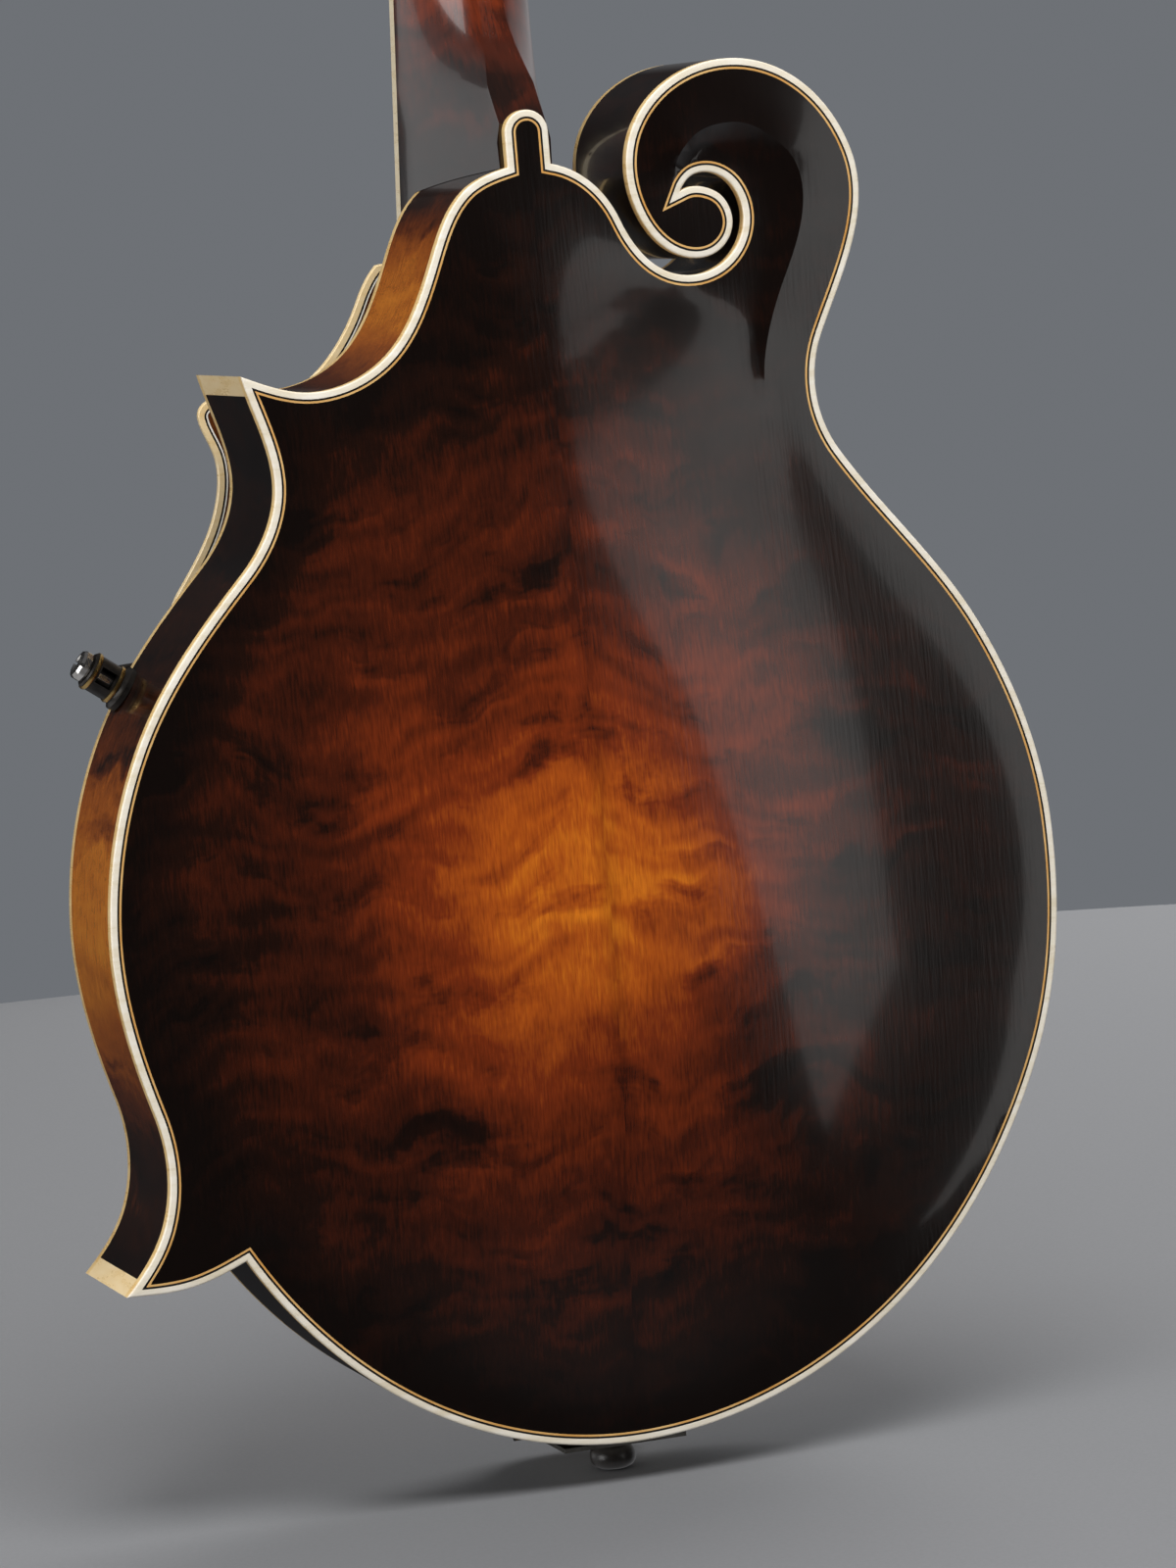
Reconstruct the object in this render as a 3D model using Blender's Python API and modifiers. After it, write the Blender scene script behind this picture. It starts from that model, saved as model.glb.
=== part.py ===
"""An f-style mandolin: carved body with scroll and two points, neck, headstock, tuners, bridge and strings.

World axes: +X treble side (the two points), -X bass side (the scroll), -Y front, +Y back, +Z up the neck.
The origin is the centre of the endpin's flat end. All sizes are in metres.
Pieces of the body are drawn in (x, v, n): x as above, v up from the tail edge, n out of the front.
"""

import math

import bmesh
import bpy
import numpy as np
from mathutils import Matrix, Vector
from mathutils.geometry import delaunay_2d_cdt

# Driving dimensions: body
BODY_WIDTH = 0.254
BODY_LENGTH = 0.349
BODY_DEPTH = 0.0443
GAP = 0.0003
BINDING_WIDTH = 0.0015
BINDING_HEIGHT = 0.003
PLATE_EDGE = 0.0033
BACK_CENTRE = 0.0048
TOP_CENTRE = 0.0055
BACK_RISE = 0.0150
TOP_RISE = 0.0155
ARCH_FULLNESS = 1.3
FACET_ALLOWANCE = 0.0008
RIB_THICKNESS = 0.0020
LINING_WIDTH = 0.0050
LINING_HEIGHT = 0.0060
CAP_LENGTH = 0.0053
TAIL_BLOCK_WIDTH = 0.060
TAIL_BLOCK_DEPTH = 0.018
HEAD_BLOCK_START = 0.069
POINT_BLOCK_REACH = 0.030
TONE_BAR_WIDTH = 0.0065
TONE_BAR_HEIGHT = 0.010
TONE_BAR_SPREAD = 0.030
TONE_BAR_LEAN = 0.010
TONE_BAR_OFF_TAIL_BLOCK = 0.055
TONE_BAR_OFF_HEAD_BLOCK = 0.005
SOUND_HOLE_LENGTH = 0.062
SOUND_HOLE_X = 0.052
SOUND_HOLE_BELOW_BRIDGE = 0.0089
SOUND_HOLE_SWAY = 0.0075
SOUND_HOLE_LEAN = 0.0022
SOUND_SLOT_HALF_MIDDLE = 0.0026
SOUND_SLOT_HALF_END = 0.0009
SOUND_EYE_UPPER = 0.0030
SOUND_EYE_LOWER = 0.0040
BUTTON_HEIGHT = 0.0140

# Driving dimensions: neck, fingerboard and headstock
SCALE_LENGTH = 0.3524
JOINT_FRET = 15
FRET_COUNT = 29
NECK_ANGLE = math.radians(6.3)
HEAD_ANGLE = math.radians(15.0)
BOARD_RISE = 0.0082
BOARD_THICKNESS = 0.0042
BOARD_WIDTH_NUT = 0.0285
BOARD_WIDTH_JOINT = 0.0372
NECK_DEPTH_NUT = 0.0155
NECK_DEPTH_HEEL = 0.0185
HEEL_LENGTH = 0.070
HEEL_FOOT = 0.010
HEEL_UNDER_BUTTON = 0.002
HEEL_FLARE = 1.8
NECK_RIDGE_HALF = 0.0004
ROUND_SECTION = (1.8, 0.62)
HEEL_SECTION = (1.35, 1.1)
VOLUTE_START = 0.012
VOLUTE_LENGTH = 0.017
VOLUTE_SWELL = 0.0040
VOLUTE_SINK = 0.0028
VOLUTE_INSET = 0.0006
EXTENSION_LENGTH = 0.066
EXTENSION_OVER_HEEL = 0.008
EXTENSION_INSET = 0.004
FRET_WIDTH = 0.0012
FRET_HEIGHT = 0.0009
FRET_INSET = 0.0006
FRET_SEAT = 0.0010
BOARD_PAST_FRET = 0.0040
BOARD_STEP_BEFORE_FRET = 0.0020
NUT_THICKNESS = 0.0045
NUT_HEIGHT = 0.0064
HEAD_LENGTH = 0.165
HEAD_WIDTH = 0.084
HEAD_THICKNESS = 0.0145
OVERLAY_THICKNESS = 0.0018
ROD_RADIUS = 0.0024
ROD_START = 0.010
ROD_END = 0.008
ROD_NUT_LENGTH = 0.007
ROD_CHANNEL_WIDTH = 0.006
ROD_CHANNEL_DEPTH = 0.0085
ROD_CHANNEL_START = 0.006
ROD_CHANNEL_PAST_NUT = 0.020
ROD_POCKET_HALF = 0.005
ROD_POCKET_START = 0.002
COVER_WIDTH = 0.017
COVER_LENGTH = 0.034
COVER_THICKNESS = 0.0018

# Driving dimensions: tuners
TUNER_SPACING = 0.0235
TUNER_FIRST = 0.040
TUNER_SIDE = 0.0205
POST_RADIUS = 0.0030
POST_STAND = 0.0125
POST_CLEARANCE = 0.0004
POST_SCREW_HEAD = 0.0008
GEAR_RADIUS = 0.0052
GEAR_THICKNESS = 0.0032
WORM_RADIUS = 0.0020
WORM_HALF_LENGTH = 0.0042
WORM_BEHIND_GEAR = 0.0010
SHAFT_RADIUS = 0.0012
TUNER_PLATE_WIDTH = 0.0125
TUNER_PLATE_THICKNESS = 0.0012
TUNER_PLATE_BELOW = 0.014
TUNER_PLATE_ABOVE = 0.010
KEY_REACH = 0.0150
KEY_BUTTON_LENGTH = 0.0110
KEY_BUTTON_WIDTH = 0.0140
KEY_BUTTON_THICKNESS = 0.0075

# Driving dimensions: strings, bridge, tailpiece
BRIDGE_COMPENSATION = 0.0020
STRING_CLEARANCE_NUT = 0.0012
STRING_CLEARANCE_JOINT = 0.0030
STRING_SPREAD_NUT = 0.0235
STRING_SPREAD_BRIDGE = 0.0410
STRING_SPREAD_HOOKS = 0.0262
PAIR_GAP = 0.0022
STRING_RADII = (0.00050, 0.00050, 0.00033, 0.00033, 0.00020, 0.00020, 0.00014, 0.00014)
BRIDGE_LENGTH = 0.114
BRIDGE_BASE_HEIGHT = 0.0056
BRIDGE_BASE_WIDTH = 0.0110
SADDLE_LENGTH = 0.106
SADDLE_WIDTH = 0.0060
SADDLE_HEIGHT = 0.0078
BRIDGE_RELIEF_WIDTH = 0.032
BRIDGE_RELIEF_HEIGHT = 0.0018
BRIDGE_CREST_WIDTH = 0.084
BRIDGE_TIP_SHARE = 0.36
BRIDGE_BEND_SHARE = 0.8
BRIDGE_TOP_SHARE = 0.62
SADDLE_TOP_SHARE = 0.5
SADDLE_FALL = 0.0020
SADDLE_END_LIFT = 0.0026
STUD_HOLE_ROOF = 0.0012
STUD_SINK = 0.003
STUD_STAND = 0.0045
STUD_SPACING = 0.072
STUD_RADIUS = 0.0016
STUD_CLEARANCE = 0.0004
WHEEL_RADIUS = 0.0078
WHEEL_THICKNESS = 0.0026
WHEEL_CHAMFER = 0.0004
TAILPIECE_WIDTH = 0.033
TAILPIECE_STRIP = 0.0012
TAILPIECE_LIFT = 0.0042
TAILPIECE_STAND = 0.0014
TAILPIECE_HANG = 0.012
HOOK_V = 0.021
HOOK_HEIGHT = 0.0035
HOOK_HALF_WIDTH = 0.0007
HOOK_MARGIN = 0.004
TAIL_COVER_MARGIN = 0.0028
TAIL_COVER_LENGTH = 0.082
TAIL_COVER_START = -0.0055
TAIL_COVER_SINK = 0.0002
TAIL_COVER_CROWN = 0.0070
TAIL_COVER_WALL = 0.0008
TAIL_COVER_SLOPE = math.radians(9.5)
ENDPIN_LENGTH = 0.0105
ENDPIN_HEAD_RADIUS = 0.0060
ENDPIN_SHAFT_RADIUS = 0.0036
ENDPIN_DEPTH = 0.0155
ENDPIN_HOLE_START = 0.004
ENDPIN_HOLE_PAST_RIM = 0.030

# Driving dimensions: pickguard and its clamp
GUARD_THICKNESS = 0.0018
GUARD_OFF_BRIDGE = 0.0102
GUARD_REST = (76.0, 206.0)
CLAMP_V = 0.2030
CLAMP_DROP = 0.0065
BARREL_RADIUS = 0.0048
BARREL_LENGTH = 0.0110
BARREL_FOOT_FLARE = 0.0012
BARREL_FOOT_HEIGHT = 0.0016
BARREL_WINDOW_MARGIN = 0.0022
BARREL_WINDOW_START = 0.0042
CLAMP_SCREW_RADIUS = 0.0022
CLAMP_HEAD_RADIUS = 0.0040
CLAMP_HEAD_HEIGHT = 0.0030
CLAMP_SCREW_TIP = 0.0010
CLAMP_CLEARANCE = 0.0005
ARM_RADIUS = 0.0014
ARM_DROP = 0.006
ARM_CROOK = 0.002

# The outline is drawn at this size, in millimetres, and scaled to BODY_WIDTH and BODY_LENGTH.
DRAWN_WIDTH = 254.0
DRAWN_LENGTH = 349.0
TURN_STEP = math.radians(15.0)
LONGEST_CHORD = 0.015
PLATE_NET = 0.020
CLOSEST_POINTS = 0.0016

# Stations (x, v, heading in degrees), with arc-like curves between them and the wood on the left hand.
SHOULDER_BASS = [(-5.7, 326.4, 193), (-22.8, 310.9, 248), (-36.6, 296.0, 196), (-52.9, 301.2, 127),
                 (-53.6, 316.7, 57), (-43.8, 320.8, -14), (-39.4, 316.8, -61)]
SCROLL = [(-39.4, 316.8, 151), (-48.4, 316.2, 208), (-52.7, 309.6, 262), (-49.6, 301.8, 319),
          (-38.9, 300.2, 19), (-26.9, 314.1, 72), (-28.4, 334.5, 119), (-46.7, 348.2, 166),
          (-70.5, 344.4, 212), (-86.1, 323.8, 252), (-74.2, 277.5, 295)]
BASS_SIDE = [(-74.2, 277.5, 295), (-76.6, 247.6, 237), (-110.9, 199.8, 242), (-126.7, 146.0, 267),
             (-117.2, 84.1, 293), (-75.9, 27.5, 321), (0.0, 0.0, 0)]
TREBLE_TAIL = [(0.0, 0.0, 0), (46.1, 11.0, 26), (98.3, 60.2, 59)]
LOWER_POINT = [(98.3, 60.2, -23), (112.6, 55.5, -10), (129.8, 55.2, 2)]
WAIST = [(129.8, 55.2, 135), (118.4, 71.4, 110), (118.2, 99.5, 73), (125.4, 146.0, 93), (113.7, 191.8, 116),
         (83.7, 231.0, 134), (73.6, 249.0, 101), (79.5, 280.6, 77)]
SHOULDER_TREBLE = [(79.5, 280.6, 204), (60.3, 275.0, 179), (42.6, 281.1, 143), (28.9, 301.7, 113),
                   (17.8, 321.3, 139), (5.7, 326.4, 167)]
HEAD_RIGHT = [(14.2, 0, 88), (20.5, 15, 50), (31.0, 22.5, 20)]
HEAD_TREBLE = [(31.0, 22.5, 150), (28.4, 40, 92), (31.5, 105, 82), (45.5, 146, 62)]
HEAD_TOP = [(45.5, 146, 190), (24.0, 140, 178), (6.0, 149, 130), (-8.0, 163, 155), (-27.0, 161, 218),
            (-38.5, 143, 262), (-31.5, 128.5, 340), (-22.5, 136, 85), (-24.0, 142.5, 118)]
HEAD_BASS = [(-24.0, 142.5, -35), (-19.5, 137, -92), (-23.5, 126.5, -125), (-31.5, 119.5, 228),
             (-32.0, 110, 272), (-28.4, 40, 268), (-31.0, 22.5, 210)]
HEAD_LEFT = [(-31.0, 22.5, -20), (-20.5, 15, -50), (-14.2, 0, -88)]
GUARD = [(21.5, 304.0, 270), (22.0, 195.0, 270), (30.0, 187.0, 0), (62.0, 192.0, 22), (86.5, 212.0, 80),
         (83.6, 223.5, 124), (72.6, 243.3, 107), (71.4, 257.3, 78), (75.3, 268.0, 80), (70.0, 273.2, 180),
         (56.0, 271.5, 172), (41.5, 278.7, 135), (31.0, 294.8, 113), (25.5, 303.5, 135)]

# The head block's inner side, (x, v) as drawn
HEAD_BLOCK_INNER = [(-58, 268), (-28, 282), (8, 286)]


def body_matrix():
    """Turns (x, v, n) of the body into world places."""
    return Matrix(((1, 0, 0, 0), (0, 0, -1, 0), (0, 1, 0, ENDPIN_LENGTH), (0, 0, 0, 1)))


def neck_matrix():
    """(x, s, n): s runs up the neck from the body joint, n out of the fingerboard's underside."""
    joint = Matrix.Translation((0, joint_v(), BODY_DEPTH / 2 + BOARD_RISE))
    return body_matrix() @ joint @ Matrix.Rotation(-NECK_ANGLE, 4, "X")


def head_matrix():
    """(x, v, n): v runs up the headstock from the nut, n out of its front."""
    bend = Matrix.Translation((0, fret_place(0), 0))
    return neck_matrix() @ bend @ Matrix.Rotation(-HEAD_ANGLE, 4, "X")


def joint_v():
    return mm_v(326.4)


def fret_place(fret):
    """Distance of a fret up the neck from the body joint."""
    to_joint = SCALE_LENGTH * (1 - 2 ** (-JOINT_FRET / 12))
    return to_joint - SCALE_LENGTH * (1 - 2 ** (-fret / 12))


def mm_x(value):
    return value / DRAWN_WIDTH * BODY_WIDTH


def mm_v(value):
    return value / DRAWN_LENGTH * BODY_LENGTH


def half_board(s):
    """Half the fingerboard's width at a distance up the neck."""
    taper = (BOARD_WIDTH_NUT - BOARD_WIDTH_JOINT) / fret_place(0)
    return (BOARD_WIDTH_JOINT + taper * s) / 2


def curve_through(stations, step=TURN_STEP, longest=LONGEST_CHORD, scale=(mm_x, mm_v)):
    """Points along the arc-like curves that join the stations."""
    points = []
    for (x0, v0, h0), (x1, v1, h1) in zip(stations[:-1], stations[1:]):
        a = Vector((scale[0](x0), scale[1](v0)))
        b = Vector((scale[0](x1), scale[1](v1)))
        h0, h1 = math.radians(h0), math.radians(h1)
        chord = b - a
        along = math.atan2(chord.y, chord.x)
        turn_a = abs(math.remainder(h0 - along, math.tau))
        turn_b = abs(math.remainder(h1 - along, math.tau))
        handle = chord.length * 2 / 3 / (1 + math.cos((turn_a + turn_b) / 2))
        a1 = a + handle * Vector((math.cos(h0), math.sin(h0)))
        b1 = b - handle * Vector((math.cos(h1), math.sin(h1)))
        count = max(2, math.ceil((turn_a + turn_b) / step), math.ceil(chord.length / longest))
        for i in range(count):
            t = i / count
            r = 1 - t
            points.append(r ** 3 * a + 3 * r * r * t * a1 + 3 * r * t * t * b1 + t ** 3 * b)
    points.append(b)
    return points


def joined(*paths):
    """One closed loop from paths that follow each other."""
    loop = []
    for path in paths:
        loop += [p for p in path if not loop or (p - loop[-1]).length > 1e-6]
    if (loop[0] - loop[-1]).length < 1e-6:
        loop.pop()
    return loop


def inset(points, distance, closed=True, mitre=2.6):
    """The path moved to its left by the distance, with mitred corners."""
    moved = []
    count = len(points)
    for i, p in enumerate(points):
        before = points[i - 1] if closed or i else p
        after = points[(i + 1) % count] if closed or i + 1 < count else p
        t0 = (p - before).normalized() if (p - before).length else (after - p).normalized()
        t1 = (after - p).normalized() if (after - p).length else t0
        normal = Vector((-t0.y - t1.y, t0.x + t1.x))
        if normal.length < 1e-9:
            normal = Vector((-t0.y, t0.x))
        normal.normalize()
        cosine = max(normal.dot(Vector((-t0.y, t0.x))), 1 / mitre)
        moved.append(p + normal * distance / cosine)
    return moved


def stretch(points, start, end):
    """The part of a path between two distances along it; a negative end counts from the far end."""
    lengths = [0.0]
    for a, b in zip(points[:-1], points[1:]):
        lengths.append(lengths[-1] + (b - a).length)
    if end <= 0:
        end += lengths[-1]

    def at(d):
        i = max(k for k in range(len(lengths) - 1) if lengths[k] <= d + 1e-12)
        share = (d - lengths[i]) / (lengths[i + 1] - lengths[i])
        return points[i].lerp(points[i + 1], min(share, 1.0))

    middle = [p for p, d in zip(points, lengths) if start + CLOSEST_POINTS < d < end - CLOSEST_POINTS]
    return [at(start)] + middle + [at(end)]


def outline_paths():
    return {
        "shoulder_bass": curve_through(SHOULDER_BASS),
        "scroll": curve_through(SCROLL),
        "bass_side": curve_through(BASS_SIDE),
        "treble_tail": curve_through(TREBLE_TAIL),
        "lower_point": curve_through(LOWER_POINT),
        "waist": curve_through(WAIST),
        "shoulder_treble": curve_through(SHOULDER_TREBLE),
    }


PATHS = outline_paths()
OUTLINE = joined(*PATHS.values())


def inside(px, pv, loop):
    """Which of many places lie inside a closed loop."""
    result = np.zeros(px.shape, bool)
    for a, b in zip(loop, loop[1:] + loop[:1]):
        if a.y == b.y:
            continue
        crosses = (a.y > pv) != (b.y > pv)
        result ^= crosses & (px < (b.x - a.x) * (pv - a.y) / (b.y - a.y) + a.x)
    return result


class ArchField:
    """A soap film's rise over the outline: nothing at the edge, one at its highest place."""

    CELL = 0.003
    SWEEPS = 260
    OVER_RELAXATION = 1.93

    def __init__(self, loop):
        low = Vector((min(p.x for p in loop), min(p.y for p in loop)))
        high = Vector((max(p.x for p in loop), max(p.y for p in loop)))
        self.low = low - Vector((2 * self.CELL, 2 * self.CELL))
        size = high - self.low
        shape = (math.ceil(size.x / self.CELL) + 3, math.ceil(size.y / self.CELL) + 3)
        ix, iv = np.indices(shape)
        wood = inside(self.low.x + ix * self.CELL, self.low.y + iv * self.CELL, loop)
        wood[[0, -1], :] = False
        wood[:, [0, -1]] = False
        film = np.zeros(shape)
        for _ in range(self.SWEEPS):
            for colour in (0, 1):
                around = sum(np.roll(film, way, axis) for axis in (0, 1) for way in (1, -1))
                target = (around + 1.0) / 4
                chosen = wood & ((ix + iv) % 2 == colour)
                film[chosen] += self.OVER_RELAXATION * (target[chosen] - film[chosen])
        self.film = film / film.max()

    def __call__(self, x, v):
        fx = (x - self.low.x) / self.CELL
        fv = (v - self.low.y) / self.CELL
        i, j = int(fx), int(fv)
        if not (0 <= i < self.film.shape[0] - 1 and 0 <= j < self.film.shape[1] - 1):
            return 0.0
        a, b = fx - i, fv - j
        cell = self.film[i:i + 2, j:j + 2]
        low, high = cell[0] * (1 - a) + cell[1] * a
        return max(float(low * (1 - b) + high * b), 0.0) ** ARCH_FULLNESS


ARCH = ArchField(inset(OUTLINE, BINDING_WIDTH))


def top_surface(x, v):
    """The n of the top's outer face."""
    return BODY_DEPTH / 2 + TOP_RISE * ARCH(x, v)


def top_underside(x, v):
    rise = TOP_RISE - (TOP_CENTRE - PLATE_EDGE)
    return BODY_DEPTH / 2 - PLATE_EDGE + rise * ARCH(x, v)


PARTS = bpy.data.collections.new("f_style_mandolin")
CUTTERS = bpy.data.collections.new("cutters")


def clear_scene():
    for thing in list(bpy.data.objects):
        bpy.data.objects.remove(thing, do_unlink=True)
    for collection in (PARTS, CUTTERS):
        bpy.context.scene.collection.children.link(collection)


def material(name, colour, roughness, metallic=0.0):
    made = bpy.data.materials.new(name)
    made.use_nodes = True
    shader = made.node_tree.nodes["Principled BSDF"]
    shader.inputs["Base Color"].default_value = (*colour, 1.0)
    shader.inputs["Roughness"].default_value = roughness
    shader.inputs["Metallic"].default_value = metallic
    made.diffuse_color = (*colour, 1.0)
    return made


def object_from(name, mesh, matrix=None, collection=PARTS, finish=None):
    thing = bpy.data.objects.new(name, mesh)
    collection.objects.link(thing)
    if matrix is not None:
        thing.matrix_world = matrix
    if finish is not None and not mesh.materials:
        mesh.materials.append(finish)
    return thing


def mesh_from(name, work):
    bmesh.ops.recalc_face_normals(work, faces=work.faces)
    if work.calc_volume(signed=True) < 0:
        bmesh.ops.reverse_faces(work, faces=work.faces)
    mesh = bpy.data.meshes.new(name)
    work.to_mesh(mesh)
    work.free()
    mesh.shade_smooth()
    mesh.set_sharp_from_angle(angle=math.radians(35))
    return mesh


def prism_mesh(name, loop, low, high):
    """A flat outline in local XY, made solid between two local Z levels."""
    work = bmesh.new()
    face = work.faces.new([work.verts.new((p.x, p.y, low)) for p in loop])
    grown = bmesh.ops.extrude_face_region(work, geom=[face])["geom"]
    for vert in (g for g in grown if isinstance(g, bmesh.types.BMVert)):
        vert.co.z = high
    work.normal_update()
    bmesh.ops.triangulate(work, faces=[f for f in work.faces if len(f.verts) > 4], ngon_method="EAR_CLIP")
    return mesh_from(name, work)


def loft_mesh(name, rings):
    """A closed body through rings of equal length, with flat ends."""
    work = bmesh.new()
    rows = [[work.verts.new(p) for p in ring] for ring in rings]
    count = len(rows[0])
    for lower, upper in zip(rows[:-1], rows[1:]):
        for i in range(count):
            j = (i + 1) % count
            work.faces.new((lower[i], lower[j], upper[j], upper[i]))
    work.faces.new(rows[0][::-1])
    work.faces.new(rows[-1])
    work.normal_update()
    bmesh.ops.triangulate(work, faces=[f for f in work.faces if len(f.verts) > 4], ngon_method="EAR_CLIP")
    return mesh_from(name, work)


def ring_mesh(name, outer, inner, low, high):
    """A closed band between two matched loops."""
    work = bmesh.new()
    corners = [(outer, low), (outer, high), (inner, high), (inner, low)]
    columns = [[work.verts.new((p.x, p.y, level)) for p in loop] for loop, level in corners]
    count = len(outer)
    for k in range(4):
        first, second = columns[k], columns[(k + 1) % 4]
        for i in range(count):
            j = (i + 1) % count
            work.faces.new((first[i], first[j], second[j], second[i]))
    return mesh_from(name, work)


def strip_rings(path, near, far, low, high):
    """Rings for a bent strip between two insets of a path."""
    outer = inset(path, near, closed=False)
    inner = inset(path, far, closed=False)
    return [((a.x, a.y, low), (a.x, a.y, high), (b.x, b.y, high), (b.x, b.y, low))
            for a, b in zip(outer, inner)]


def box_mesh(name, low, high):
    work = bmesh.new()
    bmesh.ops.create_cube(work, size=1.0)
    for vert in work.verts:
        vert.co = [low[k] + (vert.co[k] + 0.5) * (high[k] - low[k]) for k in range(3)]
    return mesh_from(name, work)


def cylinder_mesh(name, radius, low, high, sides=16):
    work = bmesh.new()
    bmesh.ops.create_cone(work, cap_ends=True, segments=sides, radius1=radius, radius2=radius,
                          depth=high - low)
    bmesh.ops.translate(work, vec=(0, 0, (low + high) / 2), verts=work.verts)
    return mesh_from(name, work)


def turned(name, profile, matrix, finish, steps=16, collection=PARTS):
    """A turned piece about local Z; the profile (radius, z) runs from its top to its bottom."""
    mesh = bpy.data.meshes.new(name)
    mesh.from_pydata([(r, 0.0, z) for r, z in profile], [(i, i + 1) for i in range(len(profile) - 1)], [])
    thing = object_from(name, mesh, matrix, collection, finish)
    screw = thing.modifiers.new("turn", "SCREW")
    screw.steps = steps
    screw.render_steps = steps
    screw.use_merge_vertices = True
    screw.merge_threshold = 0.00001
    screw.use_smooth_shade = True
    return thing


def combine(thing, meshes, operation, matrix=None, solver="EXACT"):
    """Cuts or joins a list of meshes, given in the object's own space or another."""
    for k, mesh in enumerate(meshes):
        tool = object_from(f"{thing.name}_{operation.lower()}_{len(thing.modifiers)}", mesh,
                           matrix if matrix is not None else thing.matrix_world, CUTTERS)
        tool.hide_render = True
        tool.display_type = "WIRE"
        step = thing.modifiers.new(f"{operation.lower()}_{k}", "BOOLEAN")
        step.operation = operation
        step.solver = solver
        step.object = tool
    return thing


def finished_mesh(thing):
    """The object's mesh with its modifiers applied; the object is removed."""
    bpy.context.view_layer.update()
    graph = bpy.context.evaluated_depsgraph_get()
    mesh = bpy.data.meshes.new_from_object(thing.evaluated_get(graph))
    bpy.data.objects.remove(thing, do_unlink=True)
    return mesh


def tube(name, points, radius, finish, resolution=2):
    curve = bpy.data.curves.new(name, "CURVE")
    curve.dimensions = "3D"
    curve.bevel_depth = radius
    curve.bevel_resolution = resolution
    curve.use_fill_caps = True
    line = curve.splines.new("POLY")
    line.points.add(len(points) - 1)
    for slot, place in zip(line.points, points):
        slot.co = (*place, 1.0)
    curve.materials.append(finish)
    return object_from(name, curve)


def turned_mesh(name, profile, steps=16):
    """A turned shape as a plain mesh, for joining to another."""
    return finished_mesh(turned(name, profile, Matrix.Identity(4), None, steps, CUTTERS))


# Body


def plate_mesh(name, edge_outer, edge_inner, rise_outer, rise_inner):
    """A carved plate: one net of points inside the bindings, lifted to its outer and its inner face."""
    loop = inset(OUTLINE, BINDING_WIDTH + GAP)
    spacing = PLATE_NET
    keep_off = inset(OUTLINE, BINDING_WIDTH + 0.45 * spacing)
    low = Vector((min(p.x for p in loop), min(p.y for p in loop)))
    high = Vector((max(p.x for p in loop), max(p.y for p in loop)))
    net = []
    rows = int((high.y - low.y) / spacing)
    for row in range(rows + 1):
        v = low.y + spacing * (row + 0.5)
        x = low.x + spacing * (0.25 + 0.5 * (row % 2))
        while x < high.x:
            net.append(Vector((x, v)))
            x += spacing
    kept = inside(np.array([p.x for p in net]), np.array([p.y for p in net]), keep_off)
    places = loop + [p for p, good in zip(net, kept) if good]
    edges = [(i, (i + 1) % len(loop)) for i in range(len(loop))]
    points, _, faces, _, _, _ = delaunay_2d_cdt(places, edges, [list(range(len(loop)))], 1, 1e-7)
    work = bmesh.new()
    heights = [ARCH(p.x, p.y) for p in points]
    outer = [work.verts.new((p.x, p.y, edge_outer + rise_outer * h)) for p, h in zip(points, heights)]
    inner = [work.verts.new((p.x, p.y, edge_inner + rise_inner * h)) for p, h in zip(points, heights)]
    for face in faces:
        work.faces.new([outer[i] for i in face])
        work.faces.new([inner[i] for i in reversed(face)])
    borders = [e for e in work.edges if len(e.link_faces) == 1 and e.verts[0] in set(outer)]
    twin = dict(zip(outer, inner))
    for edge in borders:
        a, b = edge.verts
        work.faces.new((a, b, twin[b], twin[a]))
    return mesh_from(name, work)


def button_path():
    """The heel button's edge over the shoulders, from its bass foot to its treble foot."""
    half, top = mm_x(5.7), mm_v(326.4)
    centre = top + BUTTON_HEIGHT - half
    arc = [Vector((half * math.cos(a), centre + half * math.sin(a))) for a in np.linspace(0, math.pi, 9)]
    return arc


def make_plates():
    half = BODY_DEPTH / 2
    back = object_from("back_plate", plate_mesh("back_plate", -half, -half + PLATE_EDGE, -BACK_RISE,
                       -(BACK_RISE - (BACK_CENTRE - PLATE_EDGE))), body_matrix(), finish=MAPLE_BACK)
    foot = mm_v(326.4) - BINDING_WIDTH - 0.004
    arc = inset(button_path(), BINDING_WIDTH + GAP, closed=False)
    tab = [Vector((arc[0].x, foot))] + arc + [Vector((arc[-1].x, foot))]
    combine(back, [prism_mesh("heel_tab", tab, -half, -half + PLATE_EDGE)], "UNION")
    top = object_from("top_plate", plate_mesh("top_plate", half, half - PLATE_EDGE, TOP_RISE,
                      TOP_RISE - (TOP_CENTRE - PLATE_EDGE)), body_matrix(), finish=SPRUCE)
    cutters = []
    for side in (-1, 1):
        cutters += sound_hole_meshes(side)
    combine(top, cutters, "DIFFERENCE")


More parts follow.
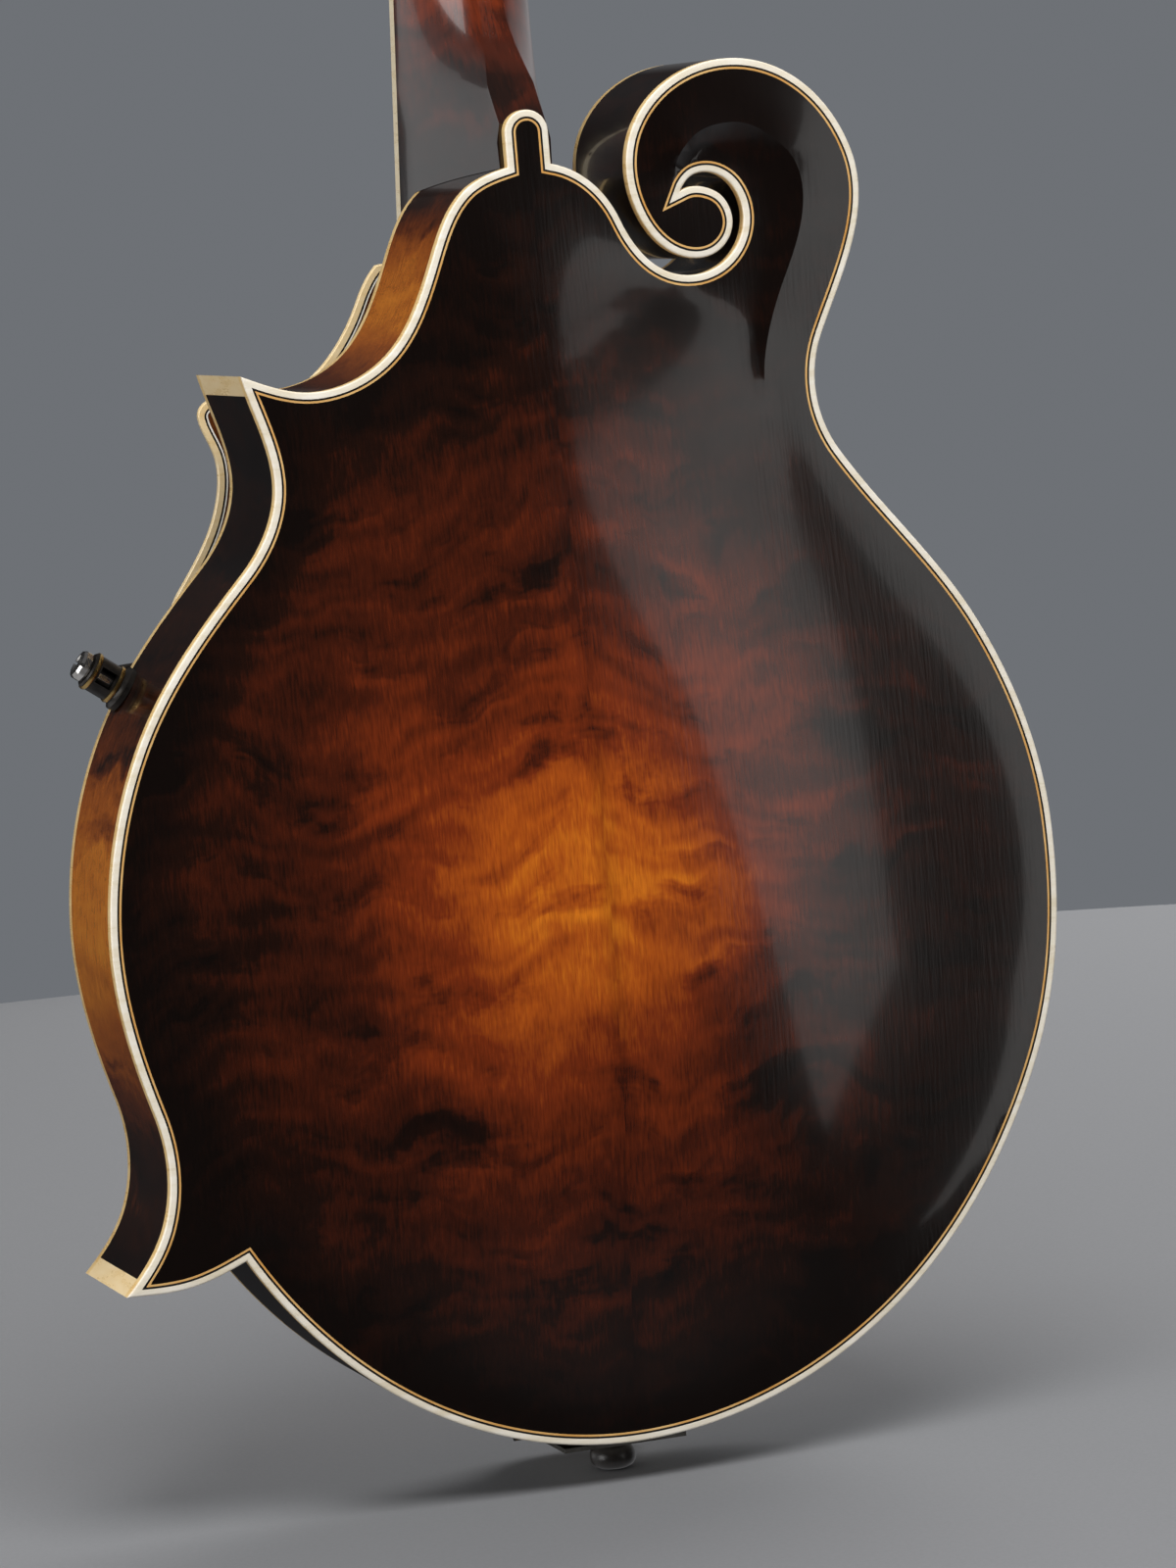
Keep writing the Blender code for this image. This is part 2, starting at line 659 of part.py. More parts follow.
def sound_hole_meshes(side):
    """One f-shaped hole: a tapering S with a round hole at each end."""
    reach, middle_v = SOUND_HOLE_LENGTH / 2, bridge_v() - SOUND_HOLE_BELOW_BRIDGE
    low, high = BODY_DEPTH / 2 - TOP_CENTRE * 2, BODY_DEPTH / 2 + TOP_RISE * 1.3
    left, right = [], []
    for t in np.linspace(-1, 1, 11):
        sway = SOUND_HOLE_SWAY * math.sin(2.2 * t)
        half = SOUND_SLOT_HALF_END + (SOUND_SLOT_HALF_MIDDLE - SOUND_SLOT_HALF_END) * (1 - t * t)
        centre = Vector((side * (SOUND_HOLE_X - sway - SOUND_HOLE_LEAN * t), middle_v + reach * t))
        left.append(centre + Vector((-half, 0)))
        right.append(centre + Vector((half, 0)))
    meshes = [prism_mesh("sound_slot", left + right[::-1], low, high)]
    for end, radius in ((1, SOUND_EYE_UPPER), (-1, SOUND_EYE_LOWER)):
        x = side * (SOUND_HOLE_X - end * (SOUND_HOLE_SWAY * 0.60 + SOUND_HOLE_LEAN))
        v = middle_v + end * (reach - radius * 0.7)
        circle = [Vector((x + radius * math.cos(a), v + radius * math.sin(a)))
                  for a in np.linspace(0, math.tau, 14, endpoint=False)]
        meshes.append(prism_mesh("sound_eye", circle, low, high))
    return meshes


def make_bindings():
    half = BODY_DEPTH / 2
    inner = inset(OUTLINE, BINDING_WIDTH)
    rings = strip_rings(OUTLINE, 0.0, BINDING_WIDTH, -half, -half + BINDING_HEIGHT)
    object_from("back_binding", loft_mesh("back_binding", rings), body_matrix(), finish=IVOROID)
    object_from("top_binding", ring_mesh("top_binding", OUTLINE, inner, half - BINDING_HEIGHT, half),
                body_matrix(), finish=IVOROID)
    arc = button_path()
    foot = mm_v(326.4) + GAP
    arc = [Vector((arc[0].x, foot))] + arc + [Vector((arc[-1].x, foot))]
    rings = strip_rings(arc, 0.0, BINDING_WIDTH, -half, -half + BINDING_HEIGHT)
    object_from("heel_binding", loft_mesh("heel_binding", rings), body_matrix(), finish=IVOROID)


def make_ribs():
    """Bent sides with their linings, kept off the caps at the points and off the blocks."""
    low, high = -BODY_DEPTH / 2 + PLATE_EDGE + GAP, BODY_DEPTH / 2 - PLATE_EDGE - GAP
    block = TAIL_BLOCK_WIDTH / 2 + GAP
    cap = CAP_LENGTH + GAP
    half_gap = GAP / 2
    ribs = [
        ("rib_bass", "bass_side", half_gap, half_gap, 0.022, block),
        ("rib_treble_lower", "treble_tail", half_gap, 0.004, block, 0.020),
        ("rib_treble_waist", "waist", cap, cap, 0.034, 0.032),
        ("rib_treble_upper", "shoulder_treble", cap, 0.002, 0.028, 0.040),
    ]
    for name, side, start, end, lining_start, lining_end in ribs:
        path = PATHS[side]
        whole = path_length(path)
        stops = [start, lining_start, lining_start + RIB_THICKNESS, whole - lining_end - RIB_THICKNESS,
                 whole - lining_end, whole - end]
        places, lined = [], []
        for k in (0, 2, 4):
            part = stretch(path, stops[k], stops[k + 1])
            places += part
            lined += [k == 2] * len(part)
        rib = object_from(name, loft_mesh(name, rib_rings(places, lined, low, high)), body_matrix(),
                          finish=MAPLE_SIDE)
        if side in ("bass_side", "treble_tail"):
            combine(rib, [endpin_hole()], "DIFFERENCE", endpin_matrix(), "MANIFOLD")


def rib_rings(places, lined, low, high):
    """Rings for a rib whose lining stands out along both edges of its inner face."""
    wall = inset(places, RIB_THICKNESS, closed=False)
    narrow = inset(places, RIB_THICKNESS + GAP, closed=False)
    wide = inset(places, RIB_THICKNESS + LINING_WIDTH, closed=False)
    top, foot = high - LINING_HEIGHT, low + LINING_HEIGHT
    slope = LINING_WIDTH / 2
    rings = []
    for p, q, thin, thick, has_lining in zip(places, wall, narrow, wide, lined):
        r = thick if has_lining else thin
        rings.append(((p.x, p.y, low), (p.x, p.y, high), (r.x, r.y, high), (r.x, r.y, top),
                      (q.x, q.y, top - slope), (q.x, q.y, foot + slope), (r.x, r.y, foot), (r.x, r.y, low)))
    return rings


def body_place(x, v):
    """A place of the drawn outline, at the body's size."""
    return Vector((mm_x(x), mm_v(v)))


def make_blocks():
    low, high = -BODY_DEPTH / 2 + PLATE_EDGE + GAP, BODY_DEPTH / 2 - PLATE_EDGE - GAP
    behind = RIB_THICKNESS + 2 * GAP

    def block(name, loop, finish):
        return object_from(name, prism_mesh(name, loop, low, high), body_matrix(), finish=finish)

    # Head block with the solid scroll, from the heel round the scroll to the bass rib
    bare = joined(PATHS["shoulder_bass"][:-1], stretch(PATHS["scroll"], 0.0, -GAP / 2))
    upper_rib = inset(stretch(PATHS["shoulder_treble"], HEAD_BLOCK_START, -0.002), behind, closed=False)
    step = inset(bare[-2:], behind, closed=False)[-1]
    inner = [step] + [body_place(x, v) for x, v in HEAD_BLOCK_INNER]
    block("head_block", bare + inner + upper_rib, MAPLE_SIDE)
    # Tail block
    reach = TAIL_BLOCK_WIDTH / 2
    bass, treble = PATHS["bass_side"], PATHS["treble_tail"]
    tail = stretch(bass, path_length(bass) - reach, -1e-6)[:-1] + stretch(treble, 0.0, reach)
    tail = inset(tail, behind, closed=False)
    loop = tail + [Vector((tail[-1].x, TAIL_BLOCK_DEPTH)), Vector((tail[0].x, TAIL_BLOCK_DEPTH))]
    combine(block("tail_block", loop, SPRUCE_IN), [endpin_hole()], "DIFFERENCE", endpin_matrix())
    # Point blocks, behind the caps and the ribs
    waist, shoulder = PATHS["waist"], PATHS["shoulder_treble"]
    under = stretch(PATHS["lower_point"], 0.0, -(CAP_LENGTH + GAP))
    beside = inset(stretch(waist, CAP_LENGTH * 2.0, POINT_BLOCK_REACH), behind, closed=False)
    inner = [beside[-1] + Vector((-0.008, 0.0)), under[0] + Vector((0.0012, 0.006))]
    block("lower_point_block", under + beside + inner, MAPLE_SIDE)
    whole = path_length(waist)
    beside = inset(stretch(waist, whole - 0.026, -CAP_LENGTH * 1.9), behind, closed=False)
    above = inset(stretch(shoulder, CAP_LENGTH * 1.9, 0.024), behind, closed=False)
    block("upper_point_block", beside + above, MAPLE_SIDE)


def make_caps():
    low, high = -BODY_DEPTH / 2 + BINDING_HEIGHT + GAP, BODY_DEPTH / 2 - BINDING_HEIGHT - GAP
    caps = [("lower_point_cap", "lower_point", "waist"), ("upper_point_cap", "waist", "shoulder_treble")]
    for name, first, second in caps:
        before = stretch(PATHS[first], path_length(PATHS[first]) - CAP_LENGTH, -1e-6)
        after = stretch(PATHS[second], 0.0, CAP_LENGTH)
        object_from(name, prism_mesh(name, before[:-1] + after, low, high), body_matrix(), finish=IVOROID)


def path_length(path):
    return sum((b - a).length for a, b in zip(path[:-1], path[1:]))


def make_tone_bars():
    start = TAIL_BLOCK_DEPTH + TONE_BAR_OFF_TAIL_BLOCK
    end = body_place(*HEAD_BLOCK_INNER[0]).y - TONE_BAR_OFF_HEAD_BLOCK
    for side, name in ((-1, "tone_bar_bass"), (1, "tone_bar_treble")):
        rings = []
        for t in np.linspace(-0.5, 0.5, 7):
            v = start + (t + 0.5) * (end - start)
            x = side * (TONE_BAR_SPREAD - TONE_BAR_LEAN * t)
            height = TONE_BAR_HEIGHT * (1 - 1.4 * abs(t) ** 1.5)
            seat = min(top_underside(x + d * TONE_BAR_WIDTH / 2, v) for d in (-1, 1)) - FACET_ALLOWANCE
            near, far = x - TONE_BAR_WIDTH / 2, x + TONE_BAR_WIDTH / 2
            low = seat - height
            rings.append(((near, v, low), (far, v, low), (far, v, seat), (near, v, seat)))
        object_from(name, loft_mesh(name, rings), body_matrix(), finish=SPRUCE_IN)


# Neck, fingerboard and headstock


def neck_ring(s, depth, flare=0.0):
    """A neck section across s: flat in front and round behind, with flatter sides where it flares."""
    half = half_board(s)
    end_half = mm_x(5.7) * min(1.0, flare * 1.6) + NECK_RIDGE_HALF
    mix = min(1.0, flare * 1.5)
    early, late = [a + (b - a) * mix for a, b in zip(ROUND_SECTION, HEEL_SECTION)]
    side = []
    for u in np.linspace(0, 1, 7):
        across = end_half + (half - end_half) * (1 - u ** early) ** late
        side.append((across, s, -depth * u))
    other = [(-x, s, n) for x, s, n in reversed(side)]
    return side + other


def make_neck():
    nut = fret_place(0)
    heel_depth = BODY_DEPTH + BOARD_RISE
    rings = [neck_ring(-HEEL_FOOT, heel_depth, 1.0)]
    full = BUTTON_HEIGHT - HEEL_UNDER_BUTTON
    for t in (0.0, 0.13, 0.28, 0.46, 0.68, 1.0):
        flare = (1 - t) ** HEEL_FLARE
        depth = NECK_DEPTH_HEEL + (heel_depth - NECK_DEPTH_HEEL) * flare
        rings.append(neck_ring(full + t * (HEEL_LENGTH - full), depth, flare))
    for t in (0.4, 0.7, 1.0):
        s = HEEL_LENGTH + t * (nut - HEEL_LENGTH)
        rings.append(neck_ring(s, NECK_DEPTH_HEEL + t * (NECK_DEPTH_NUT - NECK_DEPTH_HEEL)))
    neck = object_from("neck", loft_mesh("neck", rings), neck_matrix(), finish=NECK_MAPLE)
    neck_to_world = neck_matrix()
    # Headstock core
    head = prism_mesh("head_core", head_loop(), -HEAD_THICKNESS, 0.0)
    combine(neck, [head], "UNION", head_matrix())
    combine(neck, [volute_mesh()], "UNION", neck_to_world)
    # Support of the fingerboard's end over the top
    combine(neck, [extension_mesh()], "UNION", body_matrix())
    clearance = inset(OUTLINE, -GAP)
    half = half_board(0)
    crest = max(top_surface(x, joint_v() - HEEL_FOOT) for x in (-half, 0, half)) + FACET_ALLOWANCE
    body_room = prism_mesh("body_room", clearance, -BODY_DEPTH / 2 - 0.002, crest)
    below_back = [Vector((-0.05, joint_v() - 0.03)), Vector((0.05, joint_v() - 0.03)),
                  Vector((0.05, joint_v() + 0.03)), Vector((-0.05, joint_v() + 0.03))]
    back_level = -BODY_DEPTH / 2 + PLATE_EDGE + GAP
    back_room = prism_mesh("back_room", below_back, back_level - 0.05, back_level)
    combine(neck, [body_room, back_room], "DIFFERENCE", body_matrix())
    flat = box_mesh("board_plane", (-0.06, -0.12, 0.0), (0.06, nut, 0.04))
    combine(neck, [flat], "DIFFERENCE", neck_to_world)
    front = box_mesh("head_plane", (-0.06, 0.0, GAP / 3), (0.06, HEAD_LENGTH + 0.02, 0.04))
    combine(neck, [front], "DIFFERENCE", head_matrix())
    channel = box_mesh("rod_channel", (-ROD_CHANNEL_WIDTH / 2, ROD_CHANNEL_START, -ROD_CHANNEL_DEPTH),
                       (ROD_CHANNEL_WIDTH / 2, nut + ROD_CHANNEL_PAST_NUT, 0.02))
    combine(neck, [channel], "DIFFERENCE", neck_to_world)
    combine(neck, post_holes(), "DIFFERENCE", head_matrix())


def volute_mesh():
    """The solid behind the nut where the neck runs into the headstock."""
    nut = fret_place(0)
    depth = NECK_DEPTH_NUT - VOLUTE_INSET
    rings = [neck_ring(nut - VOLUTE_START, depth)]
    for t in (0.0, 0.5, 1.0):
        swell = 1 + VOLUTE_SWELL / depth * t
        rings.append([(x, nut - GAP + VOLUTE_LENGTH * t, n * swell - VOLUTE_SINK * t)
                      for x, _, n in neck_ring(nut, depth)])
    return loft_mesh("volute", rings)


def extension_mesh():
    rings = []
    for v in np.linspace(joint_v() + EXTENSION_OVER_HEEL, joint_v() - EXTENSION_LENGTH, 7):
        s = v - joint_v()
        half = half_board(0) - EXTENSION_INSET
        seat = max(top_surface(x, v) for x in (-half, 0, half)) + FACET_ALLOWANCE
        crest = BODY_DEPTH / 2 + BOARD_RISE - math.tan(NECK_ANGLE) * s + 0.001
        rings.append(((-half, v, seat), (half, v, seat), (half, v, crest), (-half, v, crest)))
    return loft_mesh("extension", rings)


def head_loop():
    def scale_x(value):
        return value / 84.0 * HEAD_WIDTH

    def scale_v(value):
        return value / 165.0 * HEAD_LENGTH

    paths = [curve_through(stations, math.radians(20), 0.03, (scale_x, scale_v))
             for stations in (HEAD_RIGHT, HEAD_TREBLE, HEAD_TOP, HEAD_BASS, HEAD_LEFT)]
    return joined(*paths)


def tuner_places():
    """(side, v) of the eight posts: bass side first, each from the nut upwards."""
    return [(side, TUNER_FIRST + k * TUNER_SPACING) for side in (-1, 1) for k in range(4)]


def post_holes():
    meshes = []
    for side, v in tuner_places():
        mesh = cylinder_mesh("post_hole", POST_RADIUS + POST_CLEARANCE, -0.05, 0.05, 12)
        mesh.transform(Matrix.Translation((side * TUNER_SIDE, v, 0)))
        meshes.append(mesh)
    return meshes


def make_headstock():
    veneer = prism_mesh("headstock_overlay", head_loop(), GAP, GAP + OVERLAY_THICKNESS)
    overlay = object_from("headstock_overlay", veneer, head_matrix(), finish=BLACK_LACQUER)
    nut_room = box_mesh("nut_room", (-0.05, -0.02, -0.02), (0.05, NUT_THICKNESS + GAP, 0.02))
    pocket = box_mesh("rod_pocket", (-ROD_POCKET_HALF, ROD_POCKET_START, -0.01),
                      (ROD_POCKET_HALF, COVER_LENGTH * 0.8, 0.01))
    combine(overlay, [nut_room, pocket] + post_holes(), "DIFFERENCE")
    level = GAP + OVERLAY_THICKNESS + GAP
    half = COVER_WIDTH / 2
    stations = [(half, 0, 90), (half, COVER_LENGTH * 0.35, 95), (0, COVER_LENGTH, 125)]
    bell = curve_through(stations, math.radians(20), 0.02, (float, float))
    loop = bell + [Vector((-p.x, p.y)) for p in reversed(bell[:-1])]
    loop = [p + Vector((0, NUT_THICKNESS + 2 * GAP)) for p in loop]
    cover = prism_mesh("truss_rod_cover", loop, level, level + COVER_THICKNESS)
    object_from("truss_rod_cover", cover, head_matrix(), finish=BLACK_PLASTIC)
    nut = fret_place(0)
    rod = cylinder_mesh("truss_rod", ROD_RADIUS, ROD_START, nut + ROD_END, 10)
    depth = ROD_CHANNEL_DEPTH - ROD_RADIUS - GAP
    lay = Matrix.Translation((0, 0, -depth)) @ Matrix.Rotation(-math.pi / 2, 4, "X")
    object_from("truss_rod", rod, neck_matrix() @ lay, finish=STEEL)
    start = nut + ROD_END + GAP
    rod_nut = cylinder_mesh("truss_rod_nut", ROD_RADIUS, start, start + ROD_NUT_LENGTH, 6)
    object_from("truss_rod_nut", rod_nut, neck_matrix() @ lay, finish=BRASS)


def make_fingerboard():
    """The board, with its stepped end over the top, and its frets; and the nut."""
    nut = fret_place(0)
    end = fret_place(FRET_COUNT) - BOARD_PAST_FRET
    bass_end = fret_place(21) - BOARD_STEP_BEFORE_FRET
    middle = fret_place(25)
    wide, slim = half_board(bass_end), half_board(end)
    edge = [(-half_board(nut), nut - GAP), (-wide, bass_end), (-wide * 0.45, bass_end - BOARD_PAST_FRET),
            (-half_board(middle) * 0.10, middle), (slim * 0.15, end), (slim, end),
            (half_board(nut), nut - GAP)]
    mesh = prism_mesh("fingerboard", [Vector(place) for place in edge], GAP, BOARD_THICKNESS)
    board = object_from("fingerboard", mesh, neck_matrix(), finish=EBONY)
    frets = []
    for fret in range(1, FRET_COUNT + 1):
        s = fret_place(fret)
        right = half_board(s) - FRET_INSET
        left = -right
        if s < bass_end:
            left = 0.003 - wide * 0.45 * max(0.0, (s - end) / (bass_end - end))
        frets.append(box_mesh("fret", (left, s - FRET_WIDTH / 2, BOARD_THICKNESS - FRET_SEAT),
                              (right, s + FRET_WIDTH / 2, BOARD_THICKNESS + FRET_HEIGHT)))
    combine(board, [merged(frets)], "UNION")
    half = half_board(nut)
    nut_mesh = box_mesh("nut", (-half, nut + GAP, GAP), (half, nut + NUT_THICKNESS, NUT_HEIGHT))
    object_from("nut", nut_mesh, neck_matrix(), finish=BONE)


def merged(meshes):
    """Separate meshes in one, for a single cut or join."""
    work = bmesh.new()
    for mesh in meshes:
        work.from_mesh(mesh)
    return mesh_from("merged", work)


# Tuners


def tuner_level():
    """The n of the tuner plates' outer face, behind the headstock."""
    return -HEAD_THICKNESS - GAP - TUNER_PLATE_THICKNESS


def make_tuners():
    plate_low, plate_high = tuner_level(), -HEAD_THICKNESS - GAP
    first, last = TUNER_FIRST - TUNER_PLATE_BELOW, TUNER_FIRST + 3 * TUNER_SPACING + TUNER_PLATE_ABOVE
    for side, name in ((-1, "tuner_plate_bass"), (1, "tuner_plate_treble")):
        near, far = side * TUNER_SIDE - TUNER_PLATE_WIDTH / 2, side * TUNER_SIDE + TUNER_PLATE_WIDTH / 2
        strip = box_mesh(name, (near, first, plate_low), (far, last, plate_high))
        plate = object_from(name, strip, head_matrix(), finish=NICKEL)
        holes = [hole for hole, (hole_side, _) in zip(post_holes(), tuner_places()) if hole_side == side]
        combine(plate, holes, "DIFFERENCE")
    post_mesh, key_mesh = tuner_post_mesh(), tuner_key_mesh()
    for index, (side, v) in enumerate(tuner_places()):
        number = index + 1
        place = head_matrix() @ Matrix.Translation((side * TUNER_SIDE, v, 0))
        object_from(f"tuner_post_{number}", post_mesh, place, finish=NICKEL)
        turn = Matrix.Rotation(0.0 if side > 0 else math.pi, 4, "Z")
        shaft = Matrix.Translation((0, -side * (GEAR_RADIUS + WORM_RADIUS + GAP), worm_level()))
        object_from(f"tuner_key_{number}", key_mesh, place @ turn @ shaft, finish=NICKEL)


def worm_level():
    return tuner_level() - GAP - GEAR_THICKNESS / 2 - WORM_BEHIND_GEAR


def tuner_post_mesh():
    """Post with its gear at the back; local Z is the post's axis, out of the front."""
    gear_top = tuner_level() - GAP
    gear_low = gear_top - GEAR_THICKNESS
    stand = POST_STAND
    screw_head = gear_low - POST_SCREW_HEAD
    profile = [(0.0, stand), (POST_RADIUS * 0.8, stand), (POST_RADIUS, stand - 0.001),
               (POST_RADIUS, stand - 0.003), (POST_RADIUS * 0.82, stand - 0.005),
               (POST_RADIUS, stand - 0.008), (POST_RADIUS, gear_top), (GEAR_RADIUS, gear_top),
               (GEAR_RADIUS, gear_low), (POST_RADIUS * 0.6, screw_head), (0.0, screw_head)]
    return turned_mesh("tuner_post", profile, 12)


def tuner_key_mesh():
    """Worm, shaft and button; local X is the shaft's axis, out to the side."""
    worm_end = WORM_HALF_LENGTH
    reach = HEAD_WIDTH / 2 - TUNER_SIDE - 0.010 + KEY_REACH
    collar = SHAFT_RADIUS * 1.6
    profile = [(0.0, reach + 0.002), (collar, reach + 0.002), (collar, reach - 0.003),
               (SHAFT_RADIUS, reach - 0.004), (SHAFT_RADIUS, worm_end + 0.001), (WORM_RADIUS, worm_end),
               (WORM_RADIUS, -worm_end), (0.0, -worm_end)]
    shaft = turned_mesh("tuner_shaft", profile, 10)
    shaft.transform(Matrix.Rotation(math.pi / 2, 4, "Y"))
    work = bmesh.new()
    bmesh.ops.create_uvsphere(work, u_segments=10, v_segments=6, radius=0.5)
    size = Matrix.Diagonal((KEY_BUTTON_LENGTH, KEY_BUTTON_WIDTH, KEY_BUTTON_THICKNESS, 1))
    place = Matrix.Translation((reach + KEY_BUTTON_LENGTH / 2, 0, 0))
    bmesh.ops.transform(work, matrix=place @ size, verts=work.verts)
    key = object_from("tuner_key", shaft, Matrix.Identity(4), CUTTERS)
    combine(key, [mesh_from("key_button", work)], "UNION")
    return finished_mesh(key)


# Strings, bridge and tailpiece


def bridge_v():
    """Where the strings cross the bridge, up from the tail."""
    along = (SCALE_LENGTH + BRIDGE_COMPENSATION - fret_place(0)) * math.cos(NECK_ANGLE)
    return joint_v() - along


def string_level(s):
    """Height of the strings' undersides over the fingerboard's underside plane."""
    at_nut = BOARD_THICKNESS + FRET_HEIGHT + STRING_CLEARANCE_NUT
    slope = (STRING_CLEARANCE_JOINT - STRING_CLEARANCE_NUT) / fret_place(0)
    return at_nut + slope * (fret_place(0) - s)


def saddle_top():
    """The n where the strings rest on the saddle."""
    s = -(joint_v() - bridge_v()) / math.cos(NECK_ANGLE)
    place = body_matrix().inverted() @ neck_matrix() @ Vector((0, s, string_level(s)))
    return place.z


def string_x(number, spread):
    """Across place of a string, in pairs, from the bass side."""
    pair, member = divmod(number, 2)
    step = (spread - PAIR_GAP) / 3
    return -spread / 2 + pair * step + member * PAIR_GAP


def make_strings():
    from_neck = body_matrix().inverted() @ neck_matrix()
    from_head = body_matrix().inverted() @ head_matrix()
    posts = tuner_places()
    order = [0, 1, 2, 3, 7, 6, 5, 4]
    nut_s = fret_place(0)
    hook_level = BODY_DEPTH / 2 + TAILPIECE_LIFT + TAILPIECE_STRIP + HOOK_HEIGHT * 0.8
    for number, radius in enumerate(STRING_RADII):
        lift = radius + GAP
        x_nut, x_bridge = string_x(number, STRING_SPREAD_NUT), string_x(number, STRING_SPREAD_BRIDGE)
        side, v = posts[order[number]]
        inner = side * (TUNER_SIDE - POST_RADIUS - radius - GAP)
        points = [
            Vector((string_x(number, STRING_SPREAD_HOOKS), HOOK_V + 0.003, hook_level)),
            Vector((x_bridge, bridge_v() - SADDLE_WIDTH / 2, saddle_top() + lift)),
            Vector((x_bridge, bridge_v() + SADDLE_WIDTH / 2, saddle_top() + lift)),
            from_neck @ Vector((x_nut, nut_s, NUT_HEIGHT + lift)),
            from_neck @ Vector((x_nut, nut_s + NUT_THICKNESS, NUT_HEIGHT + lift)),
            from_head @ Vector((inner, v, POST_STAND - 0.0055)),
        ]
        string = tube(f"string_{number + 1}", points, radius, STEEL)
        string.matrix_world = body_matrix()


def make_bridge():
    v0 = bridge_v()
    rings = []
    for x in np.linspace(-BRIDGE_LENGTH / 2, BRIDGE_LENGTH / 2, 13):
        bend = 1 - (2 * abs(x) / BRIDGE_LENGTH) ** 4
        tip = BRIDGE_TIP_SHARE + (BRIDGE_BEND_SHARE - BRIDGE_TIP_SHARE) * bend
        half = BRIDGE_BASE_WIDTH / 2
        seat = max(top_surface(x, v0 + d * half) for d in (-1, 1)) + FACET_ALLOWANCE / 2
        relief = BRIDGE_RELIEF_HEIGHT if abs(x) < BRIDGE_RELIEF_WIDTH / 2 else 0.0
        crest = base_level() if abs(x) < BRIDGE_CREST_WIDTH / 2 else seat + BRIDGE_BASE_HEIGHT * tip
        rings.append(((x, v0 - half, seat + relief), (x, v0 + half, seat + relief),
                      (x, v0 + half * BRIDGE_TOP_SHARE, crest), (x, v0 - half * BRIDGE_TOP_SHARE, crest)))
    base = object_from("bridge_base", loft_mesh("bridge_base", rings), body_matrix(), finish=EBONY)
    studs = []
    for side in (-1, 1):
        stud = cylinder_mesh("stud", STUD_RADIUS, base_level() - STUD_SINK, wheel_top() + STUD_STAND, 10)
        stud.transform(Matrix.Translation((side * STUD_SPACING / 2, v0, 0)))
        studs.append(stud)
    combine(base, studs, "UNION")
    wheel = wheel_mesh()
    for side, name in ((-1, "thumbwheel_bass"), (1, "thumbwheel_treble")):
        stand = Matrix.Translation((side * STUD_SPACING / 2, v0, 0))
        object_from(name, wheel, body_matrix() @ stand, finish=NICKEL)
    make_saddle()


def base_level():
    """The n of the bridge base's flat crest."""
    return top_surface(0, bridge_v()) + BRIDGE_BASE_HEIGHT


def wheel_top():
    return saddle_top() - SADDLE_HEIGHT - GAP


def wheel_mesh():
    top, low = wheel_top(), wheel_top() - WHEEL_THICKNESS
    bore = STUD_RADIUS + STUD_CLEARANCE
    rim = WHEEL_RADIUS
    work = bmesh.new()
    outer = [(rim - WHEEL_CHAMFER, low), (rim, low + WHEEL_CHAMFER), (rim, top - WHEEL_CHAMFER),
             (rim - WHEEL_CHAMFER, top), (bore, top), (bore, low)]
    rows = []
    sides = 18
    for k in range(sides):
        a = math.tau * k / sides
        rows.append([work.verts.new((r * math.cos(a), r * math.sin(a), z)) for r, z in outer])
    for first, second in zip(rows, rows[1:] + rows[:1]):
        for i in range(len(outer)):
            j = (i + 1) % len(outer)
            work.faces.new((first[i], second[i], second[j], first[j]))
    return mesh_from("thumbwheel", work)


def make_saddle():
    v0, top = bridge_v(), saddle_top()
    rings = []
    for x in np.linspace(-SADDLE_LENGTH / 2, SADDLE_LENGTH / 2, 11):
        share = abs(x) / (SADDLE_LENGTH / 2)
        crest = top - SADDLE_FALL * max(0.0, share - 0.5) / 0.5
        sole = top - SADDLE_HEIGHT + (SADDLE_END_LIFT if share > 0.85 else 0.0)
        half = SADDLE_WIDTH / 2
        rings.append(((x, v0 - half, sole), (x, v0 + half, sole),
                      (x, v0 + half * SADDLE_TOP_SHARE, crest), (x, v0 - half * SADDLE_TOP_SHARE, crest)))
    saddle = object_from("bridge_saddle", loft_mesh("bridge_saddle", rings), body_matrix(), finish=EBONY)
    holes = []
    deep, roof = top - SADDLE_HEIGHT - 0.004, top - STUD_HOLE_ROOF
    for side in (-1, 1):
        hole = cylinder_mesh("stud_hole", STUD_RADIUS + STUD_CLEARANCE, deep, roof, 10)
        hole.transform(Matrix.Translation((side * STUD_SPACING / 2, v0, 0)))
        holes.append(hole)
    combine(saddle, holes, "DIFFERENCE")


def make_tailpiece():
    half, strip = BODY_DEPTH / 2, TAILPIECE_STRIP
    lift, end = half + TAILPIECE_LIFT, HOOK_V + HOOK_MARGIN
    low = -TAILPIECE_HANG
    outside = -TAILPIECE_STAND
    section = [(outside, low), (outside, lift), (end, lift), (end, lift + strip),
               (outside - strip, lift + strip), (outside - strip, low)]
    rings = [[(x, v, n) for v, n in section] for x in (-TAILPIECE_WIDTH / 2, TAILPIECE_WIDTH / 2)]
    base = object_from("tailpiece_base", loft_mesh("tailpiece_base", rings), body_matrix(), finish=NICKEL)
    hooks = []
    for number in range(8):
        x = string_x(number, STRING_SPREAD_HOOKS)
        wide = HOOK_HALF_WIDTH
        hooks.append(box_mesh("hook", (x - wide, HOOK_V - wide, lift + strip / 2),
                              (x + wide, HOOK_V + wide, lift + strip + HOOK_HEIGHT)))
    combine(base, [merged(hooks)], "UNION")
    combine(base, [endpin_hole()], "DIFFERENCE", endpin_matrix())
    make_tail_cover()


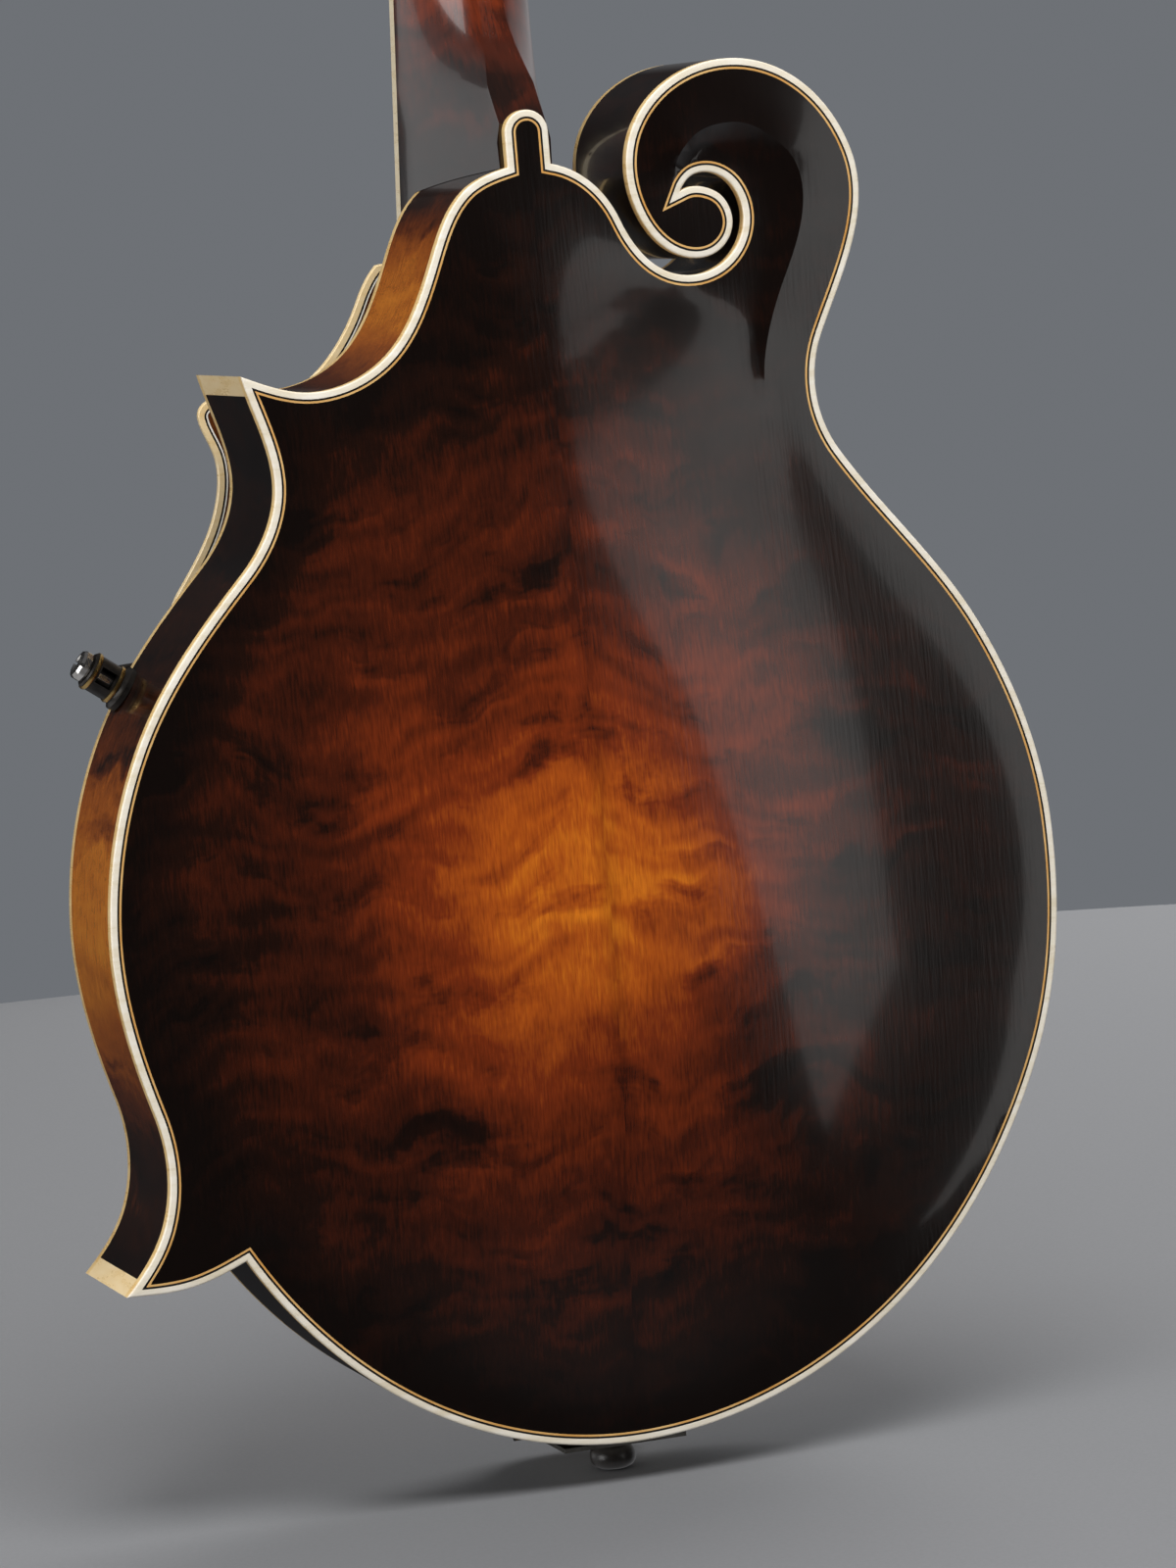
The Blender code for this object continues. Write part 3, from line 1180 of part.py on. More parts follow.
def make_tail_cover():
    """A thin crowned lid, closed at the tail end, that slides up off the base."""
    half = TAILPIECE_WIDTH / 2 + TAIL_COVER_MARGIN
    work = bmesh.new()
    start = TAIL_COVER_START
    rows = []
    # Along the lid: share of its length, of its width and of its crown
    sections = [(0.0, 0.93, 0.60), (0.05, 1.0, 0.90), (0.15, 1.0, 1.0), (0.5, 1.0, 1.0), (0.8, 0.99, 0.95),
                (0.93, 0.96, 0.90), (1.0, 0.92, 0.85)]
    for t, narrow, fall in sections:
        v = start + t * TAIL_COVER_LENGTH
        row = []
        for u in np.linspace(-1, 1, 9):
            crown = TAIL_COVER_CROWN * fall * (1 - abs(u) ** 3.2)
            row.append(work.verts.new((half * narrow * u, v - start, crown)))
        rows.append(row)
    for first, second in zip(rows[:-1], rows[1:]):
        for i in range(8):
            work.faces.new((first[i], first[i + 1], second[i + 1], second[i]))
    level = BODY_DEPTH / 2 + TAILPIECE_LIFT - TAIL_COVER_SINK
    seat = Matrix.Translation((0, start, level)) @ Matrix.Rotation(TAIL_COVER_SLOPE, 4, "X")
    mesh = mesh_from("tailpiece_cover", work)
    cover = object_from("tailpiece_cover", mesh, body_matrix() @ seat, finish=NICKEL)
    wall = cover.modifiers.new("wall", "SOLIDIFY")
    wall.thickness = TAIL_COVER_WALL
    wall.offset = 1.0
    wall.use_even_offset = True


def endpin_matrix():
    """Local Z runs up the endpin from its flat end at the origin."""
    return Matrix.Identity(4)


def endpin_hole():
    far = ENDPIN_LENGTH + ENDPIN_HOLE_PAST_RIM
    return cylinder_mesh("endpin_hole", ENDPIN_SHAFT_RADIUS + GAP, ENDPIN_HOLE_START, far, 16)


def make_endpin():
    head, shaft = ENDPIN_HEAD_RADIUS, ENDPIN_SHAFT_RADIUS
    seat = ENDPIN_LENGTH - TAILPIECE_STAND - TAILPIECE_STRIP - GAP
    tip = ENDPIN_LENGTH + ENDPIN_DEPTH
    profile = [(0.0, tip), (shaft * 0.85, tip), (shaft, seat), (shaft * 1.4, seat),
               (shaft * 1.1, seat * 0.88), (shaft * 1.3, seat * 0.78), (head * 0.95, seat * 0.6),
               (head, seat * 0.4), (head * 0.93, seat * 0.18), (head * 0.62, 0.0), (0.0, 0.0)]
    turned("endpin", profile, endpin_matrix(), EBONY, 16)


# Pickguard and its clamp


def guard_to_neck(loop):
    """The guard is drawn over the body and lies level with the fingerboard."""
    return [Vector((p.x, (p.y - joint_v()) / math.cos(NECK_ANGLE))) for p in loop]


def guard_v(value):
    """Up the body, from the guard's foot beside the bridge to its tip at the shoulder."""
    foot, tip = min(v for _, v, _ in GUARD), max(v for _, v, _ in GUARD)
    low, high = bridge_v() + GUARD_OFF_BRIDGE, mm_v(tip)
    return low + (value - foot) / (tip - foot) * (high - low)


def clamp_place():
    """A frame on the rib: local Z out along its normal."""
    path = PATHS["waist"]
    target = mm_v(CLAMP_V * 1000)
    i = min(range(len(path) - 1), key=lambda k: abs((path[k].y + path[k + 1].y) / 2 - target))
    a, b = path[i], path[i + 1]
    share = min(max((target - a.y) / (b.y - a.y), 0.0), 1.0)
    p = a.lerp(b, share)
    along = (b - a).normalized()
    out = Vector((along.y, -along.x))
    level = BODY_DEPTH / 2 - CLAMP_DROP
    x_axis = Vector((along.x, along.y, 0))
    z_axis = Vector((out.x, out.y, 0))
    y_axis = z_axis.cross(x_axis)
    turn = Matrix((x_axis, y_axis, z_axis)).transposed().to_4x4()
    return Matrix.Translation((p.x, p.y, level)) @ turn


def make_pickguard():
    loop = guard_to_neck(joined(curve_through(GUARD, math.radians(20), 0.03, (mm_x, guard_v))))
    high = BOARD_THICKNESS
    sheet = prism_mesh("pickguard", loop, high - GUARD_THICKNESS, high)
    object_from("pickguard", sheet, neck_matrix(), finish=TORTOISE)
    seat = clamp_place()
    from_neck = body_matrix().inverted() @ neck_matrix()
    bore, foot = CLAMP_SCREW_RADIUS + CLAMP_CLEARANCE, BARREL_RADIUS + BARREL_FOOT_FLARE
    rise = BARREL_FOOT_HEIGHT + BARREL_FOOT_FLARE / 2
    profile = [(bore, BARREL_LENGTH), (BARREL_RADIUS, BARREL_LENGTH), (BARREL_RADIUS, rise),
               (foot, BARREL_FOOT_HEIGHT), (foot, GAP), (bore, GAP), (bore, BARREL_LENGTH)]
    barrel = turned_mesh("barrel", profile, 16)
    bracket = object_from("pickguard_bracket", barrel, body_matrix() @ seat, finish=BLACKENED)
    side = BARREL_WINDOW_MARGIN
    window = box_mesh("window", (-side, -0.02, BARREL_WINDOW_START), (side, 0.0, BARREL_LENGTH - side))
    combine(bracket, [window], "DIFFERENCE")
    reach = seat @ Vector((0, 0, BARREL_LENGTH * 0.45))
    over = Vector((mm_x(GUARD_REST[0]), guard_v(GUARD_REST[1])))
    beneath = high - GUARD_THICKNESS - GAP - ARM_RADIUS
    under_guard = from_neck @ Vector((over.x, over.y - joint_v(), beneath))
    rim = Vector((reach.x, reach.y, reach.z + BARREL_RADIUS * 0.6))
    corner = Vector((reach.x, reach.y, under_guard.z - ARM_DROP))
    crook = under_guard.lerp(corner, 0.5) + Vector((0, 0, ARM_CROOK))
    arm = tube("arm", [under_guard, crook, corner, rim], ARM_RADIUS, BLACKENED)
    arm_mesh = finished_mesh(arm)
    weld = bmesh.new()
    weld.from_mesh(arm_mesh)
    bmesh.ops.remove_doubles(weld, verts=weld.verts, dist=1e-6)
    arm_mesh = mesh_from("arm", weld)
    combine(bracket, [arm_mesh], "UNION", body_matrix())
    radius, head = CLAMP_SCREW_RADIUS, CLAMP_HEAD_RADIUS
    crest = BARREL_LENGTH + GAP
    end, tip = crest + CLAMP_HEAD_HEIGHT, CLAMP_SCREW_TIP
    profile = [(0.0, end), (head * 0.85, end), (head, crest + CLAMP_HEAD_HEIGHT * 0.8), (head, crest),
               (radius, crest), (radius, tip), (0.0, tip)]
    turned("clamp_screw", profile, body_matrix() @ seat, BLACKENED, 14)


MAPLE_BACK = material("maple_back", (0.20, 0.055, 0.012), 0.22)
MAPLE_SIDE = material("maple_side", (0.13, 0.035, 0.010), 0.25)
NECK_MAPLE = material("neck_maple", (0.17, 0.045, 0.012), 0.25)
SPRUCE = material("spruce_top", (0.50, 0.22, 0.05), 0.25)
SPRUCE_IN = material("bare_spruce", (0.70, 0.50, 0.28), 0.6)
IVOROID = material("ivoroid", (0.80, 0.70, 0.50), 0.3)
EBONY = material("ebony", (0.02, 0.018, 0.016), 0.35)
BONE = material("bone", (0.82, 0.78, 0.66), 0.35)
STEEL = material("steel", (0.60, 0.60, 0.60), 0.3, 1.0)
BRASS = material("brass", (0.60, 0.42, 0.16), 0.3, 1.0)
NICKEL = material("nickel", (0.66, 0.62, 0.55), 0.25, 1.0)
BLACK_LACQUER = material("black_lacquer", (0.012, 0.011, 0.010), 0.15)
BLACK_PLASTIC = material("black_plastic", (0.015, 0.015, 0.015), 0.3)
BLACKENED = material("blackened_metal", (0.03, 0.028, 0.026), 0.35, 0.6)
TORTOISE = material("tortoise", (0.09, 0.03, 0.015), 0.2)


def main():
    clear_scene()
    make_plates()
    make_bindings()
    make_ribs()
    make_blocks()
    make_caps()
    make_tone_bars()
    make_neck()
    make_headstock()
    make_fingerboard()
    make_tuners()
    make_bridge()
    make_tailpiece()
    make_endpin()
    make_pickguard()
    make_strings()


main()
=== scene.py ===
"""The looks of an f-style mandolin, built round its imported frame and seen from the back.

World axes: +X treble side, -X bass side (the scroll), -Y front, +Y back, +Z up the neck. Metres throughout.
Pieces of the body are drawn in (x, v, n): v up from the tail edge, n out of the front.
"""

import math

import bmesh
import bpy
import numpy as np
from mathutils import Matrix, Vector
from mathutils.geometry import delaunay_2d_cdt


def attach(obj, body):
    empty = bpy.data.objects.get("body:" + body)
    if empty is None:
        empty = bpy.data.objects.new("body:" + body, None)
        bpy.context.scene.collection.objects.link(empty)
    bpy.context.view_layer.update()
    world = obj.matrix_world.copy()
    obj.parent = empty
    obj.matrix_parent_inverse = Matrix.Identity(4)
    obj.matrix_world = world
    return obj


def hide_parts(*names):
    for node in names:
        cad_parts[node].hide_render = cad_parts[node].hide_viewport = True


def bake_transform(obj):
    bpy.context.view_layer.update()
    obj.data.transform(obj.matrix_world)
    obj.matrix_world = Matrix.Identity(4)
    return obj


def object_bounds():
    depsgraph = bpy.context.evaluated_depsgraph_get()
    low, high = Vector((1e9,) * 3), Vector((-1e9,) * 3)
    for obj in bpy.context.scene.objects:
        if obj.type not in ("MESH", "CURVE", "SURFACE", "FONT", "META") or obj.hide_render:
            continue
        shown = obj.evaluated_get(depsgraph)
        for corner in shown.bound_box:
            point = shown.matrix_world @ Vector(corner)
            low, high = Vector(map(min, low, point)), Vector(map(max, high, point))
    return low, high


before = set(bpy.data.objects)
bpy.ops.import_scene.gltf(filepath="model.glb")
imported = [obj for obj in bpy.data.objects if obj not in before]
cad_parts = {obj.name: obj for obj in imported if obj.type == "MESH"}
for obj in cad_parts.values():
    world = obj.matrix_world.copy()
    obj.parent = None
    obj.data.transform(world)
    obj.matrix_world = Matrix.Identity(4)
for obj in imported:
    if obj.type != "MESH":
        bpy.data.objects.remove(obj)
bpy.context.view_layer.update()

# Sizes of the body
BODY_WIDTH = 0.254
BODY_LENGTH = 0.349
BODY_DEPTH = 0.0443
GAP = 0.0003
BINDING_WIDTH = 0.0017
BINDING_HEIGHT = 0.003
BINDING_ROUND = 0.0005
LINE_WIDTH = 0.00052
PLATE_CENTRE = 0.0050
BACK_RISE = 0.0150
TOP_RISE = 0.0155
ARCH_FULLNESS = 1.3
SCOOP = 1.3
GROOVE_DEPTH = 0.0012
GROOVE_WIDTH = 0.0070
RIDGE_RISE = 0.0030
RIB_THICKNESS = 0.0020
LINING_WIDTH = 0.0050
LINING_HEIGHT = 0.0060
CAP_LENGTH = 0.0053
BUTTON_HEIGHT = 0.0140
ENDPIN_LENGTH = 0.0105
NET = 0.0030
SOUND_HOLE_LENGTH = 0.062
SOUND_HOLE_X = 0.052
SOUND_HOLE_BELOW_BRIDGE = 0.0089
SOUND_HOLE_SWAY = 0.0075
SOUND_HOLE_LEAN = 0.0022

# Sizes of the neck and headstock
SCALE_LENGTH = 0.3524
JOINT_FRET = 15
FRET_COUNT = 29
NECK_ANGLE = math.radians(6.3)
HEAD_ANGLE = math.radians(15.0)
BOARD_RISE = 0.0082
BOARD_THICKNESS = 0.0042
BOARD_WIDTH_NUT = 0.0285
BOARD_WIDTH_JOINT = 0.0372
BOARD_BINDING = 0.0013
NECK_DEPTH_NUT = 0.0155
NECK_DEPTH_HEEL = 0.0185
HEEL_LENGTH = 0.070
HEEL_FOOT = 0.010
HEEL_FULL = 0.012
HEEL_FLARE = 1.8
FRET_WIDTH = 0.0012
FRET_HEIGHT = 0.0009
NUT_THICKNESS = 0.0045
NUT_HEIGHT = 0.0064
HEAD_LENGTH = 0.165
HEAD_WIDTH = 0.084
HEAD_THICKNESS = 0.0145
OVERLAY_THICKNESS = 0.0018
ROD_RADIUS = 0.0024
ROD_END = 0.008
ROD_NUT_LENGTH = 0.007
ROD_CHANNEL_WIDTH = 0.006
ROD_CHANNEL_DEPTH = 0.0085
COVER_WIDTH = 0.017
COVER_LENGTH = 0.034
COVER_THICKNESS = 0.0018

# Sizes of the tuners
TUNER_SPACING = 0.0235
TUNER_FIRST = 0.040
TUNER_SIDE = 0.0205
TUNERS = [(side, TUNER_FIRST + k * TUNER_SPACING) for side in (-1, 1) for k in range(4)]
POST_RADIUS = 0.0030
POST_HOLE = POST_RADIUS + 0.0004
POST_STAND = 0.0125
GEAR_RADIUS = 0.0052
GEAR_THICKNESS = 0.0032
WORM_RADIUS = 0.0020
WORM_HALF_LENGTH = 0.0042
SHAFT_RADIUS = 0.0012
TUNER_PLATE_WIDTH = 0.0125
TUNER_PLATE_THICKNESS = 0.0012
KEY_REACH = 0.0150
KEY_BUTTON_LENGTH = 0.0110
KEY_BUTTON_WIDTH = 0.0140
KEY_BUTTON_THICKNESS = 0.0075

# Sizes of the strings, bridge, tailpiece, pickguard and clamp
BRIDGE_COMPENSATION = 0.0020
STRING_CLEARANCE_NUT = 0.0012
STRING_CLEARANCE_JOINT = 0.0030
STRING_SPREAD_NUT = 0.0235
STRING_SPREAD_BRIDGE = 0.0410
STRING_SPREAD_HOOKS = 0.0262
PAIR_GAP = 0.0022
COIL_TURNS = 2.6
STRING_RADII = (0.00050, 0.00050, 0.00033, 0.00033, 0.00020, 0.00020, 0.00014, 0.00014)
BRIDGE_LENGTH = 0.114
BRIDGE_BASE_HEIGHT = 0.0056
BRIDGE_BASE_WIDTH = 0.0110
BRIDGE_CREST = 0.04219
BRIDGE_CREST_WIDTH = 0.084
BRIDGE_TIP_SHARE = 0.36
SADDLE_LENGTH = 0.106
SADDLE_WIDTH = 0.0060
SADDLE_HEIGHT = 0.0078
STUD_SPACING = 0.072
STUD_RADIUS = 0.0016
STUD_STAND = 0.0045
WHEEL_RADIUS = 0.0078
WHEEL_THICKNESS = 0.0026
TAILPIECE_WIDTH = 0.033
TAILPIECE_STRIP = 0.0012
TAILPIECE_LIFT = 0.0042
TAILPIECE_STAND = 0.0014
HOOK_V = 0.021
HOOK_HEIGHT = 0.0035
TAIL_COVER_LENGTH = 0.082
TAIL_COVER_START = -0.0055
TAIL_COVER_CROWN = 0.0070
TAIL_COVER_WALL = 0.0008
TAIL_COVER_SLOPE = math.radians(9.5)
ENDPIN_HEAD_RADIUS = 0.0060
ENDPIN_SHAFT_RADIUS = 0.0036
GUARD_THICKNESS = 0.0018
GUARD_OFF_BRIDGE = 0.0102
GUARD_REST = (76.0, 206.0)
BARREL_RADIUS = 0.0048
BARREL_LENGTH = 0.0110
CLAMP_SCREW_RADIUS = 0.0022
CLAMP_HEAD_RADIUS = 0.0040
ARM_RADIUS = 0.0014
CLAMP_PLACE = (0.107224, -0.01565, 0.2135)
CLAMP_AXIS = (0.808192, 0.0, 0.588918)

DRAWN_WIDTH, DRAWN_LENGTH = 254.0, 349.0
DRAWN_HEAD_WIDTH, DRAWN_HEAD_LENGTH = 84.0, 165.0

# Stations (x, v, heading in degrees), with arc-like curves between them and the wood on the left hand
SHOULDER_BASS = [(-5.7, 326.4, 193), (-22.8, 310.9, 248), (-36.6, 296.0, 196), (-52.9, 301.2, 127),
                 (-53.6, 316.7, 57), (-43.8, 320.8, -14), (-39.4, 316.8, -61)]
SCROLL = [(-39.4, 316.8, 151), (-48.4, 316.2, 208), (-52.7, 309.6, 262), (-49.6, 301.8, 319),
          (-38.9, 300.2, 19), (-26.9, 314.1, 72), (-28.4, 334.5, 119), (-46.7, 348.2, 166),
          (-70.5, 344.4, 212), (-86.1, 323.8, 252), (-74.2, 277.5, 295)]
BASS_SIDE = [(-74.2, 277.5, 295), (-76.6, 247.6, 237), (-110.9, 199.8, 242), (-126.7, 146.0, 267),
             (-117.2, 84.1, 293), (-75.9, 27.5, 321), (0.0, 0.0, 0)]
TREBLE_TAIL = [(0.0, 0.0, 0), (46.1, 11.0, 26), (98.3, 60.2, 59)]
LOWER_POINT = [(98.3, 60.2, -23), (112.6, 55.5, -10), (129.8, 55.2, 2)]
WAIST = [(129.8, 55.2, 135), (118.4, 71.4, 110), (118.2, 99.5, 73), (125.4, 146.0, 93), (113.7, 191.8, 116),
         (83.7, 231.0, 134), (73.6, 249.0, 101), (79.5, 280.6, 77)]
SHOULDER_TREBLE = [(79.5, 280.6, 204), (60.3, 275.0, 179), (42.6, 281.1, 143), (28.9, 301.7, 113),
                   (17.8, 321.3, 139), (5.7, 326.4, 167)]
HEAD_RIGHT = [(14.2, 0, 88), (20.5, 15, 50), (31.0, 22.5, 20)]
HEAD_TREBLE = [(31.0, 22.5, 150), (28.4, 40, 92), (31.5, 105, 82), (45.5, 146, 62)]
HEAD_TOP = [(45.5, 146, 190), (24.0, 140, 178), (6.0, 149, 130), (-8.0, 163, 155), (-27.0, 161, 218),
            (-38.5, 143, 262), (-31.5, 128.5, 340), (-22.5, 136, 85), (-24.0, 142.5, 118)]
HEAD_BASS = [(-24.0, 142.5, -35), (-19.5, 137, -92), (-23.5, 126.5, -125), (-31.5, 119.5, 228),
             (-32.0, 110, 272), (-28.4, 40, 268), (-31.0, 22.5, 210)]
HEAD_LEFT = [(-31.0, 22.5, -20), (-20.5, 15, -50), (-14.2, 0, -88)]
GUARD = [(21.5, 304.0, 270), (22.0, 195.0, 270), (30.0, 187.0, 0), (62.0, 192.0, 22), (86.5, 212.0, 80),
         (83.6, 223.5, 124), (72.6, 243.3, 107), (71.4, 257.3, 78), (75.3, 268.0, 80), (70.0, 273.2, 180),
         (56.0, 271.5, 172), (41.5, 278.7, 135), (31.0, 294.8, 113), (25.5, 303.5, 135)]
RIDGE = [(-38.3, 322.2, 95), (-43.4, 330.5, 145), (-53.5, 333.0, 180), (-67.3, 325.7, 225),
         (-71.6, 313.0, 273),
         (-65.2, 293.2, 296), (-58.2, 274.4, 283), (-57.0, 257.6, 270)]


def mm_x(value):
    return value / DRAWN_WIDTH * BODY_WIDTH


def mm_v(value):
    return value / DRAWN_LENGTH * BODY_LENGTH


JOINT_V = mm_v(326.4)
BODY = Matrix(((1, 0, 0, 0), (0, 0, -1, 0), (0, 1, 0, ENDPIN_LENGTH), (0, 0, 0, 1)))
NECK = (BODY @ Matrix.Translation((0, JOINT_V, BODY_DEPTH / 2 + BOARD_RISE))
        @ Matrix.Rotation(-NECK_ANGLE, 4, "X"))


def fret_place(fret):
    """Distance of a fret up the neck from the body joint."""
    return SCALE_LENGTH * (2 ** (-fret / 12) - 2 ** (-JOINT_FRET / 12))


NUT = fret_place(0)
HEAD = NECK @ Matrix.Translation((0, NUT, 0)) @ Matrix.Rotation(-HEAD_ANGLE, 4, "X")
BRIDGE_S = NUT - SCALE_LENGTH - BRIDGE_COMPENSATION
BRIDGE_V = JOINT_V + BRIDGE_S * math.cos(NECK_ANGLE)
STRING_SLOPE = (STRING_CLEARANCE_JOINT - STRING_CLEARANCE_NUT) / NUT
STRING_LEVEL = BOARD_THICKNESS + FRET_HEIGHT + STRING_CLEARANCE_NUT + STRING_SLOPE * (NUT - BRIDGE_S)
SADDLE_TOP = (BODY.inverted() @ NECK @ Vector((0, BRIDGE_S, STRING_LEVEL))).z
WHEEL_TOP = SADDLE_TOP - SADDLE_HEIGHT - GAP

# Curves


def curve_through(stations, spacing=0.0018, scale=(mm_x, mm_v)):
    """Points along the arc-like curves that join the stations."""
    points = []
    for (x0, v0, h0), (x1, v1, h1) in zip(stations[:-1], stations[1:]):
        a = Vector((scale[0](x0), scale[1](v0)))
        b = Vector((scale[0](x1), scale[1](v1)))
        h0, h1 = math.radians(h0), math.radians(h1)
        chord = b - a
        along = math.atan2(chord.y, chord.x)
        turn = abs(math.remainder(h0 - along, math.tau)) + abs(math.remainder(h1 - along, math.tau))
        handle = chord.length * 2 / 3 / (1 + math.cos(turn / 2))
        a1 = a + handle * Vector((math.cos(h0), math.sin(h0)))
        b1 = b - handle * Vector((math.cos(h1), math.sin(h1)))
        count = max(4, math.ceil(chord.length / spacing), math.ceil(turn / math.radians(6)))
        for i in range(count):
            t = i / count
            r = 1 - t
            points.append(r ** 3 * a + 3 * r * r * t * a1 + 3 * r * t * t * b1 + t ** 3 * b)
    points.append(b)
    return points


def joined(*paths):
    """One closed loop from paths that follow each other."""
    loop = []
    for path in paths:
        loop += [p for p in path if not loop or (p - loop[-1]).length > 1e-6]
    if (loop[0] - loop[-1]).length < 1e-6:
        loop.pop()
    return loop


def inset(points, distance, closed=True, mitre=2.6):
    """The path moved to its left. Beside a sharp corner that closes in, the points gather at its mitre."""
    moved, corners = [], []
    count = len(points)
    for i, p in enumerate(points):
        before = points[i - 1] if closed or i else p
        after = points[(i + 1) % count] if closed or i + 1 < count else p
        t0 = (p - before).normalized() if (p - before).length else (after - p).normalized()
        t1 = (after - p).normalized() if (after - p).length else t0
        normal = Vector((-t0.y - t1.y, t0.x + t1.x))
        if normal.length < 1e-9:
            normal = Vector((-t0.y, t0.x))
        normal.normalize()
        cosine = max(normal.dot(Vector((-t0.y, t0.x))), 0.12)
        turn = math.atan2(t0.x * t1.y - t0.y * t1.x, t0.dot(t1))
        if turn * distance > 0 and abs(turn) > math.radians(35):
            corners.append((i, abs(turn)))
        else:
            cosine = max(cosine, 1 / mitre)
        moved.append(p + normal * distance / cosine)
    for i, turn in corners:
        reach = abs(distance) * math.tan(min(turn, math.radians(165)) / 2)
        for step in (-1, 1):
            j, run = i, 0.0
            while True:
                k = j + step
                if not closed and not 0 <= k < count:
                    break
                k %= count
                run += (points[k] - points[j]).length
                if run > reach:
                    break
                moved[k] = moved[i]
                j = k
    return moved


def path_length(path):
    return sum((b - a).length for a, b in zip(path[:-1], path[1:]))


def stretch(points, start, end):
    """The part of a path between two distances along it; a negative end counts from the far end."""
    lengths = np.concatenate([[0.0], np.cumsum([(b - a).length for a, b in zip(points[:-1], points[1:])])])
    if end <= 0:
        end += lengths[-1]

    def at(d):
        i = min(int(np.searchsorted(lengths, d + 1e-12, side="right")) - 1, len(points) - 2)
        share = (d - lengths[i]) / (lengths[i + 1] - lengths[i])
        return points[i].lerp(points[i + 1], min(share, 1.0))

    middle = [p for p, d in zip(points, lengths) if start + 1e-4 < d < end - 1e-4]
    return [at(start)] + middle + [at(end)]


def inside(px, pv, loop):
    """Which of many places lie inside a closed loop."""
    result = np.zeros(px.shape, bool)
    for a, b in zip(loop, loop[1:] + loop[:1]):
        if a.y == b.y:
            continue
        crosses = (a.y > pv) != (b.y > pv)
        result ^= crosses & (px < (b.x - a.x) * (pv - a.y) / (b.y - a.y) + a.x)
    return result


PATHS = {
    "shoulder_bass": curve_through(SHOULDER_BASS),
    "scroll": curve_through(SCROLL),
    "bass_side": curve_through(BASS_SIDE),
    "treble_tail": curve_through(TREBLE_TAIL),
    "lower_point": curve_through(LOWER_POINT),
    "waist": curve_through(WAIST),
    "shoulder_treble": curve_through(SHOULDER_TREBLE),
}
BUTTON_HALF = mm_x(5.7)
BUTTON = [Vector((BUTTON_HALF * math.cos(a),
                  JOINT_V + BUTTON_HEIGHT - BUTTON_HALF + BUTTON_HALF * math.sin(a)))
          for a in np.linspace(0, math.pi, 33)]
OUTLINE = joined(*PATHS.values())
BACK_OUTLINE = joined(*PATHS.values(), BUTTON)

# Pieces


def mesh_of(name, verts, faces):
    mesh = bpy.data.meshes.new(name)
    mesh.from_pydata([tuple(v) for v in verts], [], [tuple(f) for f in faces])
    return mesh


def linked(name, data):
    """A new object in the scene."""
    thing = bpy.data.objects.new(name, data)
    bpy.context.scene.collection.objects.link(thing)
    return thing


def piece(name, verts, faces, finish, matrix=None, nodes=(), body="root", smooth=35.0, slot=None):
    """A piece in the frame that rides a body and stands for CAD nodes."""
    return placed(name, mesh_of(name, verts, faces), finish, matrix, nodes, body, smooth)


def placed(name, mesh, finish, matrix=None, nodes=(), body="root", smooth=35.0):
    """The same, from a finished mesh."""
    if matrix is not None:
        mesh.transform(matrix)
    tidied(mesh)
    mesh.shade_smooth()
    mesh.set_sharp_from_angle(angle=math.radians(smooth))
    for one in finish if isinstance(finish, (list, tuple)) else [finish]:
        mesh.materials.append(one)
    thing = linked(name, mesh)
    if body:
        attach(thing, body)
    if nodes:
        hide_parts(*nodes)
    return thing


def sweep(rings, closed=False, caps=True):
    """Vertices and faces through rings of equal length, each a closed section."""
    count = len(rings[0])
    verts = [p for ring in rings for p in ring]
    faces = []
    last = len(rings) if closed else len(rings) - 1
    for k in range(last):
        a, b = k * count, (k + 1) % len(rings) * count
        for i in range(count):
            j = (i + 1) % count
            faces.append((a + i, a + j, b + j, b + i))
    if caps and not closed:
        faces.append(tuple(range(count)))
        faces.append(tuple(range((len(rings) - 1) * count, len(rings) * count))[::-1])
    return verts, faces


def prism(loop, low, high):
    """A flat outline made solid between two levels."""
    count = len(loop)
    verts = [(p[0], p[1], low) for p in loop] + [(p[0], p[1], high) for p in loop]
    faces = [(i, (i + 1) % count, count + (i + 1) % count, count + i) for i in range(count)]
    faces += [tuple(range(count))[::-1], tuple(range(count, 2 * count))]
    return verts, faces


def edge_strip(path, section, closed=True):
    """A strip along a path; each corner of its section is (distance in from the path, n)."""
    lines = [(inset(path, d, closed), n) for d, n in section]
    rings = [[(line[i].x, line[i].y, n) for line, n in lines] for i in range(len(path))]
    return sweep(rings, closed)


def solid(verts, faces):
    """A closed mesh, facing out, for cutting and joining."""
    return tidied(mesh_of("solid", verts, faces))


def tidied(mesh):
    """The mesh with its doubles merged and its faces turned out."""
    work = bmesh.new()
    work.from_mesh(mesh)
    bmesh.ops.remove_doubles(work, verts=work.verts, dist=1e-6)
    bmesh.ops.recalc_face_normals(work, faces=work.faces)
    work.to_mesh(mesh)
    work.free()
    return mesh


def worked(mesh, tools, operation="DIFFERENCE"):
    """The mesh with each tool cut from it or joined to it."""
    thing = linked("work", mesh)
    helpers = [linked("tool", tool) for tool in tools]
    for helper in helpers:
        step = thing.modifiers.new("step", "BOOLEAN")
        step.object = helper
        step.operation = operation
        step.solver = "EXACT"
    result = bpy.data.meshes.new_from_object(thing.evaluated_get(bpy.context.evaluated_depsgraph_get()))
    for one in helpers + [thing]:
        bpy.data.objects.remove(one)
    result.materials.clear()
    return result


def merged(meshes):
    """Separate meshes in one."""
    work = bmesh.new()
    for mesh in meshes:
        work.from_mesh(mesh)
    result = bpy.data.meshes.new("merged")
    work.to_mesh(result)
    work.free()
    return result


def circle(count):
    """Angles round a full turn."""
    return np.linspace(0, math.tau, count, endpoint=False)


def polar(radius, angle, z):
    return radius * math.cos(angle), radius * math.sin(angle), z


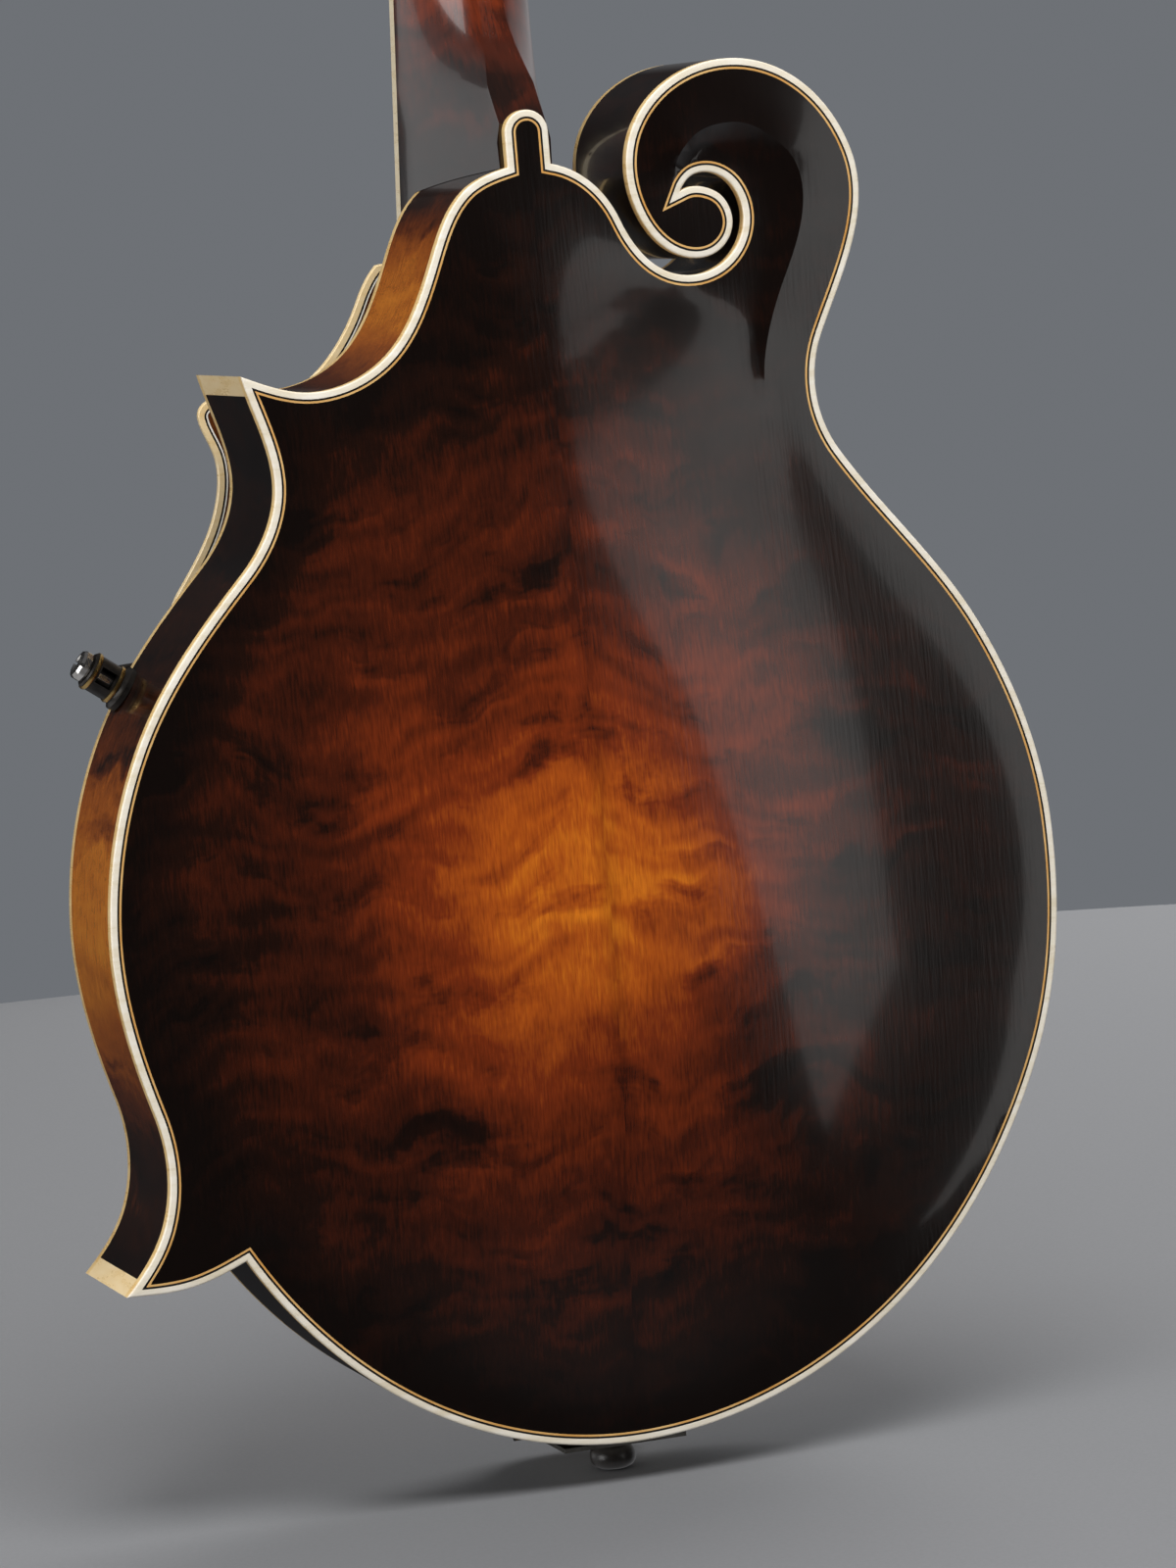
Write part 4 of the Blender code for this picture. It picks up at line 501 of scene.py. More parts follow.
def lathe(profile, steps=40, ripple=None, closed=False):
    """A turned form round Z from (radius, height) corners; ripple gives a share of the radius by angle."""
    verts, rows = [], []
    for radius, z in profile:
        if radius < 1e-7:
            rows.append([len(verts)])
            verts.append((0.0, 0.0, z))
            continue
        rows.append(list(range(len(verts), len(verts) + steps)))
        verts += [polar(radius * (ripple(a, z, radius) if ripple else 1.0), a, z) for a in circle(steps)]
    faces = []
    for low, high in zip(rows, rows[1:] + rows[:1] if closed else rows[1:]):
        for k in range(steps):
            j = (k + 1) % steps
            if len(low) == 1:
                faces.append((low[0], high[j], high[k]))
            elif len(high) == 1:
                faces.append((low[k], low[j], high[0]))
            else:
                faces.append((low[k], low[j], high[j], high[k]))
    return verts, faces


def moved(mesh, matrix):
    mesh.transform(matrix)
    return mesh


def rod(radius, low, high, steps=24, matrix=Matrix.Identity(4)):
    """A solid cylinder round Z, moved by the matrix."""
    return moved(solid(*lathe([(0, low), (radius, low), (radius, high), (0, high)], steps)), matrix)


def slab(half, start, end, low, high):
    """A solid box: half its width in X, its ends in Y and its levels in Z."""
    return solid(*prism([(-half, start), (half, start), (half, end), (-half, end)], low, high))


def tube(points, radius, sides=10):
    """A round bar along points; the radius is one number or one for each point."""
    points = [Vector(p) for p in points]
    rings, normal = [], None
    for i, p in enumerate(points):
        way = (points[min(i + 1, len(points) - 1)] - points[max(i - 1, 0)]).normalized()
        normal = way.orthogonal() if normal is None else normal - way * normal.dot(way)
        normal.normalize()
        side = way.cross(normal)
        r = radius[i] if isinstance(radius, (list, tuple)) else radius
        rings.append([p + r * (math.cos(a) * normal + math.sin(a) * side)
                      for a in circle(sides)])
    return sweep(rings)


def rounded(points, radius, count=6):
    """A path with each of its corners turned into an arc-like bend."""
    points = [Vector(p) for p in points]
    result = [points[0]]
    for a, b, c in zip(points[:-2], points[1:-1], points[2:]):
        reach = min(radius, (a - b).length * 0.48, (c - b).length * 0.48)
        start, end = b + (a - b).normalized() * reach, b + (c - b).normalized() * reach
        result += [start * (1 - t) ** 2 + b * (2 * t * (1 - t)) + end * t * t
                   for t in np.linspace(0, 1, count)]
    return result + [points[-1]]


# Materials


def nodes_of(name, **values):
    """A node material with a Principled shader; values set its sockets by name."""
    made = bpy.data.materials.new(name)
    made.use_nodes = True
    shader = made.node_tree.nodes["Principled BSDF"]
    for key, value in values.items():
        socket = shader.inputs[key.replace("_", " ")]
        socket.default_value = (*value, 1.0) if isinstance(value, tuple) else value
    return made, made.node_tree, shader


class Graph:
    """Short calls for building a node tree."""

    def __init__(self, tree):
        self.tree = tree

    def node(self, kind, inputs=(), **settings):
        made = self.tree.nodes.new(kind)
        for key, value in settings.items():
            setattr(made, key, value)
        for key, value in dict(inputs).items():
            if isinstance(value, bpy.types.NodeSocket):
                self.tree.links.new(value, made.inputs[key])
            else:
                made.inputs[key].default_value = value
        return made

    def place(self):
        return self.node("ShaderNodeTexCoord").outputs["Object"]

    def scaled(self, vector, size):
        return self.node("ShaderNodeMapping", {"Vector": vector, "Scale": size}).outputs[0]

    def noise(self, vector, scale, detail=3.0, roughness=0.5, distortion=0.0):
        return self.node("ShaderNodeTexNoise", {"Vector": vector, "Scale": scale, "Detail": detail,
                         "Roughness": roughness, "Distortion": distortion}).outputs["Fac"]

    def math(self, operation, a, b=0.0, c=0.0):
        return self.node("ShaderNodeMath", {0: a, 1: b, 2: c}, operation=operation).outputs[0]

    def ramp(self, factor, stops):
        made = self.node("ShaderNodeValToRGB", {"Fac": factor})
        elements = made.color_ramp.elements
        while len(elements) < len(stops):
            elements.new(0.5)
        for element, (at, colour) in zip(elements, stops):
            element.position = at
            element.color = (*colour, 1.0) if isinstance(colour, tuple) else (colour, colour, colour, 1.0)
        return made.outputs["Color"]

    def mix(self, factor, a, b, blend="MIX"):
        made = self.node("ShaderNodeMix", data_type="RGBA", blend_type=blend)
        sockets = {"Factor_Float": factor, "A_Color": a, "B_Color": b}
        for socket in made.inputs:
            if socket.identifier in sockets:
                value = sockets[socket.identifier]
                if isinstance(value, bpy.types.NodeSocket):
                    self.tree.links.new(value, socket)
                else:
                    socket.default_value = (*value, 1.0) if isinstance(value, tuple) else value
        return [s for s in made.outputs if s.identifier == "Result_Color"][0]

    def bump(self, height, strength, distance):
        return self.node("ShaderNodeBump", {"Height": height, "Strength": strength,
                         "Distance": distance}).outputs[0]

    def join(self, output, socket):
        self.tree.links.new(output, socket)


def figured_maple(name, stops, curl=(34.0, 5.0, 92.0), mirror=True, grain=(1500.0, 200.0, 150.0)):
    """Curly maple under tinted varnish: the stops colour it from its dark edge to its light middle."""
    rough = 0.20
    made, tree, shader = nodes_of(name, Roughness=rough, Coat_Weight=0.6, Coat_Roughness=0.06)
    g = Graph(tree)
    place = g.place()
    apart = g.node("ShaderNodeSeparateXYZ", {"Vector": place})
    x, y, z = apart.outputs
    across = g.math("ABSOLUTE", x) if mirror else x
    half = g.math("SIGN", x) if mirror else 1.0
    mirrored = g.node("ShaderNodeCombineXYZ", {"X": across, "Y": y, "Z": z}).outputs[0]
    # Curl: short dark folds across the grain, rising to the seam, bent and broken by slower noise
    drift = g.noise(g.scaled(place, (14.0, 14.0, 10.0)), 1.0, 3.0, 0.55)
    ripple = g.noise(g.scaled(mirrored, (80.0, 40.0, 90.0)), 1.0, 2.0, 0.5)
    height = g.math("MULTIPLY_ADD", drift, 0.075, z)
    height = g.math("MULTIPLY_ADD", ripple, 0.005, height)
    height = g.math("MULTIPLY_ADD", across, 0.10, height)

    def fold(step, detail):
        moved = g.math("ADD", height, step)
        bent = g.node("ShaderNodeCombineXYZ", {"X": across, "Y": y, "Z": moved}).outputs[0]
        return g.noise(g.scaled(bent, curl), 1.0, detail, 0.55)

    streak = g.ramp(fold(0.0, 3.0), [(0.50, 0.0), (0.63, 0.7), (0.78, 1.0)])
    # Painted light and shade: the difference of two shifted folds lights one side of each curl and shades the
    # other, mirrored on the two halves, standing in for the curls' shimmer; the folds themselves are the
    # wood's figure
    relief = g.math("SUBTRACT", fold(0.0016, 1.5), fold(-0.0016, 1.5))
    relief = g.math("MULTIPLY", relief, half)
    cloud = g.noise(g.scaled(place, (24.0, 10.0, 22.0)), 1.0, 5.0, 0.62)
    patch = g.ramp(g.noise(g.scaled(place, (26.0, 10.0, 40.0)), 2.2, 4.0, 0.6), [(0.44, 0.0), (0.62, 1.0)])
    # Fine fibres run up the plate, and short flecks lie along them
    line = g.noise(g.scaled(place, grain), 1.0, 2.0, 0.6)
    fleck = g.noise(g.scaled(place, (grain[0] * 1.5, grain[1], grain[2] * 1.9)), 1.0, 1.0, 0.5)
    pores = g.noise(g.scaled(place, (2600.0, 400.0, 170.0)), 1.0, 1.0, 0.5)
    shade = g.node("ShaderNodeAttribute", attribute_name="burst").outputs["Fac"]
    shift = g.math("MULTIPLY_ADD", g.math("SUBTRACT", cloud, 0.5), 0.62, shade)
    shift = g.math("MULTIPLY_ADD", g.math("MULTIPLY", streak, patch), -0.30, shift)
    # The painted light and shade of the curls goes into the colour here
    shift = g.math("MULTIPLY_ADD", relief, 0.38, shift)
    shift = g.math("MULTIPLY_ADD", g.math("SUBTRACT", line, 0.5), 0.20, shift)
    shift = g.math("MULTIPLY_ADD", g.math("SUBTRACT", fleck, 0.5), 0.16, shift)
    colour = g.ramp(shift, stops)
    speck = g.ramp(pores, [(0.30, 0.66), (0.46, 1.0)])
    colour = g.mix(0.5, colour, g.mix(1.0, colour, speck, "MULTIPLY"))
    if mirror:
        seam = g.ramp(g.math("ABSOLUTE", x), [(0.0, 0.62), (0.0004, 1.0)])
        colour = g.mix(0.6, colour, g.mix(1.0, colour, seam, "MULTIPLY"))
    g.join(colour, shader.inputs["Base Color"])
    wear = g.noise(g.scaled(place, (60.0, 60.0, 60.0)), 1.0, 4.0, 0.6)
    g.join(g.math("MULTIPLY_ADD", wear, 0.10, rough - 0.05), shader.inputs["Roughness"])
    skin = g.noise(g.scaled(place, (1100.0, 300.0, 80.0)), 1.0, 2.0, 0.5)
    g.join(g.bump(skin, 0.06, 0.0004), shader.inputs["Normal"])
    return made


def spruce(name, stops, burst=None, rough=0.18, coat=0.6):
    """Straight-grained spruce: fine darker lines up the plate."""
    made, tree, shader = nodes_of(name, Roughness=rough, Coat_Weight=coat, Coat_Roughness=0.05)
    g = Graph(tree)
    place = g.place()
    warp = g.noise(g.scaled(place, (6.0, 6.0, 2.0)), 1.0, 2.0, 0.5)
    apart = g.node("ShaderNodeSeparateXYZ", {"Vector": place})
    line = g.math("SINE", g.math("MULTIPLY_ADD", apart.outputs[0], 4600.0, g.math("MULTIPLY", warp, 14.0)))
    line = g.ramp(g.math("MULTIPLY_ADD", line, 0.5, 0.5), [(0.0, 1.0), (0.62, 0.96), (1.0, 0.66)])
    fleck = g.noise(g.scaled(place, (900.0, 200.0, 30.0)), 1.0, 2.0, 0.6)
    if burst:
        level = g.node("ShaderNodeAttribute", attribute_name=burst).outputs["Fac"]
    else:
        level = g.node("ShaderNodeValue").outputs[0]
        level.default_value = 0.8
    shift = g.math("MULTIPLY_ADD", g.math("SUBTRACT", fleck, 0.5), 0.10, level)
    cloud = g.noise(g.scaled(place, (20.0, 10.0, 20.0)), 1.0, 3.0, 0.6)
    shift = g.math("MULTIPLY_ADD", g.math("SUBTRACT", cloud, 0.5), 0.16, shift)
    colour = g.ramp(shift, stops)
    colour = g.mix(0.7, colour, g.mix(1.0, colour, line, "MULTIPLY"))
    g.join(colour, shader.inputs["Base Color"])
    g.join(g.bump(line, 0.10, 0.0003), shader.inputs["Normal"])
    return made


def plain(name, colour, other, rough, spread=0.08, metallic=0.0, coat=0.0, scale=300.0, bump=0.05,
          size=(1, 1, 1),
          side=()):
    """A mottled, slightly uneven finish between two colours, or two others on the body's side."""
    made, tree, shader = nodes_of(name, Roughness=rough, Metallic=metallic, Coat_Weight=coat)
    g = Graph(tree)
    place = g.scaled(g.place(), size)
    mottle = g.noise(place, scale, 4.0, 0.6)
    fine = g.noise(place, scale * 6.0, 2.0, 0.5)
    tone = g.ramp(mottle, [(0.3, 0.0), (0.7, 1.0)])
    shown = g.mix(tone, colour, other)
    if side:
        level = g.math("ABSOLUTE", g.node("ShaderNodeSeparateXYZ", {"Vector": g.place()}).outputs[1])
        edge = BODY_DEPTH / 2
        face = g.node("ShaderNodeMapRange",
                      {"Value": level, "From Min": edge - 0.0007, "From Max": edge - 0.0002})
        shown = g.mix(face.outputs[0], g.mix(tone, *side), shown)
    g.join(shown, shader.inputs["Base Color"])
    g.join(g.math("MULTIPLY_ADD", mottle, spread, rough - spread / 2), shader.inputs["Roughness"])
    g.join(g.bump(fine, bump, 0.0002), shader.inputs["Normal"])
    return made


BURST_BACK = [(0.0, (0.0045, 0.0022, 0.0015)), (0.20, (0.013, 0.0038, 0.0019)),
              (0.40, (0.062, 0.0098, 0.0028)),
              (0.60, (0.185, 0.0260, 0.0045)), (0.80, (0.420, 0.0820, 0.0065)), (1.0, (0.720, 0.200, 0.010))]
MAPLE_BACK = figured_maple("maple_back", BURST_BACK)
BURST_SIDE = [(0.0, (0.0045, 0.0020, 0.0014)), (0.20, (0.018, 0.0050, 0.0020)),
              (0.40, (0.105, 0.0220, 0.0040)),
              (0.60, (0.310, 0.0780, 0.0090)), (0.80, (0.550, 0.1750, 0.0170)), (1.0, (0.700, 0.280, 0.032))]
MAPLE_SIDE = figured_maple("maple_side", BURST_SIDE, (55.0, 5.0, 70.0), False, (300.0, 900.0, 110.0))
BURST_TOP = [(0.0, (0.006, 0.0022, 0.0012)), (0.25, (0.030, 0.0080, 0.0024)), (0.5, (0.190, 0.055, 0.008)),
             (0.75, (0.520, 0.210, 0.030)), (1.0, (0.700, 0.360, 0.075))]
SPRUCE_TOP = spruce("spruce_top", BURST_TOP, "burst")
BARE_SPRUCE = spruce("bare_spruce", [(0.0, (0.42, 0.26, 0.12)), (1.0, (0.66, 0.48, 0.27))], rough=0.6,
                     coat=0.0)
IVOROID = plain("ivoroid", (0.78, 0.64, 0.42), (0.86, 0.76, 0.56), 0.28, coat=0.3, scale=60.0, bump=0.02,
                size=(1, 1, 6))
BINDING = plain("binding", (0.79, 0.69, 0.51), (0.92, 0.86, 0.75), 0.28, coat=0.3, scale=60.0, bump=0.02,
                size=(1, 1, 6), side=((0.74, 0.47, 0.17), (0.84, 0.62, 0.30)))
IVOROID_AMBER = plain("ivoroid_amber", (0.80, 0.58, 0.28), (0.90, 0.72, 0.44), 0.28, coat=0.3, scale=60.0,
                      bump=0.02, size=(1, 1, 6))
LINE_BLACK = plain("line_black", (0.006, 0.005, 0.005), (0.012, 0.010, 0.009), 0.25, coat=0.3, bump=0.01)
LINE_IVORY = plain("line_ivory", (0.62, 0.30, 0.07), (0.78, 0.50, 0.20), 0.28, coat=0.3, scale=80.0,
                   bump=0.01)

LINE_WHITE = plain("line_white", (0.80, 0.76, 0.66), (0.88, 0.85, 0.78), 0.3, coat=0.3, bump=0.01)
NECK_MAPLE = figured_maple("neck_maple", BURST_BACK, (20.0, 16.0, 95.0), False)
EBONY = plain("ebony", (0.012, 0.010, 0.009), (0.030, 0.024, 0.020), 0.36, coat=0.1, scale=700.0, bump=0.12,
              size=(1, 0.12, 0.06))
BONE = plain("bone", (0.80, 0.75, 0.62), (0.88, 0.84, 0.74), 0.35, coat=0.2, scale=240.0, bump=0.03)
PEARL = plain("pearl", (0.62, 0.66, 0.64), (0.86, 0.82, 0.80), 0.16, coat=0.5, scale=420.0, bump=0.02,
              size=(1, 1, 0.4))
PEARL_BUTTON = plain("pearl_button", (0.70, 0.66, 0.56), (0.90, 0.87, 0.78), 0.22, coat=0.5, scale=210.0,
                     bump=0.02)
BLACK_LACQUER = plain("black_lacquer", (0.006, 0.005, 0.005), (0.012, 0.010, 0.009), 0.12, coat=0.6,
                      scale=90.0,
                      bump=0.01)
BLACK_PLASTIC = plain("black_plastic", (0.010, 0.010, 0.010), (0.018, 0.017, 0.016), 0.3, scale=500.0,
                      bump=0.02)
FRET_METAL = plain("fret_metal", (0.62, 0.61, 0.58), (0.72, 0.71, 0.68), 0.26, metallic=1.0, scale=900.0,
                   bump=0.03)
NICKEL = plain("nickel", (0.58, 0.54, 0.47), (0.70, 0.67, 0.61), 0.24, 0.16, 1.0, scale=160.0, bump=0.03)
BRASS = plain("brass", (0.55, 0.36, 0.12), (0.70, 0.50, 0.20), 0.28, 0.16, 1.0, scale=260.0, bump=0.04)
BRIGHT_METAL = plain("bright_metal", (0.70, 0.68, 0.64), (0.82, 0.80, 0.77), 0.18, 0.12, 1.0, scale=500.0,
                     bump=0.03)
BLACK_METAL = plain("black_metal", (0.012, 0.011, 0.010), (0.035, 0.030, 0.026), 0.34, 0.2, 0.6, scale=420.0,
                    bump=0.08)
STRING_STEEL = plain("string_steel", (0.60, 0.60, 0.58), (0.72, 0.71, 0.69), 0.25, metallic=1.0, scale=1500.0)
TORTOISE = plain("tortoise", (0.014, 0.004, 0.002), (0.12, 0.034, 0.008), 0.14, coat=0.5, scale=85.0,
                 bump=0.01)


def wound_metal(name):
    """A string's bronze winding: fine ridges along it."""
    made, tree, shader = nodes_of(name, Roughness=0.32, Metallic=1.0)
    g = Graph(tree)
    place = g.place()
    apart = g.node("ShaderNodeSeparateXYZ", {"Vector": place})
    ridge = g.math("SINE", g.math("MULTIPLY", apart.outputs[2], 16000.0))
    ridge = g.math("MULTIPLY_ADD", ridge, 0.5, 0.5)
    mottle = g.noise(place, 120.0, 3.0, 0.6)
    tone = g.mix(mottle, (0.50, 0.33, 0.15), (0.66, 0.47, 0.24))
    # The colour is darker in the grooves between the turns: painted shade
    g.join(g.mix(0.7, tone, g.mix(1.0, tone, g.ramp(ridge, [(0.0, 0.35), (0.6, 1.0)]), "MULTIPLY")),
           shader.inputs["Base Color"])
    g.join(g.bump(ridge, 0.5, 0.00008), shader.inputs["Normal"])
    return made


WOUND_STRING = wound_metal("wound_string")

# Body: plates, bindings, ribs, blocks


TOP_FORM = []


def film_over(points, faces, fixed, values, load):
    """A soap film over a net of triangles: given values at the fixed points, pushed up by the load."""
    count = len(points)
    tris = np.array(faces)
    corner = points[tris]
    stiff = np.zeros((len(tris), 3))
    for k in range(3):
        a = corner[:, (k + 1) % 3] - corner[:, k]
        b = corner[:, (k + 2) % 3] - corner[:, k]
        cross = np.abs(a[:, 0] * b[:, 1] - a[:, 1] * b[:, 0])
        stiff[:, k] = (a * b).sum(1) / np.maximum(cross, 1e-12) / 2
    area = np.abs(np.cross(corner[:, 1] - corner[:, 0], corner[:, 2] - corner[:, 0])) / 2
    rows = np.concatenate([tris[:, (k + 1) % 3] for k in range(3)])
    cols = np.concatenate([tris[:, (k + 2) % 3] for k in range(3)])
    weight = np.concatenate([stiff[:, k] for k in range(3)])
    force = load * np.bincount(tris.ravel(), np.repeat(area / 3, 3), count)
    free = np.ones(count, bool)
    free[fixed] = False
    film = np.zeros(count)
    film[fixed] = values

    def pull(f):
        step = weight * (f[rows] - f[cols])
        return np.bincount(rows, step, count) - np.bincount(cols, step, count)

    scale = np.bincount(rows, weight, count) + np.bincount(cols, weight, count)
    scale = np.where(scale > 1e-9, scale, 1.0)
    left = np.where(free, force - pull(film), 0.0)
    eased = left / scale
    way = eased.copy()
    worth = left @ eased
    for _ in range(2000):
        pulled = np.where(free, pull(way), 0.0)
        step = worth / max(way @ pulled, 1e-30)
        film += step * way
        left -= step * pulled
        eased = left / scale
        now = left @ eased
        if now < 1e-22:
            break
        way = eased + (now / worth) * way
        worth = now
    return film


def sound_hole_loops(side):
    """An f-shaped hole as three loops that overlap: the tapering S and a round eye at each end."""
    reach, middle_v = SOUND_HOLE_LENGTH / 2, BRIDGE_V - SOUND_HOLE_BELOW_BRIDGE
    left, right = [], []
    for t in np.linspace(-1, 1, 41):
        half = 0.0009 + 0.0017 * (1 - t * t)
        x = side * (SOUND_HOLE_X - SOUND_HOLE_SWAY * math.sin(2.2 * t) - SOUND_HOLE_LEAN * t)
        left.append(Vector((x - half, middle_v + reach * t)))
        right.append(Vector((x + half, middle_v + reach * t)))
    loops = [left + right[::-1]]
    for end, radius in ((1, 0.0030), (-1, 0.0040)):
        x = side * (SOUND_HOLE_X - end * (SOUND_HOLE_SWAY * 0.60 + SOUND_HOLE_LEAN))
        v = middle_v + end * (reach - radius * 0.7)
        loops.append([Vector((x + radius * math.cos(a), v + radius * math.sin(a)))
                      for a in circle(36)])
    return loops


def carved_plate(name, outline, sign, rise, finish, nodes, slot, holes=()):
    """A plate carved to its arch and to the scroll's ridge; sign is -1 for the back and 1 for the top."""
    loop = joined(inset(outline, BINDING_WIDTH + 2 * LINE_WIDTH))
    keep_off = inset(outline, BINDING_WIDTH + 2 * LINE_WIDTH + 0.4 * NET)
    ridge = curve_through(RIDGE, NET * 0.7)
    low_x, high_x = min(p.x for p in loop), max(p.x for p in loop)
    low_v, high_v = min(p.y for p in loop), max(p.y for p in loop)
    rows = int((high_v - low_v) / (NET * 0.87)) + 1
    net = np.array([(low_x + NET * (i + 0.5 * (j % 2)), low_v + NET * 0.87 * j)
                    for j in range(rows) for i in range(int((high_x - low_x) / NET) + 1)])
    kept = inside(net[:, 0], net[:, 1], keep_off)
    for line in [ridge, *holes]:
        way = np.array([(p.x, p.y) for p in line])
        near = np.min(((net[:, None] - way[None]) ** 2).sum(2), axis=1)
        kept &= near > (0.45 * NET) ** 2
    places, edges = list(loop), [(i, (i + 1) % len(loop)) for i in range(len(loop))]
    start = len(places)
    places += ridge
    edges += [(start + i, start + i + 1) for i in range(len(ridge) - 1)]
    for hole in holes:
        start = len(places)
        places += hole
        edges += [(start + i, start + (i + 1) % len(hole)) for i in range(len(hole))]
    places += [Vector(p) for p in net[kept]]
    points, _, faces, from_place, _, _ = delaunay_2d_cdt(places, edges, [list(range(len(loop)))], 1, 1e-7)
    flat = np.array([(p.x, p.y) for p in points])
    source = [set(s) for s in from_place]
    rim = np.array([k for k, s in enumerate(source) if any(i < len(loop) for i in s)])
    arch = film_over(flat, faces, rim, 0.0, 1.0)
    arch /= arch.max()
    first = len(loop)
    crest = {k: min(i - first for i in s if first <= i < first + len(ridge))
             for k, s in enumerate(source) if any(first <= i < first + len(ridge) for i in s)}
    line = np.array(sorted(crest))

    def ridge_height(along):
        return np.clip(along / 0.10, 0.15, 1) * np.clip(1 - along, 0, 1) ** 0.95

    height = ridge_height(np.array([crest[k] for k in line]) / (len(ridge) - 1))
    comb = film_over(flat, faces, np.concatenate([rim, line]), np.concatenate([0 * rim, height]), 0.0)
    comb = np.clip(comb, 0, 1)
    # The wood runs straight from the ridge to the outer edge, and is scooped between the ridge and the slot
    centre = np.array([(p.x, p.y) for p in ridge])
    ways = np.array([(b - a).normalized() for a, b in zip(ridge[:-1], ridge[1:])])
    far = ((flat[:, None] - centre[None]) ** 2).sum(2)
    nearest = np.argmin(far[:, :-1], axis=1)
    away = flat - centre[nearest]
    outside = ways[nearest, 0] * away[:, 1] - ways[nearest, 1] * away[:, 0] < 0
    pull = 1 / (far + 1e-7) ** 2
    crown = (pull * ridge_height(np.arange(len(ridge)) / (len(ridge) - 1))).sum(1) / pull.sum(1)
    hollow = comb * np.clip(crown - comb, 0, 1) / np.maximum(crown, 0.1)
    comb = comb - np.where(outside, 0.1, SCOOP) * hollow
    # A groove follows the ridge on its inner side and dies out with it
    step = np.sqrt(far.min(1))
    spot = (pull * np.linspace(0, 1, len(ridge))).sum(1) / pull.sum(1)
    groove = step / GROOVE_WIDTH * np.exp(1 - step / GROOVE_WIDTH) * np.clip(1 - step / 0.028, 0, 1) ** 2
    groove *= np.clip(spot / 0.25, 0, 1) * np.clip((1 - spot) / 0.30, 0,
                                                   1) * np.clip(arch * 12, 0, 1) * ~outside
    lift = rise * arch ** ARCH_FULLNESS + RIDGE_RISE * comb - GROOVE_DEPTH * groove
    half = BODY_DEPTH / 2
    thick = BINDING_HEIGHT + (PLATE_CENTRE - BINDING_HEIGHT) * arch ** ARCH_FULLNESS
    outer = [(x, v, sign * (half + h)) for (x, v), h in zip(flat, lift)]
    inner = [(x, v, sign * (half + h - t)) for (x, v), h, t in zip(flat, lift, thick)]
    middle = np.array([flat[list(f)].mean(0) for f in faces])
    wood = np.ones(len(faces), bool)
    for hole in holes:
        wood &= ~inside(middle[:, 0], middle[:, 1], hole)
    shown = [f for f, good in zip(faces, wood) if good]
    count = len(flat)
    skin = [tuple(f) for f in shown] + [tuple(count + i for i in reversed(f)) for f in shown]
    sides = dict.fromkeys((a, b) for f in shown for a, b in zip(f, list(f[1:]) + [f[0]]))
    skin += [(b, a, count + a, count + b) for a, b in sides if (b, a) not in sides]
    if sign < 0:
        skin = [f[::-1] for f in skin]
    plate = piece(name, outer + inner, skin, [finish, BARE_SPRUCE], BODY, nodes, smooth=40, slot=slot)
    # The ridge stays a crisp line
    for edge in plate.data.edges:
        a, b = edge.vertices
        if a in crest and b in crest and crest[a] < 0.9 * len(ridge):
            edge.use_edge_sharp = True
    return plate, arch, lift, flat


def height_at(x, v):
    """The n of the carved top's outside."""
    flat, lift = TOP_FORM
    far = (flat[:, 0] - x) ** 2 + (flat[:, 1] - v) ** 2
    near = np.argpartition(far, 6)[:6]
    weight = 1 / (far[near] + 1e-8)
    return BODY_DEPTH / 2 + float((lift[near] * weight).sum() / weight.sum())


def burst_level(flat, arch, centre, reach):
    """How light the varnish is: 0 at the edge to 1 in the middle, in an oval about the centre."""
    oval = np.hypot((flat[:, 0] - centre[0]) / reach[0], (flat[:, 1] - centre[1]) / reach[1])
    glow = np.clip(1.0 - oval, 0.0, 1.0)
    return np.clip(0.95 * glow ** 0.9 * np.clip(arch * 2.2, 0, 1) + 0.10 * arch, 0, 1)


def spot_glow(flat, centre, reach, power):
    """A soft oval spot about the centre, flatter in its middle at a higher power."""
    x, v = (flat[:, 0] - centre[0]) / reach[0], (flat[:, 1] - centre[1]) / reach[1]
    return np.exp(-(x ** 2 + v ** 2) ** power)


def set_burst(thing, values):
    """Stores how light the varnish is at each point, which the wood materials read."""
    level = thing.data.attributes.new("burst", "FLOAT", "POINT")
    level.data.foreach_set("value", values.astype(np.float32))


